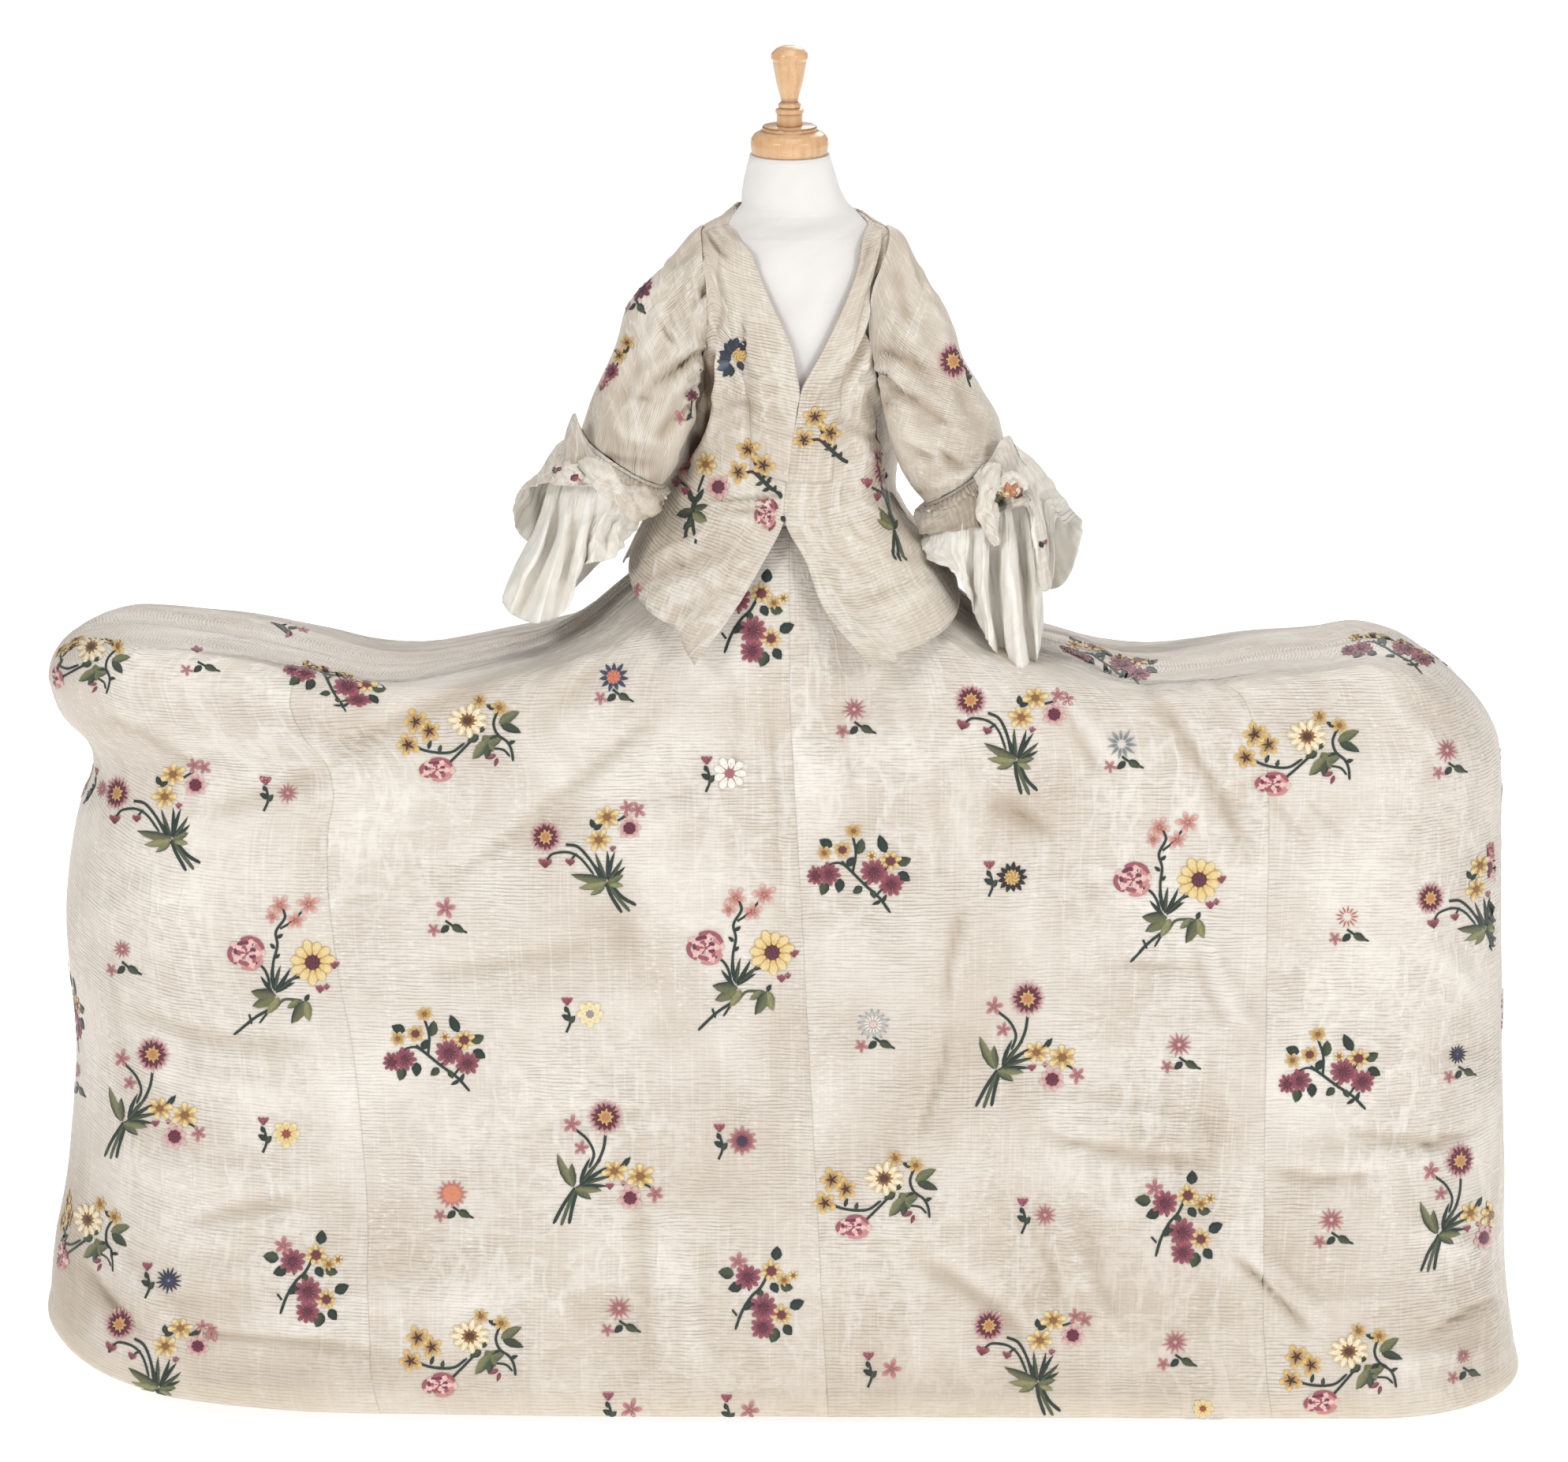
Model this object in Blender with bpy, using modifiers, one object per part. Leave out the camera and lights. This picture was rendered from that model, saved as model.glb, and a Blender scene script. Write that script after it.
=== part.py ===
"""A robe a la francaise with a short sack-backed jacket and a very wide petticoat, on a limbless dress form.

Metres, +Z up. The front faces -Y, and the wearer's left arm is on the +X side ("right" names the +X side
throughout, as somebody in front of the gown sees it). The origin is the centre of the stand's underside.
"""

import math

import bmesh
import bpy
import numpy as np

# ---------------------------------------------------------------- driving dimensions

CLOTH = 0.0015  # silk and its lining, taken as one wall
SEAM_GAP = 0.0004  # between the two edges of a seam
LAYER_GAP = 0.0005  # between a piece and the panel that it lies on

HEM_HEIGHT = 0.012
HEM_HALF_DEPTH = 0.245
HEM_CORNER = 0.190
RIM_CORNER = 0.100
FRONT_WIDTHS = 4  # loom widths in the front half, and as many in the back half
RIM_SLACK = 3.0  # a seam's gap grows by this share of itself over the rim's turn
SEAM_LEAN = 0.045  # the front seams lean this far to the right at the hem
TOP_FLATTENING = 1.3  # the shaped top falls this much faster to the front than to the sides
WAIST_HALF_WIDTH = 0.1165
WAIST_HALF_DEPTH = 0.0985
WAIST_SPREAD = 0.35  # girth that keeps its place at the waist before the pleats take the rest in

PETTICOAT_ROWS = (0, 0.36, 0.62, 0.78, 0.85, 0.91, 0.96, 1.0, 1.5, 2.0, 2.45, 2.74, 2.88, 2.95, 3.0)
PANEL_COLUMNS = 8

SLEEVE_PUFF_LEFT = 0.015
SLEEVE_PUFF_RIGHT = 0.021
INNER_FULLNESS = 0.016  # the sleeves lie this far in over the bodice's front
SLEEVE_AROUND = 20
CUFF_AROUND = 24
FLOUNCE_AROUND = 24
CUFF_DEPTH = 0.026

FORM_AROUND = 32
POLE_RADIUS = 0.0125
BASE_RADIUS = 0.170
BASE_THICKNESS = 0.018
PART_GAP = 0.0003
FORM_BOTTOM = 0.860

SIDES = (("left", -1), ("right", 1))


def table(columns, *rows):
    """Named columns, one row for each section or fold."""
    return dict(zip(columns.split(), np.array(rows, float).T))


# Half widths of the petticoat by height. The left end bellies out again just under its top.
PETTICOAT_SIDES = table(
    "height left right",
    (0.010, 0.870, 0.862),
    (0.055, 0.878, 0.853),
    (0.115, 0.870, 0.845),
    (0.180, 0.861, 0.841),
    (0.220, 0.852, 0.840),
    (0.325, 0.840, 0.836),
    (0.445, 0.835, 0.833),
    (0.510, 0.840, 0.831),
    (0.640, 0.835, 0.828),
    (0.690, 0.824, 0.827),
    (0.730, 0.808, 0.825),
    (0.770, 0.817, 0.819),
    (0.790, 0.838, 0.810),
    (0.828, 0.855, 0.790),
    (0.855, 0.860, 0.780),
    (0.885, 0.855, 0.780),
)

# Lift of the hem off the level by girth: the left corner is hitched up.
HEM_LIFT = table(
    "girth lift",
    (-2.10, 0),
    (-1.45, 0.010),
    (-1.22, 0.045),
    (-1.03, 0.070),
    (-0.88, 0.060),
    (-0.78, 0.038),
    (-0.70, 0.022),
    (-0.60, 0.010),
    (-0.40, 0.003),
    (0.00, 0),
    (2.10, 0),
)

# Height of the petticoat's top by distance from the body's axis.
PETTICOAT_TOP = table(
    "reach left right",
    (0.1165, 1.050, 1.050),
    (0.150, 0.997, 0.997),
    (0.175, 0.960, 0.956),
    (0.200, 0.938, 0.930),
    (0.240, 0.906, 0.902),
    (0.290, 0.880, 0.879),
    (0.340, 0.868, 0.866),
    (0.385, 0.857, 0.850),
    (0.430, 0.848, 0.845),
    (0.490, 0.848, 0.850),
    (0.550, 0.862, 0.860),
    (0.620, 0.878, 0.866),
    (0.680, 0.887, 0.876),
    (0.730, 0.893, 0.864),
    (0.775, 0.896, 0.836),
    (0.830, 0.886, 0.810),
    (0.900, 0.862, 0.790),
)

# The rim by distance along the front: length of each thread's turn on to the top, and half the depth.
PETTICOAT_RIM = table(
    "across turn half_depth",
    (0.00, 0.095, 0.150),
    (0.15, 0.085, 0.148),
    (0.30, 0.060, 0.136),
    (0.50, 0.045, 0.119),
    (0.68, 0.040, 0.112),
    (0.84, 0.045, 0.110),
)

# Large soft folds: place at the hem's girth, where each starts and ends in height, sideways drift, half
# width and depth, which is negative for a trough.
PETTICOAT_FOLDS = table(
    "girth low high drift width depth",
    (-0.66, 0.55, 0.90, 0.22, 0.060, 0.008),
    (-0.30, 0.10, 0.80, 0.05, 0.070, 0.006),
    (0.16, 0.05, 0.85, -0.03, 0.060, 0.006),
    (0.33, 0.10, 0.82, -0.05, 0.060, -0.006),
    (0.53, 0.05, 0.88, -0.06, 0.065, 0.009),
    (0.70, 0.50, 0.86, -0.16, 0.060, 0.007),
    (0.86, 0.05, 0.30, -0.10, 0.060, 0.008),
    (1.10, 0.05, 0.70, 0.02, 0.060, 0.007),
    (1.45, 0.05, 0.85, 0.04, 0.065, 0.008),
    (1.80, 0.05, 0.90, 0.03, 0.065, 0.007),
    (-1.12, 0.05, 0.60, -0.02, 0.060, 0.007),
    (-1.40, 0.05, 0.85, -0.04, 0.065, 0.008),
    (-1.78, 0.05, 0.90, -0.03, 0.065, 0.007),
)

# Outer face of the jacket: half widths to each side, depth to the front and to the back of the axis.
JACKET = table(
    "height left right front back",
    (0.880, 0.232, 0.222, 0.182, 0.178),
    (0.900, 0.225, 0.215, 0.176, 0.172),
    (0.945, 0.203, 0.197, 0.163, 0.158),
    (0.990, 0.182, 0.176, 0.147, 0.142),
    (1.040, 0.155, 0.151, 0.124, 0.120),
    (1.084, 0.129, 0.130, 0.107, 0.103),
    (1.107, 0.117, 0.117, 0.102, 0.095),
    (1.140, 0.110, 0.106, 0.103, 0.089),
    (1.170, 0.113, 0.109, 0.106, 0.091),
    (1.200, 0.117, 0.115, 0.106, 0.092),
    (1.235, 0.123, 0.122, 0.100, 0.091),
    (1.270, 0.127, 0.130, 0.091, 0.088),
    (1.305, 0.127, 0.133, 0.080, 0.082),
    (1.335, 0.117, 0.123, 0.068, 0.074),
    (1.360, 0.102, 0.108, 0.064, 0.067),
    (1.372, 0.087, 0.096, 0.056, 0.062),
    (1.386, 0.069, 0.083, 0.050, 0.060),
)

# Front edges (neckline, centre front, parting below the waist) and outer edges of the robings, as x.
FRONT_EDGE = table(
    "height left right left_robing right_robing",
    (0.8957, -0.0966, 0.0805, -0.145, 0.130),
    (0.910, -0.0876, 0.0563, -0.136, 0.112),
    (0.939, -0.0695, 0.0438, -0.120, 0.100),
    (0.992, -0.0360, 0.0250, -0.088, 0.076),
    (1.039, -0.0085, -0.0040, -0.056, 0.052),
    (1.085, -0.0040, -0.0015, -0.046, 0.050),
    (1.129, 0.0010, 0.0042, -0.043, 0.052),
    (1.198, 0.0105, 0.0158, -0.048, 0.060),
    (1.242, 0.0018, 0.0401, -0.057, 0.072),
    (1.268, -0.0054, 0.0525, -0.060, 0.079),
    (1.294, -0.0214, 0.0660, -0.064, 0.085),
    (1.336, -0.0366, 0.0810, -0.080, 0.093),
    (1.370, -0.0580, 0.0840, -0.080, 0.092),
    (1.386, -0.0690, 0.0830, -0.069, 0.083),
)

# Armhole: how far out it runs on the front and on the back, as a share of the jacket's half width.
ARMHOLE = table(
    "height front back",
    (1.172, 1.00, 1.00),
    (1.190, 0.93, 0.97),
    (1.220, 0.80, 0.90),
    (1.260, 0.70, 0.84),
    (1.300, 0.69, 0.82),
    (1.335, 0.82, 0.88),
    (1.362, 1.00, 1.00),
)
ARMHOLE_CLEARANCE_LEFT = 0.0022
ARMHOLE_CLEARANCE_RIGHT = 0.0022
ARMHOLE_CLEARANCE_BACK = 0.0040
ARMHOLE_TOP = 1.362
ARMHOLE_BOTTOM = 1.172

# Lower edge of the jacket, from each front edge round to the side seam, and on to the centre back.
FRONT_HEM = table("across left right", (0, 0.896, 0.896), (0.4, 0.922, 0.901), (0.75, 0.958, 0.925), (1, 0.988, 0.951))
BACK_HEM = table("across height", (0, 0.905), (0.4, 0.910), (0.7, 0.938), (1, 0.968))

# The sack back hangs free of the body between these lines.
SACK = table(
    "height half_width depth",
    (0.880, 0.168, 0.240),
    (0.945, 0.156, 0.218),
    (1.060, 0.134, 0.178),
    (1.200, 0.108, 0.133),
    (1.320, 0.086, 0.092),
    (1.386, 0.066, 0.062),
)
SACK_EDGE = 0.60  # how far round the back, as a share, the free pleats reach
SACK_PLEAT_STEP = 0.0045
SKIRT_SQUARENESS = 0.30
PEPLUM_CLEARANCE = 0.009  # height of the jacket's skirt over the petticoat's top

# Lower ring of each sleeve: centre, direction of its outer side, and radii.
ELBOW = table(
    "side x y z out_x out_z radius depth",
    (-1, -0.190, -0.055, 1.106, -0.842, 0.540, 0.056, 0.054),
    (1, 0.201, -0.055, 1.089, 0.807, 0.590, 0.057, 0.054),
)

# Flounces and ruffles: reach from the cuff's centre and fall below it, half way down and at the edge, by
# the angle round the arm from its outer side through the front.
FLOUNCE_LEFT = table(
    "angle half_out half_fall out fall",
    (0, 0.104, -0.006, 0.127, 0.060),
    (45, 0.098, 0.008, 0.116, 0.078),
    (90, 0.076, 0.024, 0.086, 0.076),
    (135, 0.060, 0.042, 0.060, 0.072),
    (180, 0.043, 0.047, 0.035, 0.066),
    (225, 0.050, 0.042, 0.042, 0.064),
    (270, 0.072, 0.022, 0.078, 0.068),
    (315, 0.094, 0.004, 0.112, 0.066),
    (360, 0.104, -0.006, 0.127, 0.060),
)
FLOUNCE_RIGHT = table(
    "angle half_out half_fall out fall",
    (0, 0.100, 0.000, 0.134, 0.070),
    (45, 0.098, 0.020, 0.128, 0.118),
    (90, 0.074, 0.028, 0.080, 0.076),
    (135, 0.060, 0.042, 0.060, 0.072),
    (180, 0.044, 0.049, 0.038, 0.070),
    (225, 0.050, 0.044, 0.045, 0.068),
    (270, 0.074, 0.026, 0.084, 0.074),
    (315, 0.096, 0.010, 0.122, 0.086),
    (360, 0.100, 0.000, 0.134, 0.070),
)
RUFFLE_LEFT = table(
    "angle half_out half_fall out fall",
    (0, 0.090, 0.080, 0.142, 0.150),
    (30, 0.084, 0.095, 0.112, 0.176),
    (60, 0.066, 0.088, 0.078, 0.150),
    (90, 0.050, 0.074, 0.060, 0.112),
    (135, 0.038, 0.068, 0.044, 0.096),
    (180, 0.029, 0.067, 0.026, 0.086),
    (225, 0.034, 0.066, 0.030, 0.084),
    (270, 0.054, 0.070, 0.070, 0.112),
    (315, 0.076, 0.078, 0.110, 0.140),
    (360, 0.090, 0.080, 0.142, 0.150),
)
RUFFLE_RIGHT = table(
    "angle half_out half_fall out fall",
    (0, 0.080, 0.074, 0.092, 0.125),
    (30, 0.080, 0.095, 0.106, 0.168),
    (58, 0.080, 0.110, 0.128, 0.200),
    (90, 0.060, 0.084, 0.084, 0.134),
    (135, 0.042, 0.074, 0.058, 0.104),
    (180, 0.027, 0.072, 0.027, 0.092),
    (225, 0.032, 0.068, 0.032, 0.088),
    (270, 0.052, 0.070, 0.062, 0.096),
    (315, 0.070, 0.072, 0.082, 0.112),
    (360, 0.080, 0.074, 0.092, 0.125),
)
FLOUNCE_WAVES = 6
FLOUNCE_WAVE_DEPTH = 0.004

# The dress form: half widths to each side and depths to the front and back.
FORM = table(
    "height left right front back",
    (0.860, 0.100, 0.100, 0.082, 0.084),
    (0.866, 0.114, 0.114, 0.092, 0.094),
    (0.885, 0.124, 0.124, 0.100, 0.102),
    (0.930, 0.125, 0.125, 0.101, 0.103),
    (0.980, 0.114, 0.114, 0.095, 0.097),
    (1.020, 0.1120, 0.1120, 0.0940, 0.0945),
    (1.040, 0.1115, 0.1115, 0.0935, 0.0935),
    (1.064, 0.1113, 0.1113, 0.0933, 0.0933),
    (1.107, 0.102, 0.102, 0.090, 0.083),
    (1.140, 0.098, 0.096, 0.092, 0.080),
    (1.170, 0.101, 0.099, 0.096, 0.082),
    (1.200, 0.106, 0.105, 0.096, 0.083),
    (1.235, 0.113, 0.113, 0.090, 0.082),
    (1.270, 0.119, 0.121, 0.081, 0.079),
    (1.305, 0.120, 0.125, 0.071, 0.073),
    (1.335, 0.112, 0.118, 0.060, 0.066),
    (1.360, 0.0975, 0.1030, 0.047, 0.056),
    (1.372, 0.0800, 0.0870, 0.043, 0.051),
    (1.385, 0.0620, 0.0705, 0.043, 0.049),
    (1.402, 0.0570, 0.0595, 0.0445, 0.0485),
    (1.425, 0.0505, 0.0520, 0.0450, 0.0470),
    (1.446, 0.0450, 0.0455, 0.0450, 0.0450),
)

# Turned profiles, from the top down the outer side: radius and height.
FINIAL = table(
    "radius height",
    (0.0070, 1.5700),
    (0.0150, 1.5670),
    (0.0205, 1.5615),
    (0.0212, 1.5560),
    (0.0190, 1.5530),
    (0.0190, 1.5500),
    (0.0150, 1.5280),
    (0.0092, 1.5065),
    (0.0128, 1.5035),
    (0.0130, 1.5005),
    (0.0112, 1.4992),
    (0.0160, 1.4972),
    (0.0162, 1.4940),
    (0.0146, 1.4920),
    (0.0146, 1.4790),
)
NECK_CAP = table(
    "radius height",
    (0.0300, 1.4787),
    (0.0312, 1.4770),
    (0.0312, 1.4745),
    (0.0335, 1.4725),
    (0.0400, 1.4690),
    (0.0436, 1.4640),
    (0.0445, 1.4580),
    (0.0436, 1.4500),
    (0.0425, 1.4463),
)


# ---------------------------------------------------------------- numbers

def at(columns, key, name, value):
    """Smooth reading of a table's column at any value of its key column."""
    x, y = columns[key], columns[name]
    slope = np.gradient(y, x)
    value = np.clip(value, x[0], x[-1])
    low = np.clip(np.searchsorted(x, value, side="right") - 1, 0, len(x) - 2)
    step = x[low + 1] - x[low]
    t = (value - x[low]) / step
    start = (1 + 2 * t) * (1 - t) ** 2 * y[low] + t * (1 - t) ** 2 * step * slope[low]
    end = t**2 * (3 - 2 * t) * y[low + 1] - t**2 * (1 - t) * step * slope[low + 1]
    return start + end


def sided(columns, key, value, side, blend):
    """The left or the right column, blended where the side crosses zero."""
    right = 0.5 + 0.5 * np.tanh(side / blend)
    return at(columns, key, "left", value) * (1 - right) + at(columns, key, "right", value) * right


def smooth_step(value):
    value = np.clip(value, 0, 1)
    return value * value * (3 - 2 * value)


# ---------------------------------------------------------------- petticoat surface

def half_girths():
    """Length of the hem from centre front to centre back, on the left and on the right."""
    turn = math.pi * HEM_CORNER + 2 * (HEM_HALF_DEPTH - HEM_CORNER)
    return [2 * (PETTICOAT_SIDES[side][0] - HEM_CORNER) + turn for side, _ in SIDES]


def outline(girth, half_width, half_depth, corner):
    """Plan point of a rounded rectangle where the thread with this girth at the hem runs."""
    side = np.sign(girth)
    run = np.abs(girth)
    hem_half = np.where(girth < 0, PETTICOAT_SIDES["left"][0], PETTICOAT_SIDES["right"][0])
    flat = hem_half - HEM_CORNER
    turn = 0.5 * math.pi * HEM_CORNER
    end = 2 * (HEM_HALF_DEPTH - HEM_CORNER)
    whole = 2 * (flat + turn) + end
    back = run > whole / 2
    run = np.where(back, whole - run, run)
    front = np.clip(run / flat, 0, 1)
    angle = np.clip((run - flat) / HEM_CORNER, 0, math.pi / 2)
    beyond = np.clip((run - flat - turn) / (end / 2), 0, 1)
    x = front * (half_width - corner) + corner * np.sin(angle)
    y = -half_depth + corner * (1 - np.cos(angle)) + beyond * (half_depth - corner)
    return side * x, np.where(back, -y, y)


def top_height(x, y):
    reach = np.sqrt(x**2 + (TOP_FLATTENING * y) ** 2)
    return sided(PETTICOAT_TOP, "reach", reach, x, 0.05)


def rim_reading(girth, name):
    """A column of the rim's table, for threads of the front and of the back alike."""
    half_left, half_right = half_girths()
    run = np.abs(girth)
    whole = np.where(girth < 0, half_left, half_right)
    return at(PETTICOAT_RIM, "across", name, np.minimum(run, whole - run))


def rim_point(girth):
    half_width = np.where(girth < 0, PETTICOAT_SIDES["left"][-1], PETTICOAT_SIDES["right"][-1])
    x, y = outline(girth, half_width, rim_reading(girth, "half_depth"), RIM_CORNER)
    return np.stack([x, y, top_height(x, y)], -1)


def waist_point(girth):
    """Plan point at the waist: threads near the centre keep their place, the others crowd to the sides."""
    half_left, half_right = half_girths()
    half = np.where(girth < 0, half_left, half_right)
    run = np.abs(girth)
    back = run > half / 2
    run = np.where(back, half - run, run)
    full = 1 - np.exp(-half / 2 / WAIST_SPREAD)
    angle = 0.5 * math.pi * (1 - np.exp(-run / WAIST_SPREAD)) / full
    x = np.sign(girth) * WAIST_HALF_WIDTH * np.sin(angle)
    y = -WAIST_HALF_DEPTH * np.cos(angle)
    return x, np.where(back, -y, y)


def hanging_point(girth, share):
    """Point on the part that hangs from the rim, from the hem (0) to the rim (1)."""
    rim = rim_point(girth)
    hem = HEM_HEIGHT + at(HEM_LIFT, "girth", "lift", girth)
    height = hem + (rim[..., 2] - hem) * share
    half_width = np.where(
        girth < 0,
        at(PETTICOAT_SIDES, "height", "left", height),
        at(PETTICOAT_SIDES, "height", "right", height),
    )
    rim_depth = rim_reading(girth, "half_depth")
    half_depth = rim_depth + (HEM_HALF_DEPTH - rim_depth) * (1 - share)
    corner = RIM_CORNER + (HEM_CORNER - RIM_CORNER) * (1 - share)
    x, y = outline(girth, half_width, half_depth, corner)
    return np.stack([x, y, height], -1)


def lying_point(girth, share):
    """Point on the top, from the rim (0) to the waist (1)."""
    rim = rim_point(girth)
    x_waist, y_waist = waist_point(girth)
    x = rim[..., 0] + (x_waist - rim[..., 0]) * share
    y = rim[..., 1] + (y_waist - rim[..., 1]) * share
    return np.stack([x, y, top_height(x, y)], -1)


def smooth_petticoat(girth, row):
    """Petticoat without folds. Rows 0 to 1 hang, 1 to 2 turn over the rim, and 2 to 3 lie on the top."""
    rim = rim_point(girth)
    length = rim_reading(girth, "turn")
    hanging = rim[..., 2] - HEM_HEIGHT
    x_waist, y_waist = waist_point(girth)
    lying = np.hypot(x_waist - rim[..., 0], y_waist - rim[..., 1])
    turn_low = 1 - length / hanging
    turn_high = np.minimum(length / np.maximum(lying, 1e-6), 0.8)
    lower = hanging_point(girth, np.clip(row, 0, 1) * turn_low)
    upper = lying_point(girth, turn_high + (1 - turn_high) * np.clip(row - 2, 0, 1))
    t = np.clip(row - 1, 0, 1)[..., None]
    start = hanging_point(girth, turn_low)
    end = lying_point(girth, turn_high)
    turned = (1 - t) ** 2 * start + 2 * t * (1 - t) * rim + t**2 * end
    row = row[..., None]
    return np.where(row < 1, lower, np.where(row > 2, upper, turned))


def fold_depth(girth, height):
    """How far the folds stand out of the smooth cloth."""
    total = np.zeros_like(girth)
    for low, high, place, drift, width, depth in zip(
        *(PETTICOAT_FOLDS[name] for name in ("low", "high", "girth", "drift", "width", "depth"))
    ):
        share = np.clip((height - low) / (high - low), 0, 1)
        bump = np.sin(math.pi * share)
        total += depth * bump * np.exp(-(((girth - place - drift * share) / width) ** 2))
    return total


def petticoat_frame(girth, row):
    """Points on the outer face, unit normals there, and how far apart threads lie for each metre of girth."""
    small = 1e-4
    point = smooth_petticoat(girth, row)
    along = (smooth_petticoat(girth + small, row) - smooth_petticoat(girth - small, row)) / (2 * small)
    up = smooth_petticoat(girth, np.minimum(row + small, 3)) - smooth_petticoat(girth, np.maximum(row - small, 0))
    up /= np.maximum(np.linalg.norm(up, axis=-1, keepdims=True), 1e-12)
    normal = np.cross(along, up)
    spacing = np.linalg.norm(normal, axis=-1)
    normal /= np.maximum(spacing, 1e-12)[..., None]
    return point + normal * fold_depth(girth, point[..., 2])[..., None], normal, spacing


# ---------------------------------------------------------------- jacket surface

def jacket_squareness(height):
    """Exponent of the plan: 1 is an ellipse, and the skirt is squarer so as to lie over the petticoat."""
    return 1 - SKIRT_SQUARENESS * smooth_step((1.050 - height) / 0.120)


def jacket_point(angle, height):
    """Outer face by the angle round the body from centre front, positive to the right."""
    power = jacket_squareness(height)
    side, front = np.sin(angle), np.cos(angle)
    half = sided(JACKET, "height", height, side, 0.25)
    depth = np.where(front > 0, at(JACKET, "height", "front", height), at(JACKET, "height", "back", height))
    x = half * np.sign(side) * np.abs(side) ** power
    y = -depth * np.sign(front) * np.abs(front) ** power
    return np.stack([x, y, height], -1)


def angle_at(x, height, side):
    half = at(JACKET, "height", "left" if side < 0 else "right", height)
    share = np.clip(np.abs(x / half), 0, 1) ** (1 / jacket_squareness(height))
    return np.sign(x) * np.arcsin(share)


def armhole_angle(height, face):
    share = np.where(
        (height > ARMHOLE_TOP) | (height < ARMHOLE_BOTTOM), 1.0, at(ARMHOLE, "height", face, height)
    )
    return np.arcsin(np.clip(share, 0, 1))


def shoulder_line(share, side):
    """Neck point (0) to the top of the armhole (1), along the top of the shoulder."""
    name = "left" if side < 0 else "right"
    heights = np.linspace(ARMHOLE_TOP, JACKET["height"][-1], 24)
    widths = at(JACKET, "height", name, heights)
    target = widths[-1] + (widths[0] - widths[-1]) * share
    return np.interp(target, widths[::-1], heights[::-1])


def clear_of_petticoat(grid):
    """The skirt of the jacket rides outside the petticoat's top wherever that rises under it."""
    push = np.ones(grid.shape[:2])
    for _ in range(60):
        x, y = grid[..., 0] * push, grid[..., 1] * push
        push += 0.004 * (grid[..., 2] < top_height(x, y) + PEPLUM_CLEARANCE)
    for _ in range(3):
        edged = np.pad(push, 1, mode="edge")
        push = np.maximum(push, 0.5 * edged[1:-1, 1:-1] + 0.25 * (edged[1:-1, :-2] + edged[1:-1, 2:]))
    grid[..., :2] *= push[..., None]
    return grid


def inner_face(grid, side, to_front):
    """The cloth's inner face. At the shoulder it stops short of the seam's plane."""
    inner = moved_out(grid, -CLOTH, side)
    limit = SEAM_GAP / 2
    inner[..., 1] = np.minimum(inner[..., 1], -limit) if to_front else np.maximum(inner[..., 1], limit)
    return inner


def moved_out(grid, distance, side):
    """The same points moved out from the body along the surface's normal."""
    down = np.gradient(grid, axis=0)
    across = np.gradient(grid, axis=1)
    normal = np.cross(down, across)
    normal /= np.linalg.norm(normal, axis=-1, keepdims=True)
    return grid + normal * distance * side


def front_grid(side):
    """Rows from shoulder to hem, columns from the front edge over the robing to the armhole and side seam."""
    name = "left" if side < 0 else "right"
    across = np.array([0, 0.15, 0.30, 0.45, 0.59, 0.73, 0.87, 1.0])[None, :]
    robing_share = 0.45
    down = np.array([0, 0.035, 0.075, 0.13, 0.20, 0.29, 0.38, 0.44, 0.52, 0.61, 0.70, 0.78, 0.89, 1.0])[:, None]
    top = shoulder_line(across, side)
    hem = at(FRONT_HEM, "across", name, across)
    height = top + (hem - top) * down
    edge = angle_at(np.interp(height, FRONT_EDGE["height"], FRONT_EDGE[name]), height, side)
    robing_x = np.interp(height, FRONT_EDGE["height"], FRONT_EDGE[name + "_robing"])
    robing = angle_at(robing_x, height, side)
    outer = side * armhole_angle(height, "front")
    inner_part = edge + (robing - edge) * across / robing_share
    outer_part = robing + (outer - robing) * (across - robing_share) / (1 - robing_share)
    angle = np.where(across < robing_share, inner_part, outer_part)
    near_top = 1 - smooth_step((top - height) / 0.035)
    angle = angle + (side * math.pi / 2 - angle) * near_top
    grid = clear_of_petticoat(jacket_point(angle, height))
    at_seam = (np.abs(angle) > 1.55) | (near_top > 0.999)
    grid[..., 1] -= SEAM_GAP / 2 * at_seam
    return grid


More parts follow.
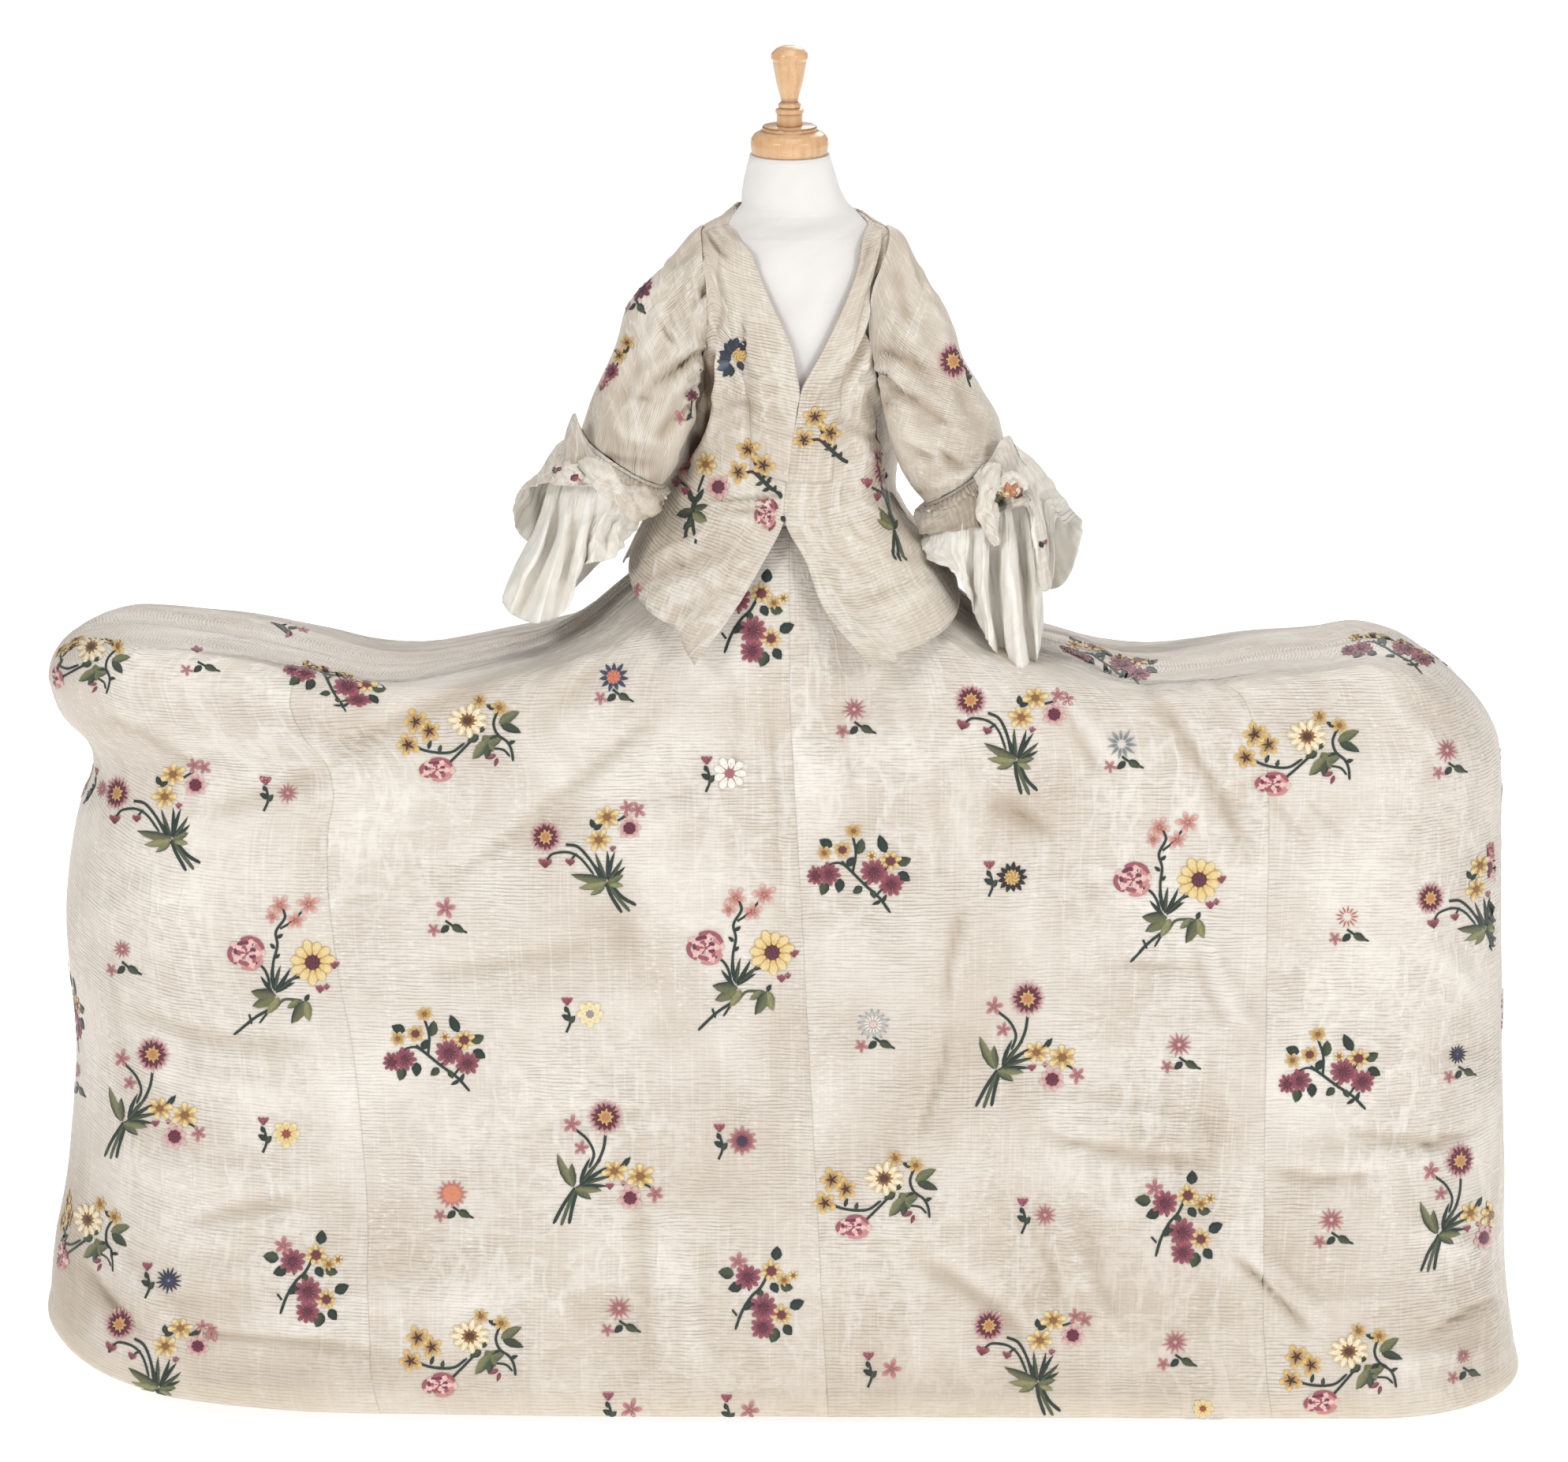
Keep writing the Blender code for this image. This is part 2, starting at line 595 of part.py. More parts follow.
def back_grid():
    """Rows from the neck to the hem, columns from the left side seam round to the right."""
    outer = np.array([1.0, 0.93, 0.85, 0.76, 0.67])
    inner = np.array([0.60, 0.52, 0.485, 0.42, 0.39, 0.21, 0.18, 0.115, 0.08, 0.0])
    half = np.concatenate([outer, inner])
    across = np.concatenate([-half, half[-2::-1]])[None, :]
    side = np.where(across < 0, -1, 1)
    reach = np.abs(across)
    neck = 0.60
    top_share = np.clip((reach - neck) / (1 - neck), 0, 1)
    top = np.where(across < 0, shoulder_line(top_share, -1), shoulder_line(top_share, 1))
    hem = at(BACK_HEM, "across", "height", reach)
    down = np.array([0, 0.04, 0.09, 0.17, 0.28, 0.40, 0.47, 0.56, 0.66, 0.78, 0.89, 1.0])[:, None]
    height = top + (hem - top) * down
    armhole = math.pi - armhole_angle(height, "back")
    angle = math.pi - reach * (math.pi - armhole)
    top_angle = math.pi - 0.5 * math.pi * np.clip(reach / neck, 0, 1)
    near_top = 1 - smooth_step((top - height) / 0.05)
    angle = angle + (top_angle - angle) * near_top
    grid = jacket_point(side * angle, height)
    free = (1 - smooth_step((reach - SACK_EDGE) / (1 - SACK_EDGE))) * smooth_step((top - height) / 0.09)
    place = np.minimum(reach / SACK_EDGE, 1.15)
    sack_x = side * place * at(SACK, "height", "half_width", height)
    sack_y = at(SACK, "height", "depth", height) * (1 - 0.10 * place**4)
    grid[..., 0] += (sack_x - grid[..., 0]) * free
    grid[..., 1] = np.maximum(grid[..., 1], grid[..., 1] + (sack_y - grid[..., 1]) * free)
    from_middle = np.abs(reach / SACK_EDGE - 0.5)
    steps = (1 - smooth_step((from_middle - 0.18) / 0.06)) + (1 - smooth_step((from_middle - 0.34) / 0.06))
    grid[..., 1] += SACK_PLEAT_STEP * steps * smooth_step((top - height) / 0.03)
    grid = clear_of_petticoat(grid)
    grid[..., 1] += SEAM_GAP / 2 * ((reach > 0.99) | (near_top > 0.999))
    return grid


# ---------------------------------------------------------------- sleeves and cuffs

def elbow(side):
    row = list(ELBOW["side"]).index(side)
    return {name: ELBOW[name][row] for name in ELBOW}


def elbow_ring(side, angle, grow=0.0, along=0.0):
    """Ring at the sleeve's lower edge by the angle from the arm's outer side through the front.
    It grows outwards, and moves along the arm away from the shoulder."""
    ring = elbow(side)
    outward = np.array([ring["out_x"], 0, ring["out_z"]])
    down = np.array([side * abs(ring["out_z"]), 0, -abs(ring["out_x"])])
    centre = np.array([ring["x"], ring["y"], ring["z"]]) + down * along
    angle = np.asarray(angle)[..., None]
    forward = np.array([0, -1.0, 0])
    return (
        centre
        + outward * (ring["radius"] + grow) * np.cos(angle)
        + forward * (ring["depth"] + grow) * np.sin(angle)
    )


def armhole_ring(side, angle):
    """The armhole's edge from the shoulder (0) down the front, under the arm and up the back."""
    middle = 0.5 * (ARMHOLE_TOP + ARMHOLE_BOTTOM)
    height = middle + 0.5 * (ARMHOLE_TOP - ARMHOLE_BOTTOM) * np.cos(angle)
    front = np.sin(angle) >= 0
    share = np.where(
        front, at(ARMHOLE, "height", "front", height), at(ARMHOLE, "height", "back", height)
    )
    around = np.arcsin(np.clip(share, 0, 1))
    around = np.where(front, around, math.pi - around)
    ring = jacket_point(side * around, height)
    clearance = ARMHOLE_CLEARANCE_LEFT if side < 0 else ARMHOLE_CLEARANCE_RIGHT
    out = side * np.where(front, clearance, ARMHOLE_CLEARANCE_BACK)
    return ring + np.stack([out, 0 * height, clearance * np.cos(angle)], -1)


def sleeve_grid(side):
    puff = SLEEVE_PUFF_LEFT if side < 0 else SLEEVE_PUFF_RIGHT
    angle = np.arange(SLEEVE_AROUND) * 2 * math.pi / SLEEVE_AROUND
    top, bottom = armhole_ring(side, angle), elbow_ring(side, angle)
    rings = []
    for share in (0, 0.08, 0.22, 0.42, 0.64, 0.84, 1.0):
        ring = top + (bottom - top) * share
        outward = ring - ring.mean(0)
        outward /= np.linalg.norm(outward, axis=1, keepdims=True)
        fullness = puff * math.sin(math.pi * share) ** 0.6 if 0 < share < 1 else 0
        under = 0.35 + 0.65 * (0.5 + 0.5 * np.cos(angle))[:, None]
        before_body = np.clip(np.cos(angle - math.radians(125)), 0, 1) ** 2 * math.sin(math.pi * share)
        ring = ring + outward * fullness * under
        ring[:, 0] -= side * INNER_FULLNESS * before_body
        rings.append(ring)
    return np.array(rings)


def cuff_grid(side):
    """Short gathered band that carries on down the arm from the sleeve's edge."""
    angle = np.arange(CUFF_AROUND) * 2 * math.pi / CUFF_AROUND
    gathers = 0.0008 * np.cos(angle * CUFF_AROUND / 2)
    start = 0.0006
    rings = []
    for along, grow in ((start, 0.0), (0.5 * CUFF_DEPTH, 0.002), (CUFF_DEPTH, 0.0)):
        rings.append(elbow_ring(side, angle, 0, along) + radial(side, angle) * (grow + gathers)[:, None])
    return np.array(rings)


def radial(side, angle):
    ring = elbow_ring(side, angle)
    outward = ring - ring.mean(0)
    return outward / np.linalg.norm(outward, axis=1, keepdims=True)


def hanging_ring(side, columns, angle, out_name, fall_name, wave):
    ring = elbow(side)
    degrees = np.degrees(angle)
    out = at(columns, "angle", out_name, degrees) + wave * np.cos(angle * FLOUNCE_WAVES)
    fall = at(columns, "angle", fall_name, degrees)
    x = ring["x"] + side * out * np.cos(angle)
    y = ring["y"] - out * np.sin(angle)
    return np.stack([x, y, ring["z"] - fall], -1)


def flounce_grid(side, columns, grow, along):
    """Flounce or ruffle from its gathered head on the arm to its free edge."""
    angle = np.arange(FLOUNCE_AROUND) * 2 * math.pi / FLOUNCE_AROUND
    head = elbow_ring(side, angle, grow, along)
    half = hanging_ring(side, columns, angle, "half_out", "half_fall", 0.5 * FLOUNCE_WAVE_DEPTH)
    edge = hanging_ring(side, columns, angle, "out", "fall", FLOUNCE_WAVE_DEPTH)
    quarter = 0.5 * head + 0.5 * half
    return np.array([head, quarter, half, edge])


# ---------------------------------------------------------------- making objects

def material(name, colour, roughness):
    made = bpy.data.materials.new(name)
    made.use_nodes = True
    shader = made.node_tree.nodes["Principled BSDF"]
    shader.inputs["Base Color"].default_value = (*colour, 1)
    shader.inputs["Roughness"].default_value = roughness
    shader.inputs["Metallic"].default_value = 0
    made.diffuse_color = (*colour, 1)
    return made


def add_object(name, mesh, finish, group):
    made = bpy.data.objects.new(name, mesh)
    made.data.materials.append(finish)
    group.objects.link(made)
    return made


def lattice(mesh, grid, ring):
    """Quads through the grid's points, closed round each row where ring is set."""
    rows, columns = grid.shape[:2]
    points = [[mesh.verts.new(point) for point in row] for row in grid.tolist()]
    for row in range(rows - 1):
        for column in range(columns if ring else columns - 1):
            after = (column + 1) % columns
            upper, lower = points[row], points[row + 1]
            mesh.faces.new((upper[column], lower[column], lower[after], upper[after]))
    return points


def finish_mesh(name, mesh):
    bmesh.ops.recalc_face_normals(mesh, faces=mesh.faces)
    made = bpy.data.meshes.new(name)
    mesh.to_mesh(made)
    mesh.free()
    made.shade_smooth()
    made.set_sharp_from_angle(angle=math.radians(50))
    return made


def tube(name, grid, finish, group, thickness=CLOTH):
    """A wall of cloth all round, with its outer face through the grid."""
    mesh = bmesh.new()
    lattice(mesh, grid, True)
    made = add_object(name, finish_mesh(name, mesh), finish, group)
    wall = made.modifiers.new("wall", "SOLIDIFY")
    wall.thickness = thickness
    wall.offset = -1
    return made


def panel(name, outer, inner, finish, group):
    """A wall of cloth between two faces, closed along its four edges. Neighbours take both faces from one
    surface, so the edges of a seam stay parallel through the cloth."""
    mesh = bmesh.new()
    front, back = lattice(mesh, outer, False), lattice(mesh, inner, False)

    def border(points):
        """The edge points once round: top, right, bottom, left."""
        right, left = [row[-1] for row in points[1:-1]], [row[0] for row in points[1:-1]]
        return points[0] + right + points[-1][::-1] + left[::-1]

    rim_front, rim_back = border(front), border(back)
    for place in range(len(rim_front)):
        after = (place + 1) % len(rim_front)
        mesh.faces.new((rim_front[place], rim_front[after], rim_back[after], rim_back[place]))
    return add_object(name, finish_mesh(name, mesh), finish, group)


def turned(name, profile, finish, group, steps=40):
    """A turned piece: the profile runs down its outer side and is closed on the axis at both ends."""
    radius, height = profile["radius"], profile["height"]
    points = [(0, 0, height[0])] + [(r, 0, z) for r, z in zip(radius, height)] + [(0, 0, height[-1])]
    mesh = bpy.data.meshes.new(name)
    mesh.from_pydata(points, [(i, i + 1) for i in range(len(points) - 1)], [])
    made = add_object(name, mesh, finish, group)
    screw = made.modifiers.new("turning", "SCREW")
    screw.axis = "Z"
    screw.angle = 2 * math.pi
    screw.steps = screw.render_steps = steps
    screw.use_merge_vertices = True
    screw.merge_threshold = 0.0001
    return made


# ---------------------------------------------------------------- the pieces

def seam_girth(index, row):
    """Girth of a seam at a row: whole loom widths, and the front ones lean."""
    half_left, half_right = half_girths()
    half = half_left if index < 0 else half_right
    whole = half / FRONT_WIDTHS
    hang = 1 - np.clip(row, 0, 1)
    lean = SEAM_LEAN * hang * (abs(index) < 2)
    return index * whole + lean


def build_petticoat(finish, group):
    names = ("back", "side_back", "side_front", "front")
    rows = np.array(PETTICOAT_ROWS, float)[:, None]
    share = np.linspace(0, 1, PANEL_COLUMNS)[None, :]
    for width in range(-FRONT_WIDTHS, FRONT_WIDTHS):
        side = "left" if width < 0 else "right"
        place = names[width + FRONT_WIDTHS] if width < 0 else names[FRONT_WIDTHS - 1 - width]
        start, end = seam_girth(width, rows), seam_girth(width + 1, rows)
        # Half of the seam's gap, as girth: it grows where the threads crowd together or turn over the rim.
        half_gap = 0.5 * SEAM_GAP * (1 + RIM_SLACK * np.clip(1 - np.abs(rows - 1.5) / 0.8, 0, 1))
        start = start + half_gap / petticoat_frame(start, rows)[2]
        end = end - half_gap / petticoat_frame(end, rows)[2]
        girth = start + (end - start) * share
        outer, normal, _ = petticoat_frame(girth, np.broadcast_to(rows, girth.shape))
        panel(f"petticoat_{place}_{side}", outer, outer - normal * CLOTH, finish, group)


def build_waistband(finish, group):
    angle = np.arange(FORM_AROUND) * 2 * math.pi / FORM_AROUND
    thickness = 0.0020
    inset = CLOTH + SEAM_GAP + 0.0006
    rings = [
        np.stack(
            [
                (WAIST_HALF_WIDTH - inset) * np.sin(angle),
                -(WAIST_HALF_DEPTH - inset) * np.cos(angle),
                np.full_like(angle, height),
            ],
            -1,
        )
        for height in (1.072, 1.034)
    ]
    tube("petticoat_waistband", np.array(rings), finish, group, thickness=thickness)


def build_jacket(finish, group):
    for name, side in SIDES:
        grid = front_grid(side)
        panel(f"jacket_front_{name}", grid, inner_face(grid, side, True), finish, group)
        below = moved_out(grid, LAYER_GAP, side)[1:10, :4]
        above = moved_out(grid, LAYER_GAP + CLOTH, side)[1:10, :4]
        panel(f"robing_{name}", above, below, finish, group)
    grid = back_grid()
    panel("jacket_back", grid, inner_face(grid, -1, False), finish, group)


def build_sleeves(silk, linen, group):
    tables = {"left": (FLOUNCE_LEFT, RUFFLE_LEFT), "right": (FLOUNCE_RIGHT, RUFFLE_RIGHT)}
    for name, side in SIDES:
        flounce, ruffle = tables[name]
        tube(f"sleeve_{name}", sleeve_grid(side), silk, group)
        tube(f"cuff_{name}", cuff_grid(side), silk, group)
        tube(f"flounce_{name}", flounce_grid(side, flounce, 0.0036, 0.004), silk, group)
        tube(f"ruffle_{name}", flounce_grid(side, ruffle, -0.0012, CUFF_DEPTH + 0.0006), linen, group)


def build_form(finish, group):
    angle = np.arange(FORM_AROUND) * 2 * math.pi / FORM_AROUND
    side, front = np.sin(angle), np.cos(angle)
    mesh = bmesh.new()
    rings = []
    for row in range(len(FORM["height"])):
        half = np.where(side < 0, FORM["left"][row], FORM["right"][row])
        depth = np.where(front > 0, FORM["front"][row], FORM["back"][row])
        ring = [
            mesh.verts.new((x, y, FORM["height"][row]))
            for x, y in zip((half * side).tolist(), (-depth * front).tolist())
        ]
        rings.append(ring)
    for lower, upper in zip(rings[:-1], rings[1:]):
        for place in range(FORM_AROUND):
            after = (place + 1) % FORM_AROUND
            mesh.faces.new((lower[place], lower[after], upper[after], upper[place]))
    mesh.faces.new(rings[-1])
    mesh.faces.new(rings[0][::-1])
    body = bpy.data.meshes.new("form_body")
    mesh.to_mesh(body)
    mesh.free()
    body.shade_smooth()
    body.set_sharp_from_angle(angle=math.radians(50))
    add_object("form_body", body, finish, group)


def build_stand(wood, metal, group):
    turned("neck_cap", NECK_CAP, wood, group)
    turned("finial", FINIAL, wood, group)
    pole_top = FORM_BOTTOM - PART_GAP
    pole_bottom = BASE_THICKNESS + PART_GAP
    pole = table("radius height", (POLE_RADIUS, pole_top), (POLE_RADIUS, pole_bottom))
    turned("stand_pole", pole, metal, group, steps=24)
    chamfer = 0.004
    base = table(
        "radius height",
        (BASE_RADIUS - 2 * chamfer, BASE_THICKNESS),
        (BASE_RADIUS, BASE_THICKNESS - chamfer),
        (BASE_RADIUS, 0.0),
    )
    turned("stand_base", base, metal, group, steps=48)


def main():
    for old in list(bpy.data.objects):
        bpy.data.objects.remove(old)
    group = bpy.data.collections.new("robe_a_la_francaise")
    bpy.context.scene.collection.children.link(group)
    silk = material("ribbed_silk", (0.70, 0.63, 0.52), 0.55)
    linen = material("white_ruffle", (0.76, 0.75, 0.68), 0.8)
    jersey = material("white_jersey", (0.86, 0.85, 0.83), 0.8)
    wood = material("turned_wood", (0.67, 0.41, 0.21), 0.4)
    metal = material("painted_stand", (0.75, 0.75, 0.74), 0.4)
    build_petticoat(silk, group)
    build_waistband(linen, group)
    build_jacket(silk, group)
    build_sleeves(silk, linen, group)
    build_form(jersey, group)
    build_stand(wood, metal, group)


main()
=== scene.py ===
"""Looks for a robe a la francaise with its petticoat, on a white dress form with a turned wooden cap.

Every piece of cloth is a fine shell on the form of its solid, with creases placed one by one. The flower
sprigs are thin raised silk, laid on the cloth from small charts. Metres, +Z up, the front faces -Y. Left and
right are the picture's. Tables and charts are texts, which the script reads into columns and rows.
"""
import math

import bpy
import numpy as np
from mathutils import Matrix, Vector
from mathutils.bvhtree import BVHTree


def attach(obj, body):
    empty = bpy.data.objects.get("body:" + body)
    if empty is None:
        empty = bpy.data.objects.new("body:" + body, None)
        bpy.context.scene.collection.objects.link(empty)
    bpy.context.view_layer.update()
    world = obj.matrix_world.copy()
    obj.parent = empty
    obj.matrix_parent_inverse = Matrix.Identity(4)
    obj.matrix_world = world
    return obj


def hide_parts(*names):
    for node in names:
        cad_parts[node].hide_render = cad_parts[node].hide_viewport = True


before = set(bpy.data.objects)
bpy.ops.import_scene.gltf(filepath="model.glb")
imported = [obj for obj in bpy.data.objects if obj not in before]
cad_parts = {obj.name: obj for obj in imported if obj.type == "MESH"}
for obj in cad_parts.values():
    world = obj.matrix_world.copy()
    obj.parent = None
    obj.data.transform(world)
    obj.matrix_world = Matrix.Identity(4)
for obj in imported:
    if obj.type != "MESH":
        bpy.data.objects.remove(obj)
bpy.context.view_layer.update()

# ---------------------------------------------------------------- view

TARGET_HEIGHT = 0.8
DISTANCE = 8.0
ELEVATION = math.radians(14.5)
FOCAL = 8735.0  # in pixels of a picture 1988 wide
WIDE, HIGH = 1988, 1853
AIM_X, AIM_Y = 1001.0, 892.0  # where the target shows


def project(points, back=False):
    """Place in the picture of each point, or in the picture that a camera behind the gown would take."""
    turn = -1.0 if back else 1.0
    x, y, z = turn * points[..., 0], turn * points[..., 1], points[..., 2] - TARGET_HEIGHT
    sin, cos = math.sin(ELEVATION), math.cos(ELEVATION)
    away = DISTANCE + cos * y - sin * z
    return np.stack([AIM_X + FOCAL * x / away, AIM_Y - FOCAL * (sin * y + cos * z) / away], -1)


def sight(x, y):
    """Start and direction of the line of sight through a place in the picture."""
    sin, cos = math.sin(ELEVATION), math.cos(ELEVATION)
    start = Vector((0, -DISTANCE * cos, TARGET_HEIGHT + DISTANCE * sin))
    right, up = (x - AIM_X) / FOCAL, (AIM_Y - y) / FOCAL
    return start, Vector((right, cos + up * sin, -sin + up * cos)).normalized()


# ---------------------------------------------------------------- sizes of the solids

SEAM_GAP = 0.0004  # between the two edges of a seam
LAYER_GAP = 0.0005  # between a piece and the panel that it lies on

HEM_HEIGHT = 0.012
HEM_HALF_DEPTH = 0.245
HEM_CORNER = 0.190
RIM_CORNER = 0.100
FRONT_WIDTHS = 4  # loom widths in the front half, and as many in the back half
SEAM_LEAN = 0.045  # the front seams lean this far to the right at the hem
TOP_FLATTENING = 1.3  # the shaped top falls this much faster to the front than to the sides
WAIST_HALF_WIDTH = 0.1165
WAIST_HALF_DEPTH = 0.0985
WAIST_SPREAD = 0.35  # girth that keeps its place at the waist before the pleats take the rest in

SLEEVE_PUFF_LEFT = 0.015
SLEEVE_PUFF_RIGHT = 0.021
SLEEVE_RINGS = (0, 0.08, 0.22, 0.42, 0.64, 0.84, 1.0)  # places along the sleeve
INNER_FULLNESS = 0.016  # the sleeves lie this far in over the bodice's front
SLEEVE_AROUND = 20
SLEEVE_HOLLOW = 125  # degrees round the arm where the sleeve lies in over the bodice
UNDER_FULLNESS = 0.35  # share of the puff on the side of the body
CUFF_DEPTH = 0.026

SIDES = (("left", -1), ("right", 1))


def table(text):
    """Columns by the names in the text's first line. Each line below is a section or a fold."""
    columns, *rows = text.strip().splitlines()
    return dict(zip(columns.split(), np.array([row.split() for row in rows], float).T))


# Half widths of the petticoat by height. The left end bellies out again just under its top.
PETTICOAT_SIDES = table("""
    height left right
    0.010 0.870 0.862
    0.055 0.878 0.853
    0.115 0.870 0.845
    0.180 0.861 0.841
    0.220 0.852 0.840
    0.325 0.840 0.836
    0.445 0.835 0.833
    0.510 0.840 0.831
    0.640 0.835 0.828
    0.690 0.824 0.827
    0.730 0.808 0.825
    0.770 0.817 0.819
    0.790 0.838 0.810
    0.828 0.855 0.790
    0.855 0.860 0.780
    0.885 0.855 0.780
""")

# Lift of the hem off the level by girth: the left corner is hitched up.
HEM_LIFT = table("""
    girth lift
    -2.10 0
    -1.45 0.010
    -1.22 0.045
    -1.03 0.070
    -0.88 0.060
    -0.78 0.038
    -0.70 0.022
    -0.60 0.010
    -0.40 0.003
    0.00 0
    2.10 0
""")

# Height of the petticoat's top by distance from the body's axis.
PETTICOAT_TOP = table("""
    reach left right
    0.1165 1.050 1.050
    0.150 0.997 0.997
    0.175 0.960 0.956
    0.200 0.938 0.930
    0.240 0.906 0.902
    0.290 0.880 0.879
    0.340 0.868 0.866
    0.385 0.857 0.850
    0.430 0.848 0.845
    0.490 0.848 0.850
    0.550 0.862 0.860
    0.620 0.878 0.866
    0.680 0.887 0.876
    0.730 0.893 0.864
    0.775 0.896 0.836
    0.830 0.886 0.810
    0.900 0.862 0.790
""")

# The rim by distance along the front: length of each thread's turn on to the top, and half the depth.
PETTICOAT_RIM = table("""
    across turn half_depth
    0.00 0.095 0.150
    0.15 0.085 0.148
    0.30 0.060 0.136
    0.50 0.045 0.119
    0.68 0.040 0.112
    0.84 0.045 0.110
""")

# Large soft folds: place at the hem's girth, where each starts and ends in height, sideways drift, half
# width and depth, which is negative for a trough.
PETTICOAT_FOLDS = table("""
    girth low high drift width depth
    -0.66 0.55 0.90 0.22 0.060 0.008
    -0.30 0.10 0.80 0.05 0.070 0.006
    0.16 0.05 0.85 -0.03 0.060 0.006
    0.33 0.10 0.82 -0.05 0.060 -0.006
    0.53 0.05 0.88 -0.06 0.065 0.009
    0.70 0.50 0.86 -0.16 0.060 0.007
    0.86 0.05 0.30 -0.10 0.060 0.008
    1.10 0.05 0.70 0.02 0.060 0.007
    1.45 0.05 0.85 0.04 0.065 0.008
    1.80 0.05 0.90 0.03 0.065 0.007
    -1.12 0.05 0.60 -0.02 0.060 0.007
    -1.40 0.05 0.85 -0.04 0.065 0.008
    -1.78 0.05 0.90 -0.03 0.065 0.007
""")

# Outer face of the jacket: half widths to each side, depth to the front and to the back of the axis.
JACKET = table("""
    height left right front back
    0.880 0.232 0.222 0.182 0.178
    0.900 0.225 0.215 0.176 0.172
    0.945 0.203 0.197 0.163 0.158
    0.990 0.182 0.176 0.147 0.142
    1.040 0.155 0.151 0.124 0.120
    1.084 0.129 0.130 0.107 0.103
    1.107 0.117 0.117 0.102 0.095
    1.140 0.110 0.106 0.103 0.089
    1.170 0.113 0.109 0.106 0.091
    1.200 0.117 0.115 0.106 0.092
    1.235 0.123 0.122 0.100 0.091
    1.270 0.127 0.130 0.091 0.088
    1.305 0.127 0.133 0.080 0.082
    1.335 0.117 0.123 0.068 0.074
    1.360 0.102 0.108 0.064 0.067
    1.372 0.087 0.096 0.056 0.062
    1.386 0.069 0.083 0.050 0.060
""")

# Front edges (neckline, centre front, parting below the waist) and outer edges of the robings, as x.
FRONT_EDGE = table("""
    height left right left_robing right_robing
    0.8957 -0.0966 0.0805 -0.145 0.130
    0.910 -0.0876 0.0563 -0.136 0.112
    0.939 -0.0695 0.0438 -0.120 0.100
    0.992 -0.0360 0.0250 -0.088 0.076
    1.039 -0.0085 -0.0040 -0.056 0.052
    1.085 -0.0040 -0.0015 -0.046 0.050
    1.129 0.0010 0.0042 -0.043 0.052
    1.198 0.0105 0.0158 -0.048 0.060
    1.242 0.0018 0.0401 -0.057 0.072
    1.268 -0.0054 0.0525 -0.060 0.079
    1.294 -0.0214 0.0660 -0.064 0.085
    1.336 -0.0366 0.0810 -0.080 0.093
    1.370 -0.0580 0.0840 -0.080 0.092
    1.386 -0.0690 0.0830 -0.069 0.083
""")

# Armhole: how far out it runs on the front and on the back, as a share of the jacket's half width.
ARMHOLE = table("""
    height front back
    1.172 1.00 1.00
    1.190 0.93 0.97
    1.220 0.80 0.90
    1.260 0.70 0.84
    1.300 0.69 0.82
    1.335 0.82 0.88
    1.362 1.00 1.00
""")
ARMHOLE_CLEARANCE = 0.0022  # of the sleeve's head over the jacket's front, and over its back
ARMHOLE_CLEARANCE_BACK = 0.0040
ARMHOLE_TOP = 1.362
ARMHOLE_BOTTOM = 1.172

# Lower edge of the jacket, from each front edge round to the side seam, and on to the centre back.
FRONT_HEM = table("""
    across left right
    0 0.896 0.896
    0.4 0.922 0.901
    0.75 0.958 0.925
    1 0.988 0.951
""")
BACK_HEM = table("""
    across height
    0 0.905
    0.4 0.910
    0.7 0.938
    1 0.968
""")

# The sack back hangs free of the body between these lines.
SACK = table("""
    height half_width depth
    0.880 0.168 0.240
    0.945 0.156 0.218
    1.060 0.134 0.178
    1.200 0.108 0.133
    1.320 0.086 0.092
    1.386 0.066 0.062
""")
SACK_EDGE = 0.60  # how far round the back, as a share, the free pleats reach
SACK_PLEAT_STEP = 0.0045
SKIRT_SQUARENESS = 0.30
PEPLUM_CLEARANCE = 0.009  # height of the jacket's skirt over the petticoat's top

# Lower ring of each sleeve: centre, direction of its outer side, and radii.
ELBOW = table("""
    side x y z out_x out_z radius depth
    -1 -0.190 -0.055 1.106 -0.842 0.540 0.056 0.054
    1 0.201 -0.055 1.089 0.807 0.590 0.057 0.054
""")

# The dress form: half widths to each side and depths to the front and back.
FORM = table("""
    height left right front back
    0.860 0.100 0.100 0.082 0.084
    0.866 0.114 0.114 0.092 0.094
    0.885 0.124 0.124 0.100 0.102
    0.930 0.125 0.125 0.101 0.103
    0.980 0.114 0.114 0.095 0.097
    1.020 0.1120 0.1120 0.0940 0.0945
    1.040 0.1115 0.1115 0.0935 0.0935
    1.064 0.1113 0.1113 0.0933 0.0933
    1.107 0.102 0.102 0.090 0.083
    1.140 0.098 0.096 0.092 0.080
    1.170 0.101 0.099 0.096 0.082
    1.200 0.106 0.105 0.096 0.083
    1.235 0.113 0.113 0.090 0.082
    1.270 0.119 0.121 0.081 0.079
    1.305 0.120 0.125 0.071 0.073
    1.335 0.112 0.118 0.060 0.066
    1.360 0.0975 0.1030 0.047 0.056
    1.372 0.0800 0.0870 0.043 0.051
    1.385 0.0620 0.0705 0.043 0.049
    1.402 0.0570 0.0595 0.0445 0.0485
    1.425 0.0505 0.0520 0.0450 0.0470
    1.446 0.0450 0.0455 0.0450 0.0450
""")

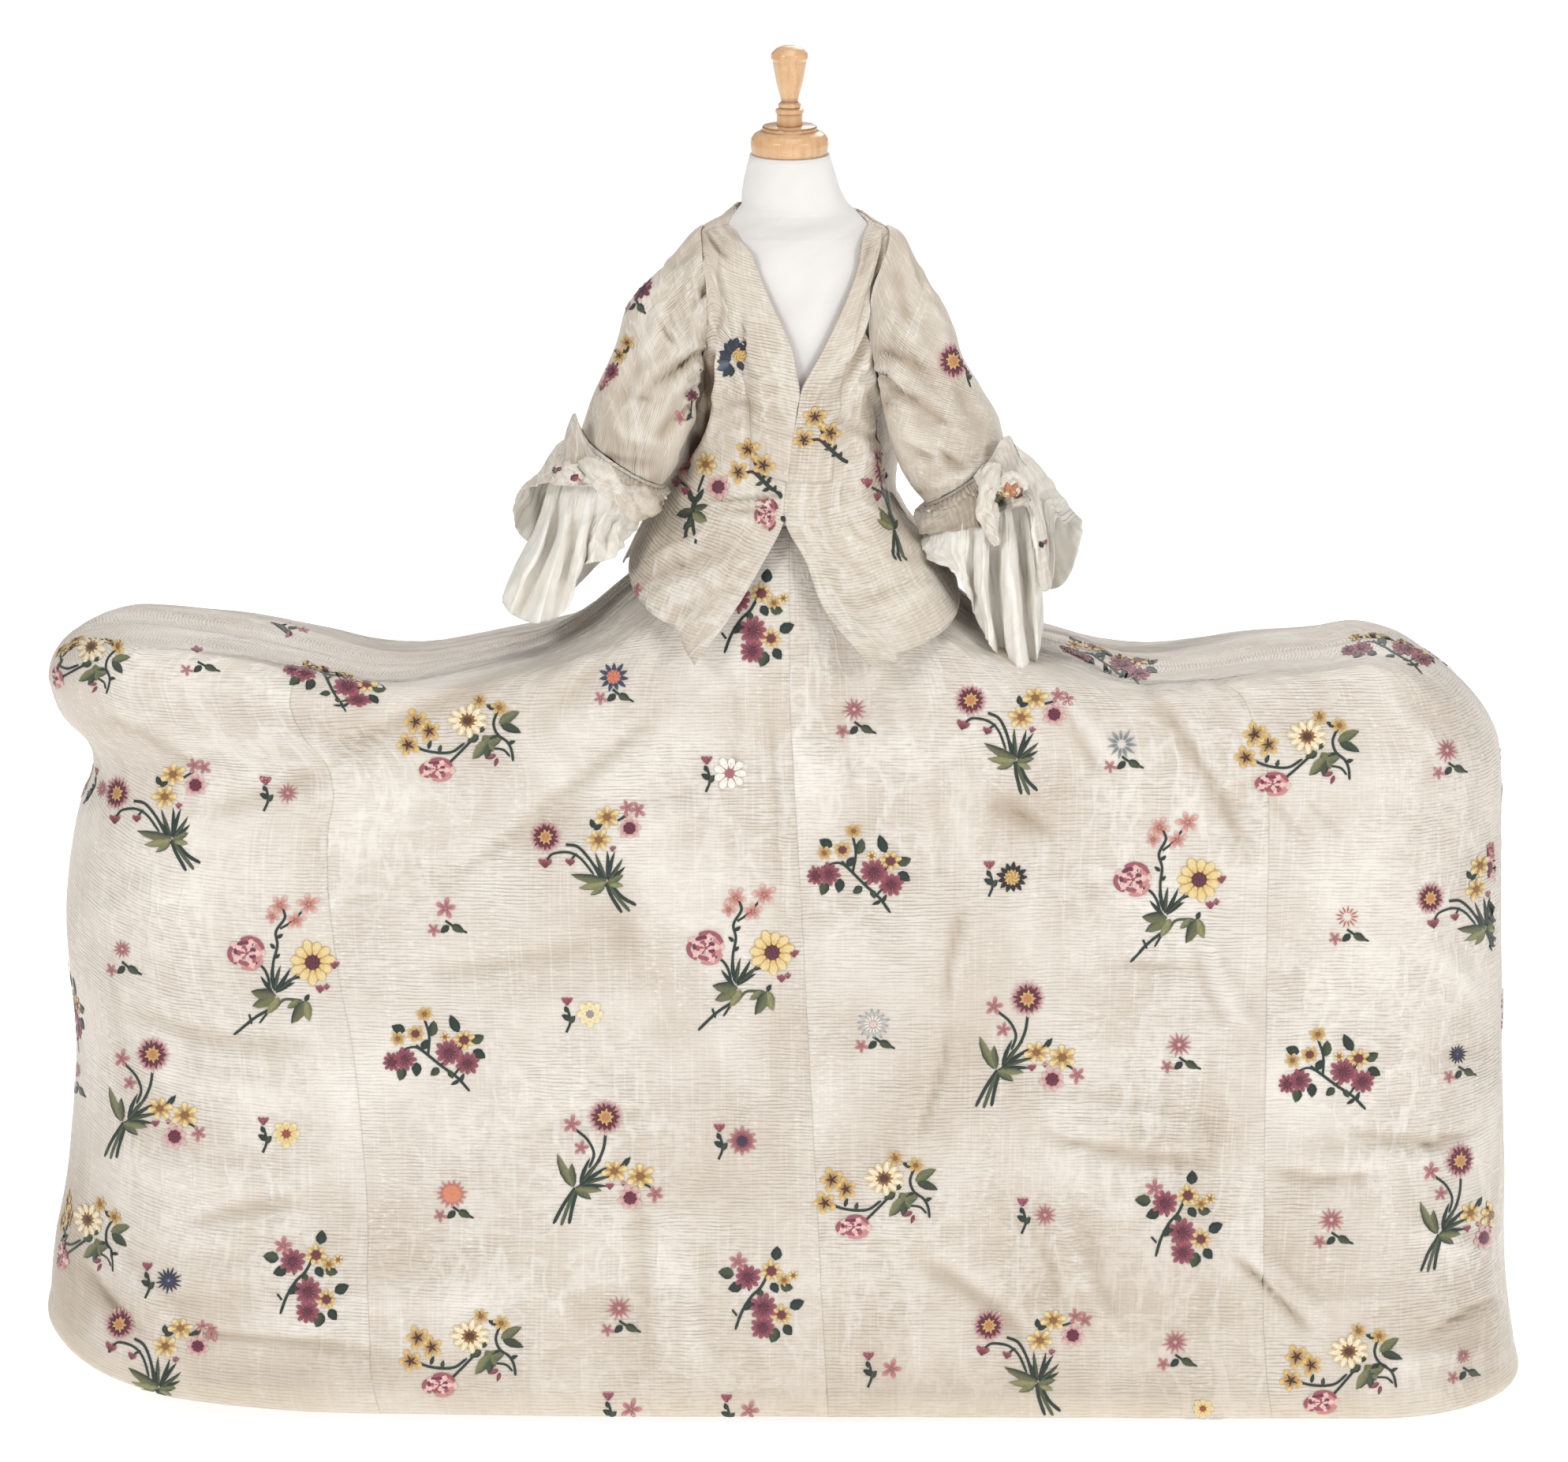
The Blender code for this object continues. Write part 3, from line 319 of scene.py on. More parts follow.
# Turned profiles, from the top down the outer side: radius and height.
FINIAL = table("""
    radius height
    0.0070 1.5700
    0.0150 1.5670
    0.0205 1.5615
    0.0212 1.5560
    0.0190 1.5530
    0.0190 1.5500
    0.0150 1.5280
    0.0092 1.5065
    0.0128 1.5035
    0.0130 1.5005
    0.0112 1.4992
    0.0160 1.4972
    0.0162 1.4940
    0.0146 1.4920
    0.0146 1.4790
""")
NECK_CAP = table("""
    radius height
    0.0300 1.4787
    0.0312 1.4770
    0.0312 1.4745
    0.0335 1.4725
    0.0400 1.4690
    0.0436 1.4640
    0.0445 1.4580
    0.0436 1.4500
    0.0425 1.4463
""")


# ---------------------------------------------------------------- numbers

def at(columns, key, name, value):
    """Smooth reading of a table's column at any value of its key column."""
    x, y = columns[key], columns[name]
    slope = np.gradient(y, x)
    value = np.clip(value, x[0], x[-1])
    low = np.clip(np.searchsorted(x, value, side="right") - 1, 0, len(x) - 2)
    step = x[low + 1] - x[low]
    t = (value - x[low]) / step
    start = (1 + 2 * t) * (1 - t) ** 2 * y[low] + t * (1 - t) ** 2 * step * slope[low]
    end = t**2 * (3 - 2 * t) * y[low + 1] - t**2 * (1 - t) * step * slope[low + 1]
    return start + end


def sided(columns, key, value, side, blend):
    """The left or the right column, blended where the side crosses zero."""
    right = 0.5 + 0.5 * np.tanh(side / blend)
    return at(columns, key, "left", value) * (1 - right) + at(columns, key, "right", value) * right


def smooth_step(value):
    value = np.clip(value, 0, 1)
    return value * value * (3 - 2 * value)


# ---------------------------------------------------------------- petticoat surface

def half_girths():
    """Length of the hem from centre front to centre back, on the left and on the right."""
    turn = math.pi * HEM_CORNER + 2 * (HEM_HALF_DEPTH - HEM_CORNER)
    return [2 * (PETTICOAT_SIDES[side][0] - HEM_CORNER) + turn for side, _ in SIDES]


def outline(girth, half_width, half_depth, corner):
    """Plan point of a rounded rectangle where the thread with this girth at the hem runs."""
    run = np.abs(girth)
    hem_half = np.where(girth < 0, PETTICOAT_SIDES["left"][0], PETTICOAT_SIDES["right"][0])
    flat = hem_half - HEM_CORNER
    turn = 0.5 * math.pi * HEM_CORNER
    end = 2 * (HEM_HALF_DEPTH - HEM_CORNER)
    whole = 2 * (flat + turn) + end
    back = run > whole / 2
    run = np.where(back, whole - run, run)
    front = np.clip(run / flat, 0, 1)
    angle = np.clip((run - flat) / HEM_CORNER, 0, math.pi / 2)
    beyond = np.clip((run - flat - turn) / (end / 2), 0, 1)
    x = front * (half_width - corner) + corner * np.sin(angle)
    y = -half_depth + corner * (1 - np.cos(angle)) + beyond * (half_depth - corner)
    return np.sign(girth) * x, np.where(back, -y, y)


def top_height(x, y):
    reach = np.sqrt(x**2 + (TOP_FLATTENING * y) ** 2)
    return sided(PETTICOAT_TOP, "reach", reach, x, 0.05)


def rim_reading(girth, name):
    """A column of the rim's table, for threads of the front and of the back alike."""
    half_left, half_right = half_girths()
    run = np.abs(girth)
    whole = np.where(girth < 0, half_left, half_right)
    return at(PETTICOAT_RIM, "across", name, np.minimum(run, whole - run))


def rim_point(girth):
    half_width = np.where(girth < 0, PETTICOAT_SIDES["left"][-1], PETTICOAT_SIDES["right"][-1])
    x, y = outline(girth, half_width, rim_reading(girth, "half_depth"), RIM_CORNER)
    return np.stack([x, y, top_height(x, y)], -1)


def waist_point(girth):
    """Plan point at the waist: threads near the centre keep their place, the others crowd to the sides."""
    half_left, half_right = half_girths()
    half = np.where(girth < 0, half_left, half_right)
    run = np.abs(girth)
    back = run > half / 2
    run = np.where(back, half - run, run)
    full = 1 - np.exp(-half / 2 / WAIST_SPREAD)
    angle = 0.5 * math.pi * (1 - np.exp(-run / WAIST_SPREAD)) / full
    x = np.sign(girth) * WAIST_HALF_WIDTH * np.sin(angle)
    y = -WAIST_HALF_DEPTH * np.cos(angle)
    return x, np.where(back, -y, y)


def hanging_point(girth, share):
    """Point on the part that hangs from the rim, from the hem (0) to the rim (1)."""
    rim = rim_point(girth)
    hem = HEM_HEIGHT + at(HEM_LIFT, "girth", "lift", girth)
    height = hem + (rim[..., 2] - hem) * share
    half_width = np.where(
        girth < 0,
        at(PETTICOAT_SIDES, "height", "left", height),
        at(PETTICOAT_SIDES, "height", "right", height),
    )
    rim_depth = rim_reading(girth, "half_depth")
    half_depth = rim_depth + (HEM_HALF_DEPTH - rim_depth) * (1 - share)
    corner = RIM_CORNER + (HEM_CORNER - RIM_CORNER) * (1 - share)
    x, y = outline(girth, half_width, half_depth, corner)
    return np.stack([x, y, height], -1)


def lying_point(girth, share):
    """Point on the top, from the rim (0) to the waist (1)."""
    rim = rim_point(girth)
    x_waist, y_waist = waist_point(girth)
    x = rim[..., 0] + (x_waist - rim[..., 0]) * share
    y = rim[..., 1] + (y_waist - rim[..., 1]) * share
    return np.stack([x, y, top_height(x, y)], -1)


def smooth_petticoat(girth, row):
    """Petticoat without folds. Rows 0 to 1 hang, 1 to 2 turn over the rim, and 2 to 3 lie on the top."""
    rim = rim_point(girth)
    length = rim_reading(girth, "turn")
    hanging = rim[..., 2] - HEM_HEIGHT
    x_waist, y_waist = waist_point(girth)
    lying = np.hypot(x_waist - rim[..., 0], y_waist - rim[..., 1])
    turn_low = 1 - length / hanging
    turn_high = np.minimum(length / np.maximum(lying, 1e-6), 0.8)
    lower = hanging_point(girth, np.clip(row, 0, 1) * turn_low)
    upper = lying_point(girth, turn_high + (1 - turn_high) * np.clip(row - 2, 0, 1))
    t = np.clip(row - 1, 0, 1)[..., None]
    start = hanging_point(girth, turn_low)
    end = lying_point(girth, turn_high)
    turned = (1 - t) ** 2 * start + 2 * t * (1 - t) * rim + t**2 * end
    row = row[..., None]
    return np.where(row < 1, lower, np.where(row > 2, upper, turned))


def fold_depth(girth, height):
    """How far the folds stand out of the smooth cloth."""
    total = np.zeros_like(girth)
    for low, high, place, drift, width, depth in zip(
        *(PETTICOAT_FOLDS[name] for name in ("low", "high", "girth", "drift", "width", "depth"))
    ):
        share = np.clip((height - low) / (high - low), 0, 1)
        bump = np.sin(math.pi * share)
        total += depth * bump * np.exp(-(((girth - place - drift * share) / width) ** 2))
    return total


def petticoat_frame(girth, row):
    """Points on the outer face, unit normals there, and how far apart threads lie for each metre of girth."""
    small = 1e-4
    point = smooth_petticoat(girth, row)
    along = (smooth_petticoat(girth + small, row) - smooth_petticoat(girth - small, row)) / (2 * small)
    above, below = np.minimum(row + small, 3), np.maximum(row - small, 0)
    up = smooth_petticoat(girth, above) - smooth_petticoat(girth, below)
    up /= np.maximum(np.linalg.norm(up, axis=-1, keepdims=True), 1e-12)
    normal = np.cross(along, up)
    spacing = np.linalg.norm(normal, axis=-1)
    normal /= np.maximum(spacing, 1e-12)[..., None]
    return point + normal * fold_depth(girth, point[..., 2])[..., None], normal, spacing


# ---------------------------------------------------------------- jacket surface

def jacket_squareness(height):
    """Exponent of the plan: 1 is an ellipse, and the skirt is squarer so as to lie over the petticoat."""
    return 1 - SKIRT_SQUARENESS * smooth_step((1.050 - height) / 0.120)


def jacket_point(angle, height):
    """Outer face by the angle round the body from centre front, positive to the right."""
    power = jacket_squareness(height)
    side, front = np.sin(angle), np.cos(angle)
    half = sided(JACKET, "height", height, side, 0.25)
    depth = np.where(front > 0, at(JACKET, "height", "front", height), at(JACKET, "height", "back", height))
    x = half * np.sign(side) * np.abs(side) ** power
    y = -depth * np.sign(front) * np.abs(front) ** power
    return np.stack([x, y, height], -1)


def angle_at(x, height, side):
    half = at(JACKET, "height", "left" if side < 0 else "right", height)
    share = np.clip(np.abs(x / half), 0, 1) ** (1 / jacket_squareness(height))
    return np.sign(x) * np.arcsin(share)


def armhole_angle(height, face):
    share = np.where(
        (height > ARMHOLE_TOP) | (height < ARMHOLE_BOTTOM), 1.0, at(ARMHOLE, "height", face, height)
    )
    return np.arcsin(np.clip(share, 0, 1))


def shoulder_line(share, side):
    """Neck point (0) to the top of the armhole (1), along the top of the shoulder."""
    name = "left" if side < 0 else "right"
    heights = np.linspace(ARMHOLE_TOP, JACKET["height"][-1], 24)
    widths = at(JACKET, "height", name, heights)
    target = widths[-1] + (widths[0] - widths[-1]) * share
    return np.interp(target, widths[::-1], heights[::-1])


def clear_of_petticoat(grid):
    """The skirt of the jacket rides outside the petticoat's top wherever that rises under it."""
    push = np.ones(grid.shape[:2])
    for _ in range(60):
        x, y = grid[..., 0] * push, grid[..., 1] * push
        push += 0.004 * (grid[..., 2] < top_height(x, y) + PEPLUM_CLEARANCE)
    for _ in range(3):
        edged = np.pad(push, 1, mode="edge")
        push = np.maximum(push, 0.5 * edged[1:-1, 1:-1] + 0.25 * (edged[1:-1, :-2] + edged[1:-1, 2:]))
    grid[..., :2] *= push[..., None]
    return grid


def moved_out(grid, distance, side):
    """The same points moved out from the body along the surface's normal."""
    down = np.gradient(grid, axis=0)
    across = np.gradient(grid, axis=1)
    normal = np.cross(down, across)
    normal /= np.linalg.norm(normal, axis=-1, keepdims=True)
    return grid + normal * distance * side


FRONT_TURN, BACK_TURN = 0.035, 0.05  # below the shoulder's top over which the cloth turns off it
SACK_FREED = 0.09  # below the neck over which the sack comes free of the body
SACK_STEPS = (0.18, 0.34)  # of its pleats from the middle of each half, as shares of the sack's half width
SACK_STEP_WIDTH = 0.06
# Places of the fronts' columns and rows, and of the back's, as shares of their width and length.
FRONT_ACROSS = np.array([0, 0.15, 0.30, 0.45, 0.59, 0.73, 0.87, 1.0])
FRONT_DOWN = np.array([0, 0.035, 0.075, 0.13, 0.20, 0.29, 0.38, 0.44, 0.52, 0.61, 0.70, 0.78, 0.89, 1.0])
ROBING_SHARE = 0.45  # of the fronts' columns that lie under the robing
BACK_REACH = np.array([1, 0.93, 0.85, 0.76, 0.67, 0.60, 0.52, 0.485, 0.42, 0.39, 0.21, 0.18, 0.115, 0.08, 0])
BACK_ACROSS = np.concatenate([-BACK_REACH, BACK_REACH[-2::-1]])
BACK_DOWN = np.array([0, 0.04, 0.09, 0.17, 0.28, 0.40, 0.47, 0.56, 0.66, 0.78, 0.89, 1.0])
NECK_SHARE = 0.60  # of the back's top edge that lies along the neck
AT_SIDE = 1.55  # angle from which a column lies at the side seam
AT_TOP = 0.999


def front_grid(side):
    """Rows from shoulder to hem, columns from the front edge over the robing to the armhole and side seam."""
    name = "left" if side < 0 else "right"
    across, down = FRONT_ACROSS[None, :], FRONT_DOWN[:, None]
    top = shoulder_line(across, side)
    hem = at(FRONT_HEM, "across", name, across)
    height = top + (hem - top) * down
    edge = angle_at(np.interp(height, FRONT_EDGE["height"], FRONT_EDGE[name]), height, side)
    robing_x = np.interp(height, FRONT_EDGE["height"], FRONT_EDGE[name + "_robing"])
    robing = angle_at(robing_x, height, side)
    outer = side * armhole_angle(height, "front")
    inner_part = edge + (robing - edge) * across / ROBING_SHARE
    outer_part = robing + (outer - robing) * (across - ROBING_SHARE) / (1 - ROBING_SHARE)
    angle = np.where(across < ROBING_SHARE, inner_part, outer_part)
    near_top = 1 - smooth_step((top - height) / FRONT_TURN)
    angle = angle + (side * math.pi / 2 - angle) * near_top
    grid = clear_of_petticoat(jacket_point(angle, height))
    at_seam = (np.abs(angle) > AT_SIDE) | (near_top > AT_TOP)
    grid[..., 1] -= SEAM_GAP / 2 * at_seam
    return grid


def back_grid():
    """Rows from the neck to the hem, columns from the left side seam round to the right."""
    across = BACK_ACROSS[None, :]
    side = np.where(across < 0, -1, 1)
    reach = np.abs(across)
    top_share = np.clip((reach - NECK_SHARE) / (1 - NECK_SHARE), 0, 1)
    top = np.where(across < 0, shoulder_line(top_share, -1), shoulder_line(top_share, 1))
    hem = at(BACK_HEM, "across", "height", reach)
    height = top + (hem - top) * BACK_DOWN[:, None]
    armhole = math.pi - armhole_angle(height, "back")
    angle = math.pi - reach * (math.pi - armhole)
    top_angle = math.pi - 0.5 * math.pi * np.clip(reach / NECK_SHARE, 0, 1)
    near_top = 1 - smooth_step((top - height) / BACK_TURN)
    angle = angle + (top_angle - angle) * near_top
    grid = jacket_point(side * angle, height)
    free = 1 - smooth_step((reach - SACK_EDGE) / (1 - SACK_EDGE))
    free = free * smooth_step((top - height) / SACK_FREED)
    place = np.minimum(reach / SACK_EDGE, 1.15)
    sack_x = side * place * at(SACK, "height", "half_width", height)
    sack_y = at(SACK, "height", "depth", height) * (1 - 0.10 * place**4)
    grid[..., 0] += (sack_x - grid[..., 0]) * free
    grid[..., 1] = np.maximum(grid[..., 1], grid[..., 1] + (sack_y - grid[..., 1]) * free)
    from_middle = np.abs(reach / SACK_EDGE - 0.5)
    steps = sum(1 - smooth_step((from_middle - step) / SACK_STEP_WIDTH) for step in SACK_STEPS)
    grid[..., 1] += SACK_PLEAT_STEP * steps * smooth_step((top - height) / 0.03)
    grid = clear_of_petticoat(grid)
    grid[..., 1] += SEAM_GAP / 2 * ((reach > 0.99) | (near_top > AT_TOP))
    return grid


# ---------------------------------------------------------------- sleeves and cuffs

def elbow(side):
    row = list(ELBOW["side"]).index(side)
    return {name: ELBOW[name][row] for name in ELBOW}


def elbow_ring(side, angle, grow=0.0, along=0.0):
    """Ring at the sleeve's lower edge by the angle from the arm's outer side through the front.
    It grows outwards, and moves along the arm away from the shoulder."""
    ring = elbow(side)
    outward = np.array([ring["out_x"], 0, ring["out_z"]])
    down = np.array([side * abs(ring["out_z"]), 0, -abs(ring["out_x"])])
    centre = np.array([ring["x"], ring["y"], ring["z"]]) + down * along
    angle = np.asarray(angle)[..., None]
    forward = np.array([0, -1.0, 0])
    return (
        centre
        + outward * (ring["radius"] + grow) * np.cos(angle)
        + forward * (ring["depth"] + grow) * np.sin(angle)
    )


def armhole_ring(side, angle):
    """The armhole's edge from the shoulder (0) down the front, under the arm and up the back."""
    middle = 0.5 * (ARMHOLE_TOP + ARMHOLE_BOTTOM)
    height = middle + 0.5 * (ARMHOLE_TOP - ARMHOLE_BOTTOM) * np.cos(angle)
    front = np.sin(angle) >= 0
    share = np.where(
        front, at(ARMHOLE, "height", "front", height), at(ARMHOLE, "height", "back", height)
    )
    around = np.arcsin(np.clip(share, 0, 1))
    around = np.where(front, around, math.pi - around)
    ring = jacket_point(side * around, height)
    out = side * np.where(front, ARMHOLE_CLEARANCE, ARMHOLE_CLEARANCE_BACK)
    return ring + np.stack([out, 0 * height, ARMHOLE_CLEARANCE * np.cos(angle)], -1)


def sleeve_grid(side):
    puff = SLEEVE_PUFF_LEFT if side < 0 else SLEEVE_PUFF_RIGHT
    angle = np.arange(SLEEVE_AROUND) * 2 * math.pi / SLEEVE_AROUND
    top, bottom = armhole_ring(side, angle), elbow_ring(side, angle)
    rings = []
    for share in SLEEVE_RINGS:
        ring = top + (bottom - top) * share
        outward = ring - ring.mean(0)
        outward /= np.linalg.norm(outward, axis=1, keepdims=True)
        fullness = puff * math.sin(math.pi * share) ** 0.6 if 0 < share < 1 else 0
        under = UNDER_FULLNESS + (1 - UNDER_FULLNESS) * (0.5 + 0.5 * np.cos(angle))[:, None]
        facing = np.clip(np.cos(angle - math.radians(SLEEVE_HOLLOW)), 0, 1)
        before_body = facing ** 2 * math.sin(math.pi * share)
        ring = ring + outward * fullness * under
        ring[:, 0] -= side * INNER_FULLNESS * before_body
        rings.append(ring)
    return np.array(rings)


def radial(side, angle):
    ring = elbow_ring(side, angle)
    outward = ring - ring.mean(0)
    return outward / np.linalg.norm(outward, axis=1, keepdims=True)


# ---------------------------------------------------------------- creases

def noise(x, y, seed):
    """Smooth noise between -1 and 1 that takes a new value at each whole number."""

    def corner(i, j):
        value = np.sin(i * 127.1 + j * 311.7 + seed * 74.7) * 43758.5453
        return 2 * (value - np.floor(value)) - 1

    i, j = np.floor(x), np.floor(y)
    s, t = smooth_step(x - i), smooth_step(y - j)
    low = corner(i, j) * (1 - s) + corner(i + 1, j) * s
    high = corner(i, j + 1) * (1 - s) + corner(i + 1, j + 1) * s
    return low * (1 - t) + high * t


CREASE_WIDTH = 0.68  # of a crease's profile for each pixel of its width
CREASE_END = 0.28  # share of its length over which it rises at each end
CREASE_FALL = 0.40  # depth of the fall on its other side, as a share of its own
CREASE_DEPTH = 0.0014  # in metres, of a crease whose depth in the tables is 1


def crease_height(picture, rows):
    """Height in metres of a table's creases at places in the picture. Each crease runs between two places,
    bends to its left, and has a shallow fall on its other side, as folded silk does. Widths are in pixels."""
    total = np.zeros(picture.shape[:-1])
    for index in range(len(rows["width"])):
        row = {name: values[index] for name, values in rows.items()}
        start = np.array([row["x0"], row["y0"]])
        along = np.array([row["x1"], row["y1"]]) - start
        length = np.linalg.norm(along)
        along /= length
        offset = picture - start
        share = offset @ along / length
        inside = np.clip(share, 0, 1)
        aside = offset @ np.array([along[1], -along[0]]) - row["bend"] * 4 * inside * (1 - inside)
        aside = aside / (CREASE_WIDTH * row["width"] * (1 + 0.35 * noise(share * 4, index + 0 * share, 3)))
        ends = smooth_step(share / CREASE_END) * smooth_step((1 - share) / CREASE_END)
        profile = np.exp(-(aside**2)) - CREASE_FALL * np.exp(-(((aside - 1.7) / 1.2) ** 2))
        total += CREASE_DEPTH * row["depth"] * ends * profile
    return total


# On the petticoat's front. The same ones turned round serve its back.
PETTICOAT_CREASES = table("""
    x0 y0 x1 y1 bend width depth
    545 1135 870 870 -8 17 -2.8
    400 978 650 852 8 20 -2.6
    230 1035 440 958 -10 22 -2.2
    640 1085 745 1015 0 13 -1.8
    700 1110 930 1000 6 20 2.0
    505 1238 790 1186 -8 17 -2.2
    600 1295 900 1262 8 20 1.4
    130 1262 430 1322 -24 18 -2.2
    150 1330 410 1390 -16 16 1.6
    115 1175 270 1112 10 22 1.8
    120 1440 360 1500 -20 22 2.0
    215 1562 400 1522 10 14 -2.4
    140 1625 360 1600 -12 20 1.6
    185 1690 510 1722 8 14 -2.6
    95 1585 190 1705 -6 18 -2.6
    120 1560 240 1690 -6 16 2.2
    420 1655 650 1640 6 20 1.6
    925 826 936 1015 3 6 -1.8
    974 870 986 1170 2 7 -1.8
    903 990 914 1170 2 15 1.6
    950 1230 962 1420 3 14 1.2
    800 1470 822 1765 5 17 -1.6
    868 1550 884 1750 -3 16 1.6
    700 1600 720 1700 0 14 1.0
    650 1440 860 1405 6 20 -1.2
    760 820 640 900 8 20 2.4
    850 800 700 960 6 18 2.0
    300 870 470 905 6 22 1.8
    110 905 260 985 12 16 -2.0
    1062 890 1080 1020 3 8 -1.7
    1128 850 1150 980 2 12 1.4
    1166 980 1178 1140 3 13 2.2
    1231 1130 1201 1290 -9 10 -2.6
    1206 1280 1157 1455 10 10 -2.4
    1240 1005 1345 1068 5 22 -2.8
    1343 876 1402 990 -5 12 -2.4
    1300 840 1440 1000 8 18 2.0
    1436 850 1596 1118 14 17 -3.4
    1500 850 1640 985 6 20 2.0
    1556 1000 1602 1056 0 9 -1.9
    1606 1003 1656 1070 0 9 -1.9
    1652 1008 1704 1064 0 9 -1.5
    1532 1180 1607 1325 -13 11 2.9
    1516 1190 1562 1310 -10 10 -2.2
    1395 1221 1525 1229 2 10 -2.4
    1360 1085 1388 1258 2 10 2.2
    1290 1425 1565 1474 -12 14 -2.8
    1280 1396 1545 1440 8 14 1.8
    1440 1385 1449 1455 0 6 -1.5
    1474 1390 1482 1468 0 6 -1.6
    1528 1400 1542 1480 0 7 -1.6
    1596 1477 1765 1483 -14 10 -2.6
    1745 1486 1900 1424 6 10 -2.6
    1600 1462 1885 1452 -12 12 2.2
    1685 1425 1865 1448 -10 14 -2.0
    1335 1490 1427 1700 -18 15 3.2
    1140 1590 1310 1712 14 20 -3.0
    1550 1580 1670 1700 4 9 -3.6
    1572 1572 1700 1692 4 10 2.2
    1312 1545 1348 1655 0 12 -1.7
    1640 1650 1800 1640 -6 14 1.8
    1760 1560 1885 1600 8 18 2.0
    1800 1700 1915 1640 4 14 -2.4
    1700 1745 1900 1712 5 12 2.0
    1735 870 1850 985 8 18 2.2
    1790 1180 1880 1280 8 18 1.8
    1780 1350 1890 1330 6 16 -1.4
""")

# On the jacket's fronts and peplum.
# The deepest, at the armpits, also carry a dark painted shade through their tone.
JACKET_CREASES = table("""
    x0 y0 x1 y1 bend width depth
    888 632 1000 626 -3 5 -1.6
    890 640 1000 634 -3 6 1.4
    800 742 940 690 6 9 -1.5
    812 765 960 705 6 9 1.5
    818 716 900 676 4 8 1.4
    838 790 930 742 4 9 -1.2
    846 655 985 664 6 9 1.2
    900 505 985 530 4 9 -1.0
    895 560 960 545 3 10 1.2
    938 350 948 600 3 5 -0.9
    960 440 966 560 2 8 0.8
    1108 300 1092 360 0 6 -1.6
    1146 302 1106 400 6 7 1.8
    1130 300 1098 392 6 6 -1.8
    1110 388 1062 500 6 8 -2.0
    1122 400 1080 520 6 8 1.8
    1098 445 1125 520 -6 8 1.8
    1030 560 1090 500 5 10 1.2
    1050 520 1130 560 -5 9 -1.2
    1045 640 1140 660 6 12 1.2
    1020 700 1090 830 8 9 1.2
    1110 700 1200 720 6 12 -1.2
    1100 790 1200 740 5 12 1.4
    905 335 915 385 2 6 -1.4
    915 380 905 432 2 6 -1.2
    893 290 925 330 -3 5 -1.6
    905 282 932 312 -3 6 1.4
    1117 290 1100 352 3 5 2.0
    1136 300 1116 350 3 6 1.6
    835 700 905 760 8 6 -1.4
    872 655 990 648 4 6 -1.0
    1030 520 1075 470 4 6 -1.2
    1040 690 1130 760 6 10 -1.0
    902 440 897 522 3 7 -6.0
    898 508 866 600 4 8 -6.0
    1110 505 1132 590 -2 5 -4.0
    1120 292 1101 378 4 4 -2.4
    1130 296 1110 380 5 4 2.2
    1140 300 1118 386 5 4 -2.2
    1104 372 1064 470 8 5 2.0
    1118 392 1086 500 8 5 -2.0
    941 398 940 474 2 3 -1.8
    930 470 972 486 3 5 -0.9
    905 520 960 512 4 6 -0.9
    1055 660 1120 700 -5 7 1.1
    1080 770 1150 740 4 7 -1.2
    860 800 950 770 5 8 1.2
""")

# On the sleeves: gathers that spread from the armhole, and folds at the elbow.
# The deepest, at the left armpit, also carry a dark painted shade through their tone.
SLEEVE_CREASES = table("""
    x0 y0 x1 y1 bend width depth
    899 440 893 522 3 7 -7.0
    893 512 864 596 4 8 -7.0
    900 308 850 372 6 7 1.6
    908 318 868 400 7 7 -1.6
    912 330 890 420 6 7 1.8
    890 300 835 345 5 8 -1.4
    905 345 900 440 4 6 -1.6
    893 430 815 480 -8 12 2.0
    893 452 800 520 -8 12 -2.2
    890 478 818 548 -8 11 2.0
    888 506 830 570 -6 9 -1.8
    850 560 770 540 7 12 1.8
    840 590 760 575 6 10 -1.8
    842 372 800 470 8 14 1.6
    815 440 770 520 6 14 -1.4
    1145 305 1180 380 -6 8 1.4
    1138 330 1160 420 -6 8 -1.6
    1110 392 1175 440 6 10 1.8
    1102 440 1190 480 7 10 -2.4
    1104 462 1200 520 8 9 2.4
    1112 490 1170 512 3 7 -2.2
    1140 500 1215 560 8 10 -2.0
    1128 532 1200 600 8 12 2.0
    1140 575 1235 600 8 12 -1.8
    1165 612 1250 590 -6 10 1.8
    1190 400 1240 500 -8 15 1.6
    1215 470 1262 560 -8 14 -1.6
    898 320 862 360 4 5 -1.6
    902 330 880 392 5 5 -1.6
    896 438 866 452 -3 5 1.8
    894 446 858 470 -3 5 -1.8
    892 464 866 486 -3 5 1.6
    890 486 868 506 -3 5 -1.6
    888 498 862 528 -4 5 1.4
    1114 400 1150 420 3 5 -1.4
    1102 470 1146 503 5 6 -3.4
    1120 508 1150 520 3 6 2.4
    1105 452 1150 470 4 6 1.8
    1135 560 1190 590 5 7 -1.4
    860 480 820 500 -4 7 1.2
    780 500 850 520 5 8 -1.2
    835 400 862 440 -5 6 -1.6
    850 388 880 442 -4 6 1.6
    876 352 888 410 4 5 1.6
    868 350 842 398 5 5 -1.4
    820 470 862 452 5 7 1.4
    840 520 880 470 -5 6 -1.4
    1160 330 1190 392 -6 6 -1.4
    1172 352 1206 420 -7 7 1.4
    1120 420 1170 470 6 6 -1.6
    1180 540 1235 560 5 7 1.4
    1160 556 1215 592 5 6 -1.4
""")


def both_faces(points, rows, shift=(0.0, 0.0)):
    """The table's creases on the front half, and the same ones turned left to right and moved on the back."""
    front = crease_height(project(points), rows)
    turned = project(points, back=True) - np.array(shift)
    behind = smooth_step(points[..., 1] / 0.030 + 0.5)
    return front * (1 - behind) + crease_height(turned, rows) * behind


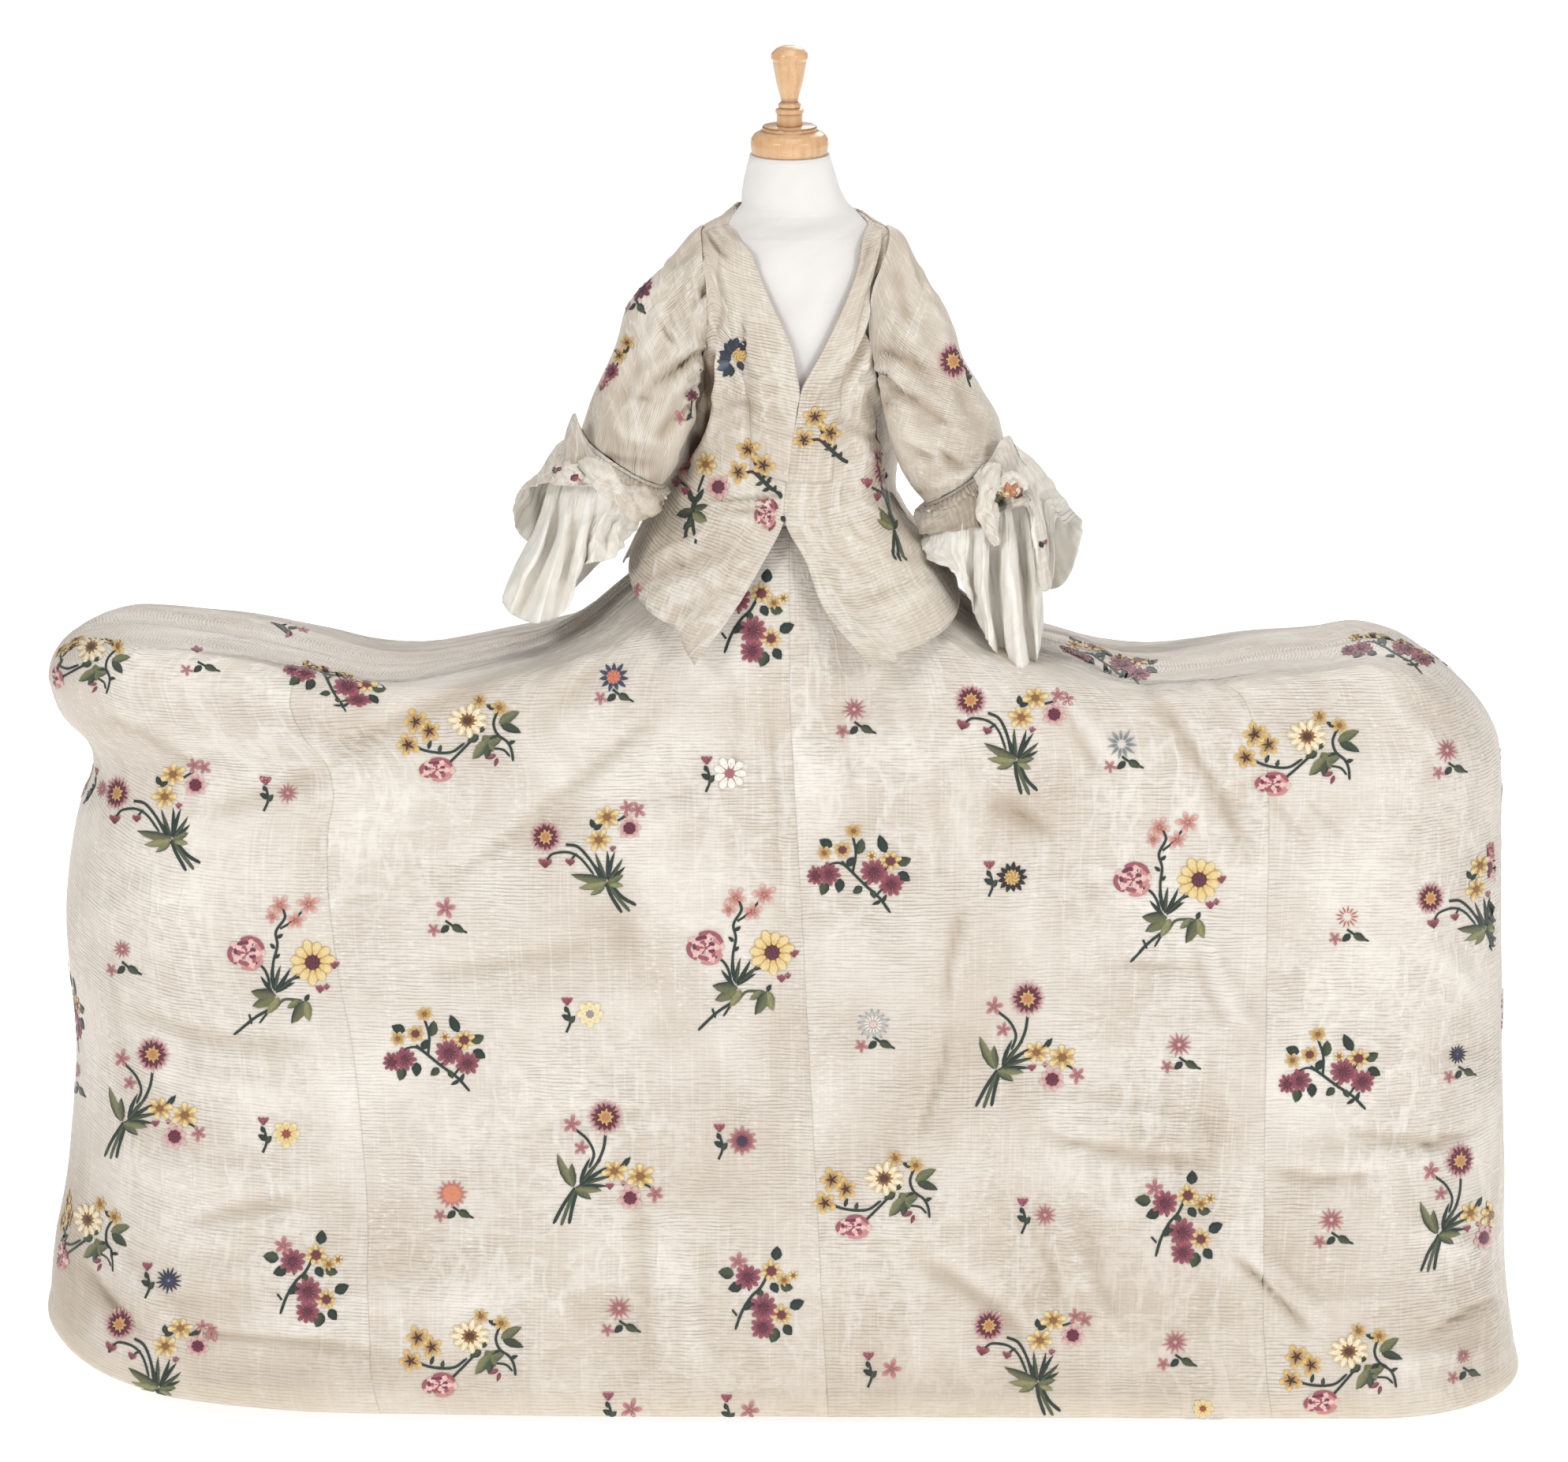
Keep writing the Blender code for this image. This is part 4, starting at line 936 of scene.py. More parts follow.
def undulation(u, v, seed):
    """Slight unevenness of hand-sewn silk at cloth co-ordinates u and v in metres."""
    return 0.001 * (
        1.0 * noise(u / 0.115, v / 0.150, seed)
        + 0.45 * noise(u / 0.047, v / 0.060, seed + 1)
        + 0.16 * noise(u / 0.020, v / 0.016, seed + 2)
    )


# ---------------------------------------------------------------- fine surfaces

def refine(grid, rows, columns, closed=False):
    """Smooth finer grid through a coarse grid's points."""
    if closed:
        grid = np.concatenate([grid[:, -3:], grid, grid[:, :4]], axis=1)

    def along(values, places):
        slope = np.gradient(values, axis=0)
        low = np.clip(np.floor(places).astype(int), 0, len(values) - 2)
        t = (places - low)[:, None, None]
        start = (1 + 2 * t) * (1 - t) ** 2 * values[low] + t * (1 - t) ** 2 * slope[low]
        return start + t**2 * (3 - 2 * t) * values[low + 1] - t**2 * (1 - t) * slope[low + 1]

    finer = along(grid, np.linspace(0, len(grid) - 1, rows))
    turned = finer.transpose(1, 0, 2)
    if closed:
        places = 3 + np.arange(columns) * (grid.shape[1] - 7) / columns
    else:
        places = np.linspace(0, grid.shape[1] - 1, columns)
    return along(turned, places).transpose(1, 0, 2)


def lengths(grid, axis):
    """Distance run along an axis of a grid of points, from its start."""
    step = np.linalg.norm(np.diff(grid, axis=axis), axis=-1)
    first = np.zeros_like(np.take(step, [0], axis=axis))
    return np.concatenate([first, np.cumsum(step, axis=axis)], axis=axis)


def cloth_map(grid, row=0, column=0):
    """Cloth co-ordinates of a grid in metres: across from a column, and up from a row."""
    across = lengths(grid, 1)
    down = lengths(grid, 0)
    return np.stack([across - across[:, column : column + 1], down[row : row + 1] - down], -1)


def normals(grid, closed=False):
    """Unit normals of a grid whose rows run down and whose columns run to the right, seen from outside."""
    down = np.gradient(grid, axis=0)
    if closed:
        across = np.roll(grid, -1, axis=1) - np.roll(grid, 1, axis=1)
    else:
        across = np.gradient(grid, axis=1)
    normal = np.cross(down, across)
    return normal / np.maximum(np.linalg.norm(normal, axis=-1, keepdims=True), 1e-12)


def shell(name, grid, places, finish, closed=False, thickness=0.0011, shade=None, lining=None):
    """A thin wall of cloth whose outer face is the grid, with its cloth co-ordinates as UVs. Rows run down
    and columns run to the right, seen from outside. The grid may be a list of patches: grid, co-ordinates,
    whether it is closed round, and tone."""
    patches = grid if isinstance(grid, list) else [(grid, places, closed, shade)]
    points, faces, uvs, tones, count = [], [], [], [], 0
    for grid, places, closed, shade in patches:
        rows, columns = grid.shape[:2]
        index = count + np.arange(rows * columns).reshape(rows, columns)
        if closed:
            index = np.concatenate([index, index[:, :1]], axis=1)
            seam = places[:, -1:] + (places[:, -1:] - places[:, -2:-1])
            places = np.concatenate([places, seam], axis=1)
        corners = (slice(None, -1), slice(1, None))
        pick = [(0, 0), (1, 0), (1, 1), (0, 1)]
        faces.append(np.stack([index[corners[i], corners[j]] for i, j in pick], -1).reshape(-1, 4))
        uvs.append(np.stack([places[corners[i], corners[j]] for i, j in pick], -2).reshape(-1, 2))
        points.append(grid.reshape(-1, 3))
        tones.append(np.zeros(rows * columns) if shade is None else shade.ravel())
        count += rows * columns
    mesh = bpy.data.meshes.new(name)
    mesh.from_pydata(np.concatenate(points).tolist(), [], np.concatenate(faces).tolist())
    mesh.uv_layers.new(name="cloth").data.foreach_set("uv", np.concatenate(uvs).ravel())
    mesh.attributes.new("tone", "FLOAT", "POINT").data.foreach_set("value", np.concatenate(tones))
    mesh.shade_smooth()
    mesh.materials.append(finish)
    made = bpy.data.objects.new(name, mesh)
    bpy.context.scene.collection.objects.link(made)
    wall = made.modifiers.new("wall", "SOLIDIFY")
    wall.thickness = thickness
    wall.offset = -1
    if lining:
        mesh.materials.append(lining)
        wall.material_offset = 1
    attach(made, "root")
    return made


def takes_place(piece, node, slot, **sheet):
    """The piece takes the place of its solid, which is hidden. Its slot, cut and what it rests on are not
    used.
    """
    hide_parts(node)
    return piece


def stains_and_painted_light(picture):
    """Tone of the silk: over 0 for soiling, brown fading and painted shadow, and below 0 for painted light.
    """
    total = np.zeros(picture.shape[:-1])
    for x, y, wide, high, strength in zip(*STAINS_AND_PAINTED_LIGHT.values()):
        off = ((picture[..., 0] - x) / wide) ** 2 + ((picture[..., 1] - y) / high) ** 2
        total += strength * np.exp(-off)
    return total


# Over 0: stains and soiling, and painted shadow at the armpits and the right sleeve's end. Below 0: painted
# light.
STAINS_AND_PAINTED_LIGHT = table("""
    x y wide high strength
    790 1190 16 28 0.55
    745 1165 45 18 0.25
    860 1310 30 40 0.25
    1090 1280 60 60 0.20
    900 1500 120 60 0.18
    1300 1030 50 30 0.28
    1540 1180 40 60 0.20
    1120 905 80 30 0.30
    700 870 120 40 0.25
    200 1650 120 40 0.35
    80 1600 30 120 0.45
    1860 1690 70 60 0.40
    1250 1760 300 30 0.30
    400 1740 250 26 0.35
    1130 1450 60 60 0.20
    1445 1440 90 30 0.20
    985 300 40 60 0.20
    1150 330 50 40 0.30
    905 300 40 30 0.25
    1185 660 60 40 0.45
    1200 1230 150 150 0.18
    660 1220 150 120 -0.12
    895 482 7 40 1.0
    878 566 9 34 0.9
    1124 512 7 11 0.8
    1166 624 15 7 0.6
    1430 1640 200 110 0.22
    930 1700 220 90 0.16
    330 1130 200 170 -0.14
    650 1330 150 90 -0.10
    1670 1250 150 240 -0.10
    820 510 70 60 0.16
    960 520 60 90 0.08
    900 720 70 50 0.10
    1150 760 60 60 -0.16
    1185 420 50 60 -0.10
""")


# ---------------------------------------------------------------- materials

def srgb(red, green, blue):
    """Linear colour of an sRGB colour in steps of 255."""
    values = np.array([red, green, blue]) / 255
    return [*np.where(values <= 0.04045, values / 12.92, ((values + 0.055) / 1.055) ** 2.4).tolist(), 1.0]


class Nodes:
    """Short hand for building a material's nodes."""

    def __init__(self, name, roughness, specular=0.5, sheen=0.0):
        self.material = bpy.data.materials.new(name)
        self.material.use_nodes = True
        self.tree = self.material.node_tree
        self.shader = self.tree.nodes["Principled BSDF"]
        self.shader.inputs["Roughness"].default_value = roughness
        self.shader.inputs["Specular IOR Level"].default_value = specular
        self.shader.inputs["Sheen Weight"].default_value = sheen
        self.shader.inputs["Sheen Roughness"].default_value = 0.5

    def cloth_place(self):
        """Cloth co-ordinates in metres."""
        made = self.tree.nodes.new("ShaderNodeUVMap")
        made.uv_map = "cloth"
        return made.outputs[0]

    def painted(self, name, output="Fac"):
        """Value or colour that the mesh carries at its points."""
        made = self.tree.nodes.new("ShaderNodeAttribute")
        made.attribute_name = name
        return made.outputs[output]

    def node(self, kind, **inputs):
        made = self.tree.nodes.new("ShaderNode" + kind)
        for name, value in inputs.items():
            self.put(made.inputs[name.replace("_", " ")], value)
        return made

    def put(self, socket, value):
        if isinstance(value, bpy.types.NodeSocket):
            self.tree.links.new(value, socket)
        else:
            socket.default_value = value

    def math(self, operation, *values):
        made = self.tree.nodes.new("ShaderNodeMath")
        made.operation = operation
        for socket, value in zip(made.inputs, values):
            self.put(socket, value)
        return made.outputs[0]

    def ramp(self, value, *stops):
        made = self.tree.nodes.new("ShaderNodeValToRGB")
        self.put(made.inputs[0], value)
        elements = made.color_ramp.elements
        while len(elements) < len(stops):
            elements.new(0.5)
        for element, (place, level) in zip(elements, stops):
            element.position = place
            element.color = level if isinstance(level, list) else (level, level, level, 1)
        return made.outputs[0]

    def mix(self, share, first, second, how="MIX"):
        made = self.tree.nodes.new("ShaderNodeMix")
        made.data_type = "RGBA"
        made.blend_type = how
        self.put(made.inputs["Factor"], share)
        self.put(made.inputs[6], first)
        self.put(made.inputs[7], second)
        return made.outputs[2]

    def grain(self, place, across, up, detail=2.0, offset=0.0):
        """Noise with so many spots a metre across and up the cloth."""
        scaled = self.node("VectorMath")
        scaled.operation = "MULTIPLY_ADD"
        self.put(scaled.inputs[0], place)
        scaled.inputs[1].default_value = (across, up, 1)
        scaled.inputs[2].default_value = (offset, offset * 0.7, 0)
        found = self.node("TexNoise", Vector=scaled.outputs[0], Scale=1.0, Detail=detail, Roughness=0.55)
        return found.outputs[0]

    def spots(self, place, across, up, detail, offset, *stops):
        """Noise, sharpened or coloured by a ramp."""
        return self.ramp(self.grain(place, across, up, detail, offset), *stops)

    def finish(self, colour, height=None, depth=0.0003, roughness=None, normal=None):
        self.put(self.shader.inputs["Base Color"], colour)
        if roughness is not None:
            self.put(self.shader.inputs["Roughness"], roughness)
        if height is not None:
            bump = self.node("Bump", Strength=1.0, Distance=depth, Height=height)
            if normal is not None:
                self.put(bump.inputs["Normal"], normal)
            self.put(self.shader.inputs["Normal"], bump.outputs[0])
        return self.material


RIB, SLEEVE_RIB = 0.0041, 0.0027  # from each thick thread to the next
SKIRT_GROUND = (204, 192, 178), (217, 208, 196), (234, 228, 219)  # in the darker, middling and paler patches
JACKET_GROUND = (197, 184, 167), (209, 198, 182), (222, 213, 199)


def ribbed_silk(name, pitch, upright=False, strength=1.0, hem=False, rumpled=1.0, ground=SKIRT_GROUND):
    """Ivory silk with a thick thread at every pitch, which leaves a thin broken shadow line beside it. The
    mesh's tone darkens it above 0 for soiling and painted shade, and to a dark brown painted shade from 0.72.
    Below 0 the tone pales it, mostly as painted light."""
    made = Nodes(name, 0.62, 0.28, 0.12)
    place = made.cloth_place()
    split = made.node("SeparateXYZ", Vector=place)
    across, up = split.outputs[0], split.outputs[1]
    if upright:
        across, up = up, across
        place = made.node("CombineXYZ", X=across, Y=up).outputs[0]
    wander = made.grain(place, 18, 45, 2.0)
    phase = made.math("ADD", made.math("DIVIDE", up, pitch), made.math("MULTIPLY", wander, 1.7))
    rib = made.math("FRACT", phase)
    groove = made.ramp(rib, (0.0, 1.0), (0.12, 0.95), (0.36, 0.0), (0.82, 0.0), (1.0, 1.0))
    broken = made.spots(place, 40, 0.8 / pitch, 2.0, 7.0, (0.34, 0.10), (0.52, 1.0))
    clumps = made.spots(place, 6, 9, 3.0, 3.0, (0.34, 0.30), (0.62, 1.0))
    line = made.math("MULTIPLY", made.math("MULTIPLY", groove, broken), clumps)
    patches = made.grain(place, 6, 5, 3.0, 11.0)
    ground = made.ramp(patches, *zip((0.28, 0.50, 0.70), (srgb(*level) for level in ground)))
    # pale slubs of the yarn, which also stand for painted glints of the silk's sheen
    slubs = made.spots(place, 120, 330, 2.0, 19.0, (0.52, 0.0), (0.70, 1.0))
    streaks = made.spots(place, 46, 6, 2.0, 23.0, (0.46, 0.0), (0.64, 1.0))
    light = made.math("MULTIPLY", slubs, made.math("ADD", made.math("MULTIPLY", streaks, 0.55), 0.12))
    colour = made.mix(light, ground, srgb(247, 244, 238))
    warps = made.spots(place, 330, 9, 2.0, 31.0, (0.52, 0.0), (0.74, 0.48))
    colour = made.mix(warps, colour, srgb(240, 235, 227))
    weave = made.grain(place, 800, 800, 1.0, 29.0)
    colour = made.mix(made.ramp(weave, (0.30, 0.20), (0.60, 0.0)), colour, srgb(178, 164, 146))
    colour = made.mix(made.math("MULTIPLY", line, 0.52 * strength), colour, srgb(122, 106, 90))
    upright_folds = made.spots(place, 22, 8, 3.0, 41.0, (0.45, 0.0), (0.50, 1.0), (0.55, 0.0))
    level_folds = made.spots(place, 9, 19, 3.0, 47.0, (0.46, 0.0), (0.50, 0.8), (0.54, 0.0))
    crumpled = made.spots(place, 4, 3, 2.0, 53.0, (0.40, 0.15), (0.62, 1.0))
    folds = made.math("MULTIPLY", made.math("MAXIMUM", upright_folds, level_folds), crumpled)
    # painted highlight along the fine creases, besides their bump
    colour = made.mix(made.math("MULTIPLY", folds, 0.40), colour, srgb(246, 242, 235))
    tone = made.painted("tone")
    # soiling, and painted shade where the tone comes from creases, shadows and shaded folds
    colour = made.mix(made.ramp(tone, (0.0, 0.0), (1.0, 0.85)), colour, srgb(164, 144, 118))
    # dark brown painted shade where the tone is highest: the armpits and the end of a roll
    colour = made.mix(made.ramp(tone, (0.72, 0.0), (0.98, 0.9)), colour, srgb(84, 66, 54))
    # painted light, where the tone is below 0
    painted_light_pale = made.ramp(made.math("MULTIPLY", tone, -1.0), (0.0, 0.0), (1.0, 1.0))
    colour = made.mix(painted_light_pale, colour, srgb(238, 233, 222))
    if hem:
        strip = made.ramp(made.math("DIVIDE", split.outputs[1], 0.05), (0.0, 0.85), (0.50, 0.70), (0.58, 0.0))
        colour = made.mix(made.math("MULTIPLY", strip, 0.45), colour, srgb(214, 201, 177))
    height = made.math("SUBTRACT", made.math("MULTIPLY", weave, 0.35), made.math("MULTIPLY", line, 0.9))
    height = made.math("ADD", height, made.math("MULTIPLY", light, 0.5))
    rough = made.ramp(patches, (0.30, 0.70), (0.70, 0.52))
    creased = made.node("Bump", Strength=1.0, Distance=0.0010 * rumpled, Height=folds)
    return made.finish(colour, height, 0.00035, rough, creased.outputs[0])


def plain_linen():
    """White linen with a fine weave, slightly grey in patches."""
    made = Nodes("white_linen", 0.78, 0.20, 0.10)
    place = made.cloth_place()
    greys = (0.25, srgb(224, 219, 207)), (0.5, srgb(238, 234, 225)), (0.75, srgb(247, 245, 239))
    colour = made.spots(place, 26, 20, 3.0, 0.0, *greys)
    threads = made.grain(place, 1400, 900, 1.0, 5.0)
    colour = made.mix(made.ramp(threads, (0.30, 0.20), (0.60, 0.0)), colour, srgb(196, 190, 174))
    fibres = made.grain(place, 300, 60, 2.0, 9.0)
    colour = made.mix(made.ramp(fibres, (0.60, 0.0), (0.75, 0.35)), colour, srgb(250, 249, 245))
    return made.finish(colour, made.math("ADD", threads, fibres), 0.0002)


def jersey():
    """Fine white knit: rows of small stitches with a faint cloud of tone."""
    made = Nodes("white_jersey_fine", 0.85, 0.15, 0.15)
    place = made.cloth_place()
    colour = made.spots(place, 14, 10, 2.0, 0.0, (0.3, srgb(228, 224, 220)), (0.7, srgb(238, 234, 230)))
    split = made.node("SeparateXYZ", Vector=place)
    wale = made.math("SINE", made.math("MULTIPLY", split.outputs[0], 2 * math.pi / 0.0011))
    course = made.math("SINE", made.math("MULTIPLY", split.outputs[1], 2 * math.pi / 0.0009))
    knit = made.math("ADD", made.math("MULTIPLY", wale, 0.5), made.math("MULTIPLY", course, 0.3))
    uneven = made.grain(place, 500, 500, 2.0, 4.0)
    colour = made.mix(made.ramp(uneven, (0.35, 0.12), (0.6, 0.0)), colour, srgb(214, 210, 206))
    return made.finish(colour, made.math("ADD", knit, uneven), 0.00012)


def turned_wood(name):
    """Varnished beech: grain along the axis, short flecks, and dark lines where the profile is cut in."""
    made = Nodes(name, 0.32, 0.5)
    made.shader.inputs["Coat Weight"].default_value = 0.35
    made.shader.inputs["Coat Roughness"].default_value = 0.18
    place = made.node("TexCoord").outputs["Object"]
    grain = made.grain(place, 140, 140, 3.0)
    made.tree.nodes["Vector Math"].inputs[1].default_value = (150, 150, 9)
    flecks = made.node("TexNoise", Vector=place, Scale=900.0, Detail=1.0)
    rings = made.node("TexNoise", Vector=place, Scale=26.0, Detail=2.0)
    low, middle, high = srgb(206, 158, 112), srgb(218, 176, 130), srgb(228, 190, 146)
    colour = made.ramp(grain, (0.25, low), (0.5, middle), (0.8, high))
    colour = made.mix(made.ramp(rings.outputs[0], (0.35, 0.30), (0.6, 0.0)), colour, low)
    colour = made.mix(made.ramp(flecks.outputs[0], (0.30, 0.35), (0.45, 0.0)), colour, srgb(140, 92, 54))
    colour = made.mix(made.painted("tone"), colour, srgb(112, 66, 34))
    return made.finish(colour, grain, 0.0002, made.ramp(grain, (0.3, 0.42), (0.7, 0.28)))


def brocade():
    """Floss silk in the colours of the flowers, with the light broken by its threads."""
    made = Nodes("floss_silk", 0.48, 0.35, 0.15)
    place = made.cloth_place()
    threads = made.grain(place, 1300, 240, 1.0)
    shade = made.ramp(threads, (0.25, 0.72), (0.55, 1.0), (0.75, 1.12))
    mixed = made.mix(1.0, made.painted("dye", "Color"), shade, "MULTIPLY")
    return made.finish(mixed, threads, 0.0004, made.ramp(threads, (0.3, 0.60), (0.7, 0.42)))


def painted_metal():
    """Light grey paint with a slight orange-peel skin and a few dull scuffs."""
    made = Nodes("stand_paint", 0.35, 0.5)
    place = made.node("TexCoord").outputs["Object"]
    skin = made.node("TexNoise", Vector=place, Scale=600.0, Detail=1.0)
    scuffs = made.node("TexNoise", Vector=place, Scale=18.0, Detail=4.0)
    colour = made.ramp(scuffs.outputs[0], (0.35, srgb(206, 206, 203)), (0.7, srgb(222, 222, 219)))
    rough = made.ramp(scuffs.outputs[0], (0.45, 0.30), (0.65, 0.48))
    return made.finish(colour, skin.outputs[0], 0.0001, rough)


SILK = ribbed_silk("silk_ribs_across", RIB, strength=1.05, rumpled=1.1, ground=JACKET_GROUND)
PETTICOAT_SILK = ribbed_silk("silk_ribs_across_hemmed", RIB, hem=True)
SLEEVE_SILK = ribbed_silk(
    "silk_ribs_along", SLEEVE_RIB, upright=True, strength=1.1, rumpled=1.3, ground=JACKET_GROUND
)
LINEN = plain_linen()
JERSEY = jersey()
FLOSS = brocade()


# ---------------------------------------------------------------- petticoat

PANEL_NAMES = ("back", "side_back", "side_front", "front")
PETTICOAT_WIDTH = 0.513  # of the loom
# Length of each loom width from hem to waist, and its area, less what slopes off at the sides.
PETTICOAT_CUT = {
    "front": (1.36, 0.69), "side_front": (1.62, 0.56), "side_back": (1.62, 0.56), "back": (1.36, 0.69)
}
EDGE_SHARES = [0, 0.004, 0.008, 0.013, 0.02, 0.03]  # columns beside a seam, as shares of the width
FRONT_COLUMNS, BACK_COLUMNS = 72, 26  # of each width between those
HEM_ROWS = [0.004, 0.009, 0.03, 0.038]  # rows in the rolled hem, besides the regular ones
PANEL_GAP = 0.000005  # from each panel's edge to the middle of its seam


def seam_girth(index, row):
    """Girth of a seam at a row: whole loom widths, and the front ones lean."""
    half_left, half_right = half_girths()
    whole = (half_left if index < 0 else half_right) / FRONT_WIDTHS
    return index * whole + SEAM_LEAN * (1 - np.clip(row, 0, 1)) * (abs(index) < 2)


def thread_lengths(girth, rows):
    """Length up each thread from the hem. Rows run down from the waist."""
    smooth = smooth_petticoat(girth, rows)
    down = lengths(smooth, 0)
    return down[-1:] - down


CREASE_TONED = 0.004  # metres of depth or height at which a crease has the tones below
# tones of the painted shade in a crease and of the painted highlight on a crest
CREASE_PAINTED_SHADE, CREST_PAINTED_HIGHLIGHT = 0.34, 0.20


def crease_shade_and_highlight(height):
    """Painted shade down in the silk's creases, darkest in the deep ones at the armpits, and a painted
    highlight on their crests.
    """
    deep = np.clip(-height / CREASE_TONED, 0, 3)
    return CREASE_PAINTED_SHADE * deep - CREST_PAINTED_HIGHLIGHT * np.clip(height / CREASE_TONED, 0, 1)


def bell(value, width):
    """A soft rise to 1 where the value is 0."""
    return np.exp(-((value / width) ** 2))


# Strength of the placed creases and of the soft unevenness, for each piece.
PETTICOAT_CREASED, PETTICOAT_UNEVEN = 1.6, 1.5
FRONT_CREASED, FRONT_UNEVEN = 2.0, 0.7
ROBING_CREASED, ROBING_UNEVEN = 1.8, 0.5
SLEEVE_CREASED = 2.3

# Relief of the petticoat's making: height and reach of each, in metres.
CENTRE_RIDGE = 0.0016, 0.010  # at the centre front and back
SEAM_PUCKER = 0.0002, 0.018
HEM_ROLLED_IN = 0.0030, 0.004
HEM_RIPPLE = 0.0007, 0.014
HEM_RIPPLE_AT = 0.028  # up from the edge
HEM_STITCHING = 0.0010, 0.0035
HEM_STITCHING_AT = 0.031
WAIST_GATHERS = 0.0016, 0.016
GATHERED_ABOVE = 2.45  # row from which the top is gathered


def petticoat_relief(points, girth, row, up, share, width):
    """Small folds, the seams' puckers, the ridge at the centre front and back, the rolled hem and the gathers
    under the waistband."""
    creases = PETTICOAT_CREASED * both_faces(points, PETTICOAT_CREASES, (0.0, 40.0))
    relief = creases + PETTICOAT_UNEVEN * undulation(girth, up, 5)
    start, end = share * PETTICOAT_WIDTH, (1 - share) * PETTICOAT_WIDTH
    if width in (-1, 0):
        high, reach = CENTRE_RIDGE
        relief += high * bell(end if width < 0 else start, reach)
    high, reach = SEAM_PUCKER
    pucker = high * noise(girth * 6 + 3 * width, up / 0.011, 9)
    relief += pucker * (bell(start, reach) + bell(end, reach))
    high, reach = HEM_ROLLED_IN
    relief -= high * np.exp(-up / reach)
    high, reach = HEM_RIPPLE
    relief += high * noise(girth / 0.03, up / 0.012, 12) * bell(up - HEM_RIPPLE_AT, reach)
    high, reach = HEM_STITCHING
    relief -= high * bell(up - HEM_STITCHING_AT, reach)
    high, reach = WAIST_GATHERS
    gathers = high * noise(girth / reach, 0 * up, 14) * smooth_step((row - GATHERED_ABOVE) / 0.5)
    # with the creases' painted shade and highlight
    return relief + gathers, crease_shade_and_highlight(creases)


TOP_ROWS, RIM_ROWS, HANGING_ROWS = 30, 12, 88
HEM_GREYED = 0.10, 0.06  # how much darker the silk is at the hem, and how far up that reaches
SKIRT_GREYED = 0.08, 0.34


def build_petticoat():
    hanging = 1 - np.linspace(0, 1, HANGING_ROWS)[1:] ** 0.94
    lying, turning = np.linspace(3, 2, TOP_ROWS), np.linspace(2, 1, RIM_ROWS)[1:]
    rows = np.concatenate([lying, turning, hanging, HEM_ROWS])
    rows = np.sort(rows)[::-1][:, None]
    made = []
    for width in range(-FRONT_WIDTHS, FRONT_WIDTHS):
        side = "left" if width < 0 else "right"
        place = PANEL_NAMES[width + FRONT_WIDTHS] if width < 0 else PANEL_NAMES[FRONT_WIDTHS - 1 - width]
        between = np.linspace(0.042, 0.958, FRONT_COLUMNS if "front" in place else BACK_COLUMNS)
        share = np.concatenate([EDGE_SHARES, between, 1 - np.array(EDGE_SHARES[::-1])])[None, :]
        start, end = seam_girth(width, rows), seam_girth(width + 1, rows)
        start = start + PANEL_GAP / petticoat_frame(start, rows)[2]
        end = end - PANEL_GAP / petticoat_frame(end, rows)[2]
        girth = start + (end - start) * share
        row = np.broadcast_to(rows, girth.shape)
        points, normal, _ = petticoat_frame(girth, row)
        up = thread_lengths(girth, row)
        relief, folded = petticoat_relief(points, girth, row, up, np.broadcast_to(share, girth.shape), width)
        points = points + normal * relief[..., None]
        # stains with painted shadow and light, and the creases' painted shade and highlight
        tone = stains_and_painted_light(project(points)) * (points[..., 1] < 0) + folded
        tone += HEM_GREYED[0] * np.exp(-up / HEM_GREYED[1]) + SKIRT_GREYED[0] * bell(up, SKIRT_GREYED[1])
        name = f"petticoat_{place}_{side}"
        places = np.stack([girth + 0.13 * width, up], -1)
        piece = shell("silk_" + name, points, places, PETTICOAT_SILK, shade=tone)
        length, area = PETTICOAT_CUT[place]
        takes_place(
            piece, name, "ribbed_silk",
            flat=(PETTICOAT_WIDTH, length), held="gathered", rests_on=["linen_waistband"], area=area,
        )
        made.append(piece)
    return made


WAISTBAND_CUT = (0.66, 0.038)
WAISTBAND_TOP, WAISTBAND_FOOT = 1.072, 1.034
WAISTBAND_GATHERS, WAISTBAND_GATHERED, WAISTBAND_GATHERS_TOP = 48, 0.0003, 1.06  # count, height and upper end
WAISTBAND_ROWS = 14
AROUND = 96  # columns round the waistband and the dress form


def build_waistband():
    angle = np.arange(AROUND) * 2 * math.pi / AROUND
    inset = 0.0015 + SEAM_GAP + 0.0006
    rings = []
    for height in np.linspace(WAISTBAND_TOP, WAISTBAND_FOOT, WAISTBAND_ROWS):
        gather = WAISTBAND_GATHERED * np.cos(angle * WAISTBAND_GATHERS) * (height < WAISTBAND_GATHERS_TOP)
        across, deep = WAIST_HALF_WIDTH - inset + gather, WAIST_HALF_DEPTH - inset + gather
        level = np.full_like(angle, height)
        rings.append(np.stack([across * np.sin(angle), -deep * np.cos(angle), level], -1))
    grid = np.array(rings)
    piece = shell("linen_waistband", grid, cloth_map(grid), LINEN, closed=True)
    takes_place(
        piece, "petticoat_waistband", "white_ruffle",
        flat=WAISTBAND_CUT, held="stretched", rests_on=["knit_form"],
    )


# ---------------------------------------------------------------- jacket

WAIST_LEVEL = 1.085
PLEAT_FEET = (0.06, 0.156, 0.444, 0.54)  # the steps of the sack's box pleats, as shares of half the back
JACKET_CUT = (0.25, 0.60), 0.080
ROBING_CUT = {"left": ((0.063, 0.34), 0.0165), "right": ((0.053, 0.33), 0.0125)}
BACK_CUT = (0.78, 0.54), 0.26

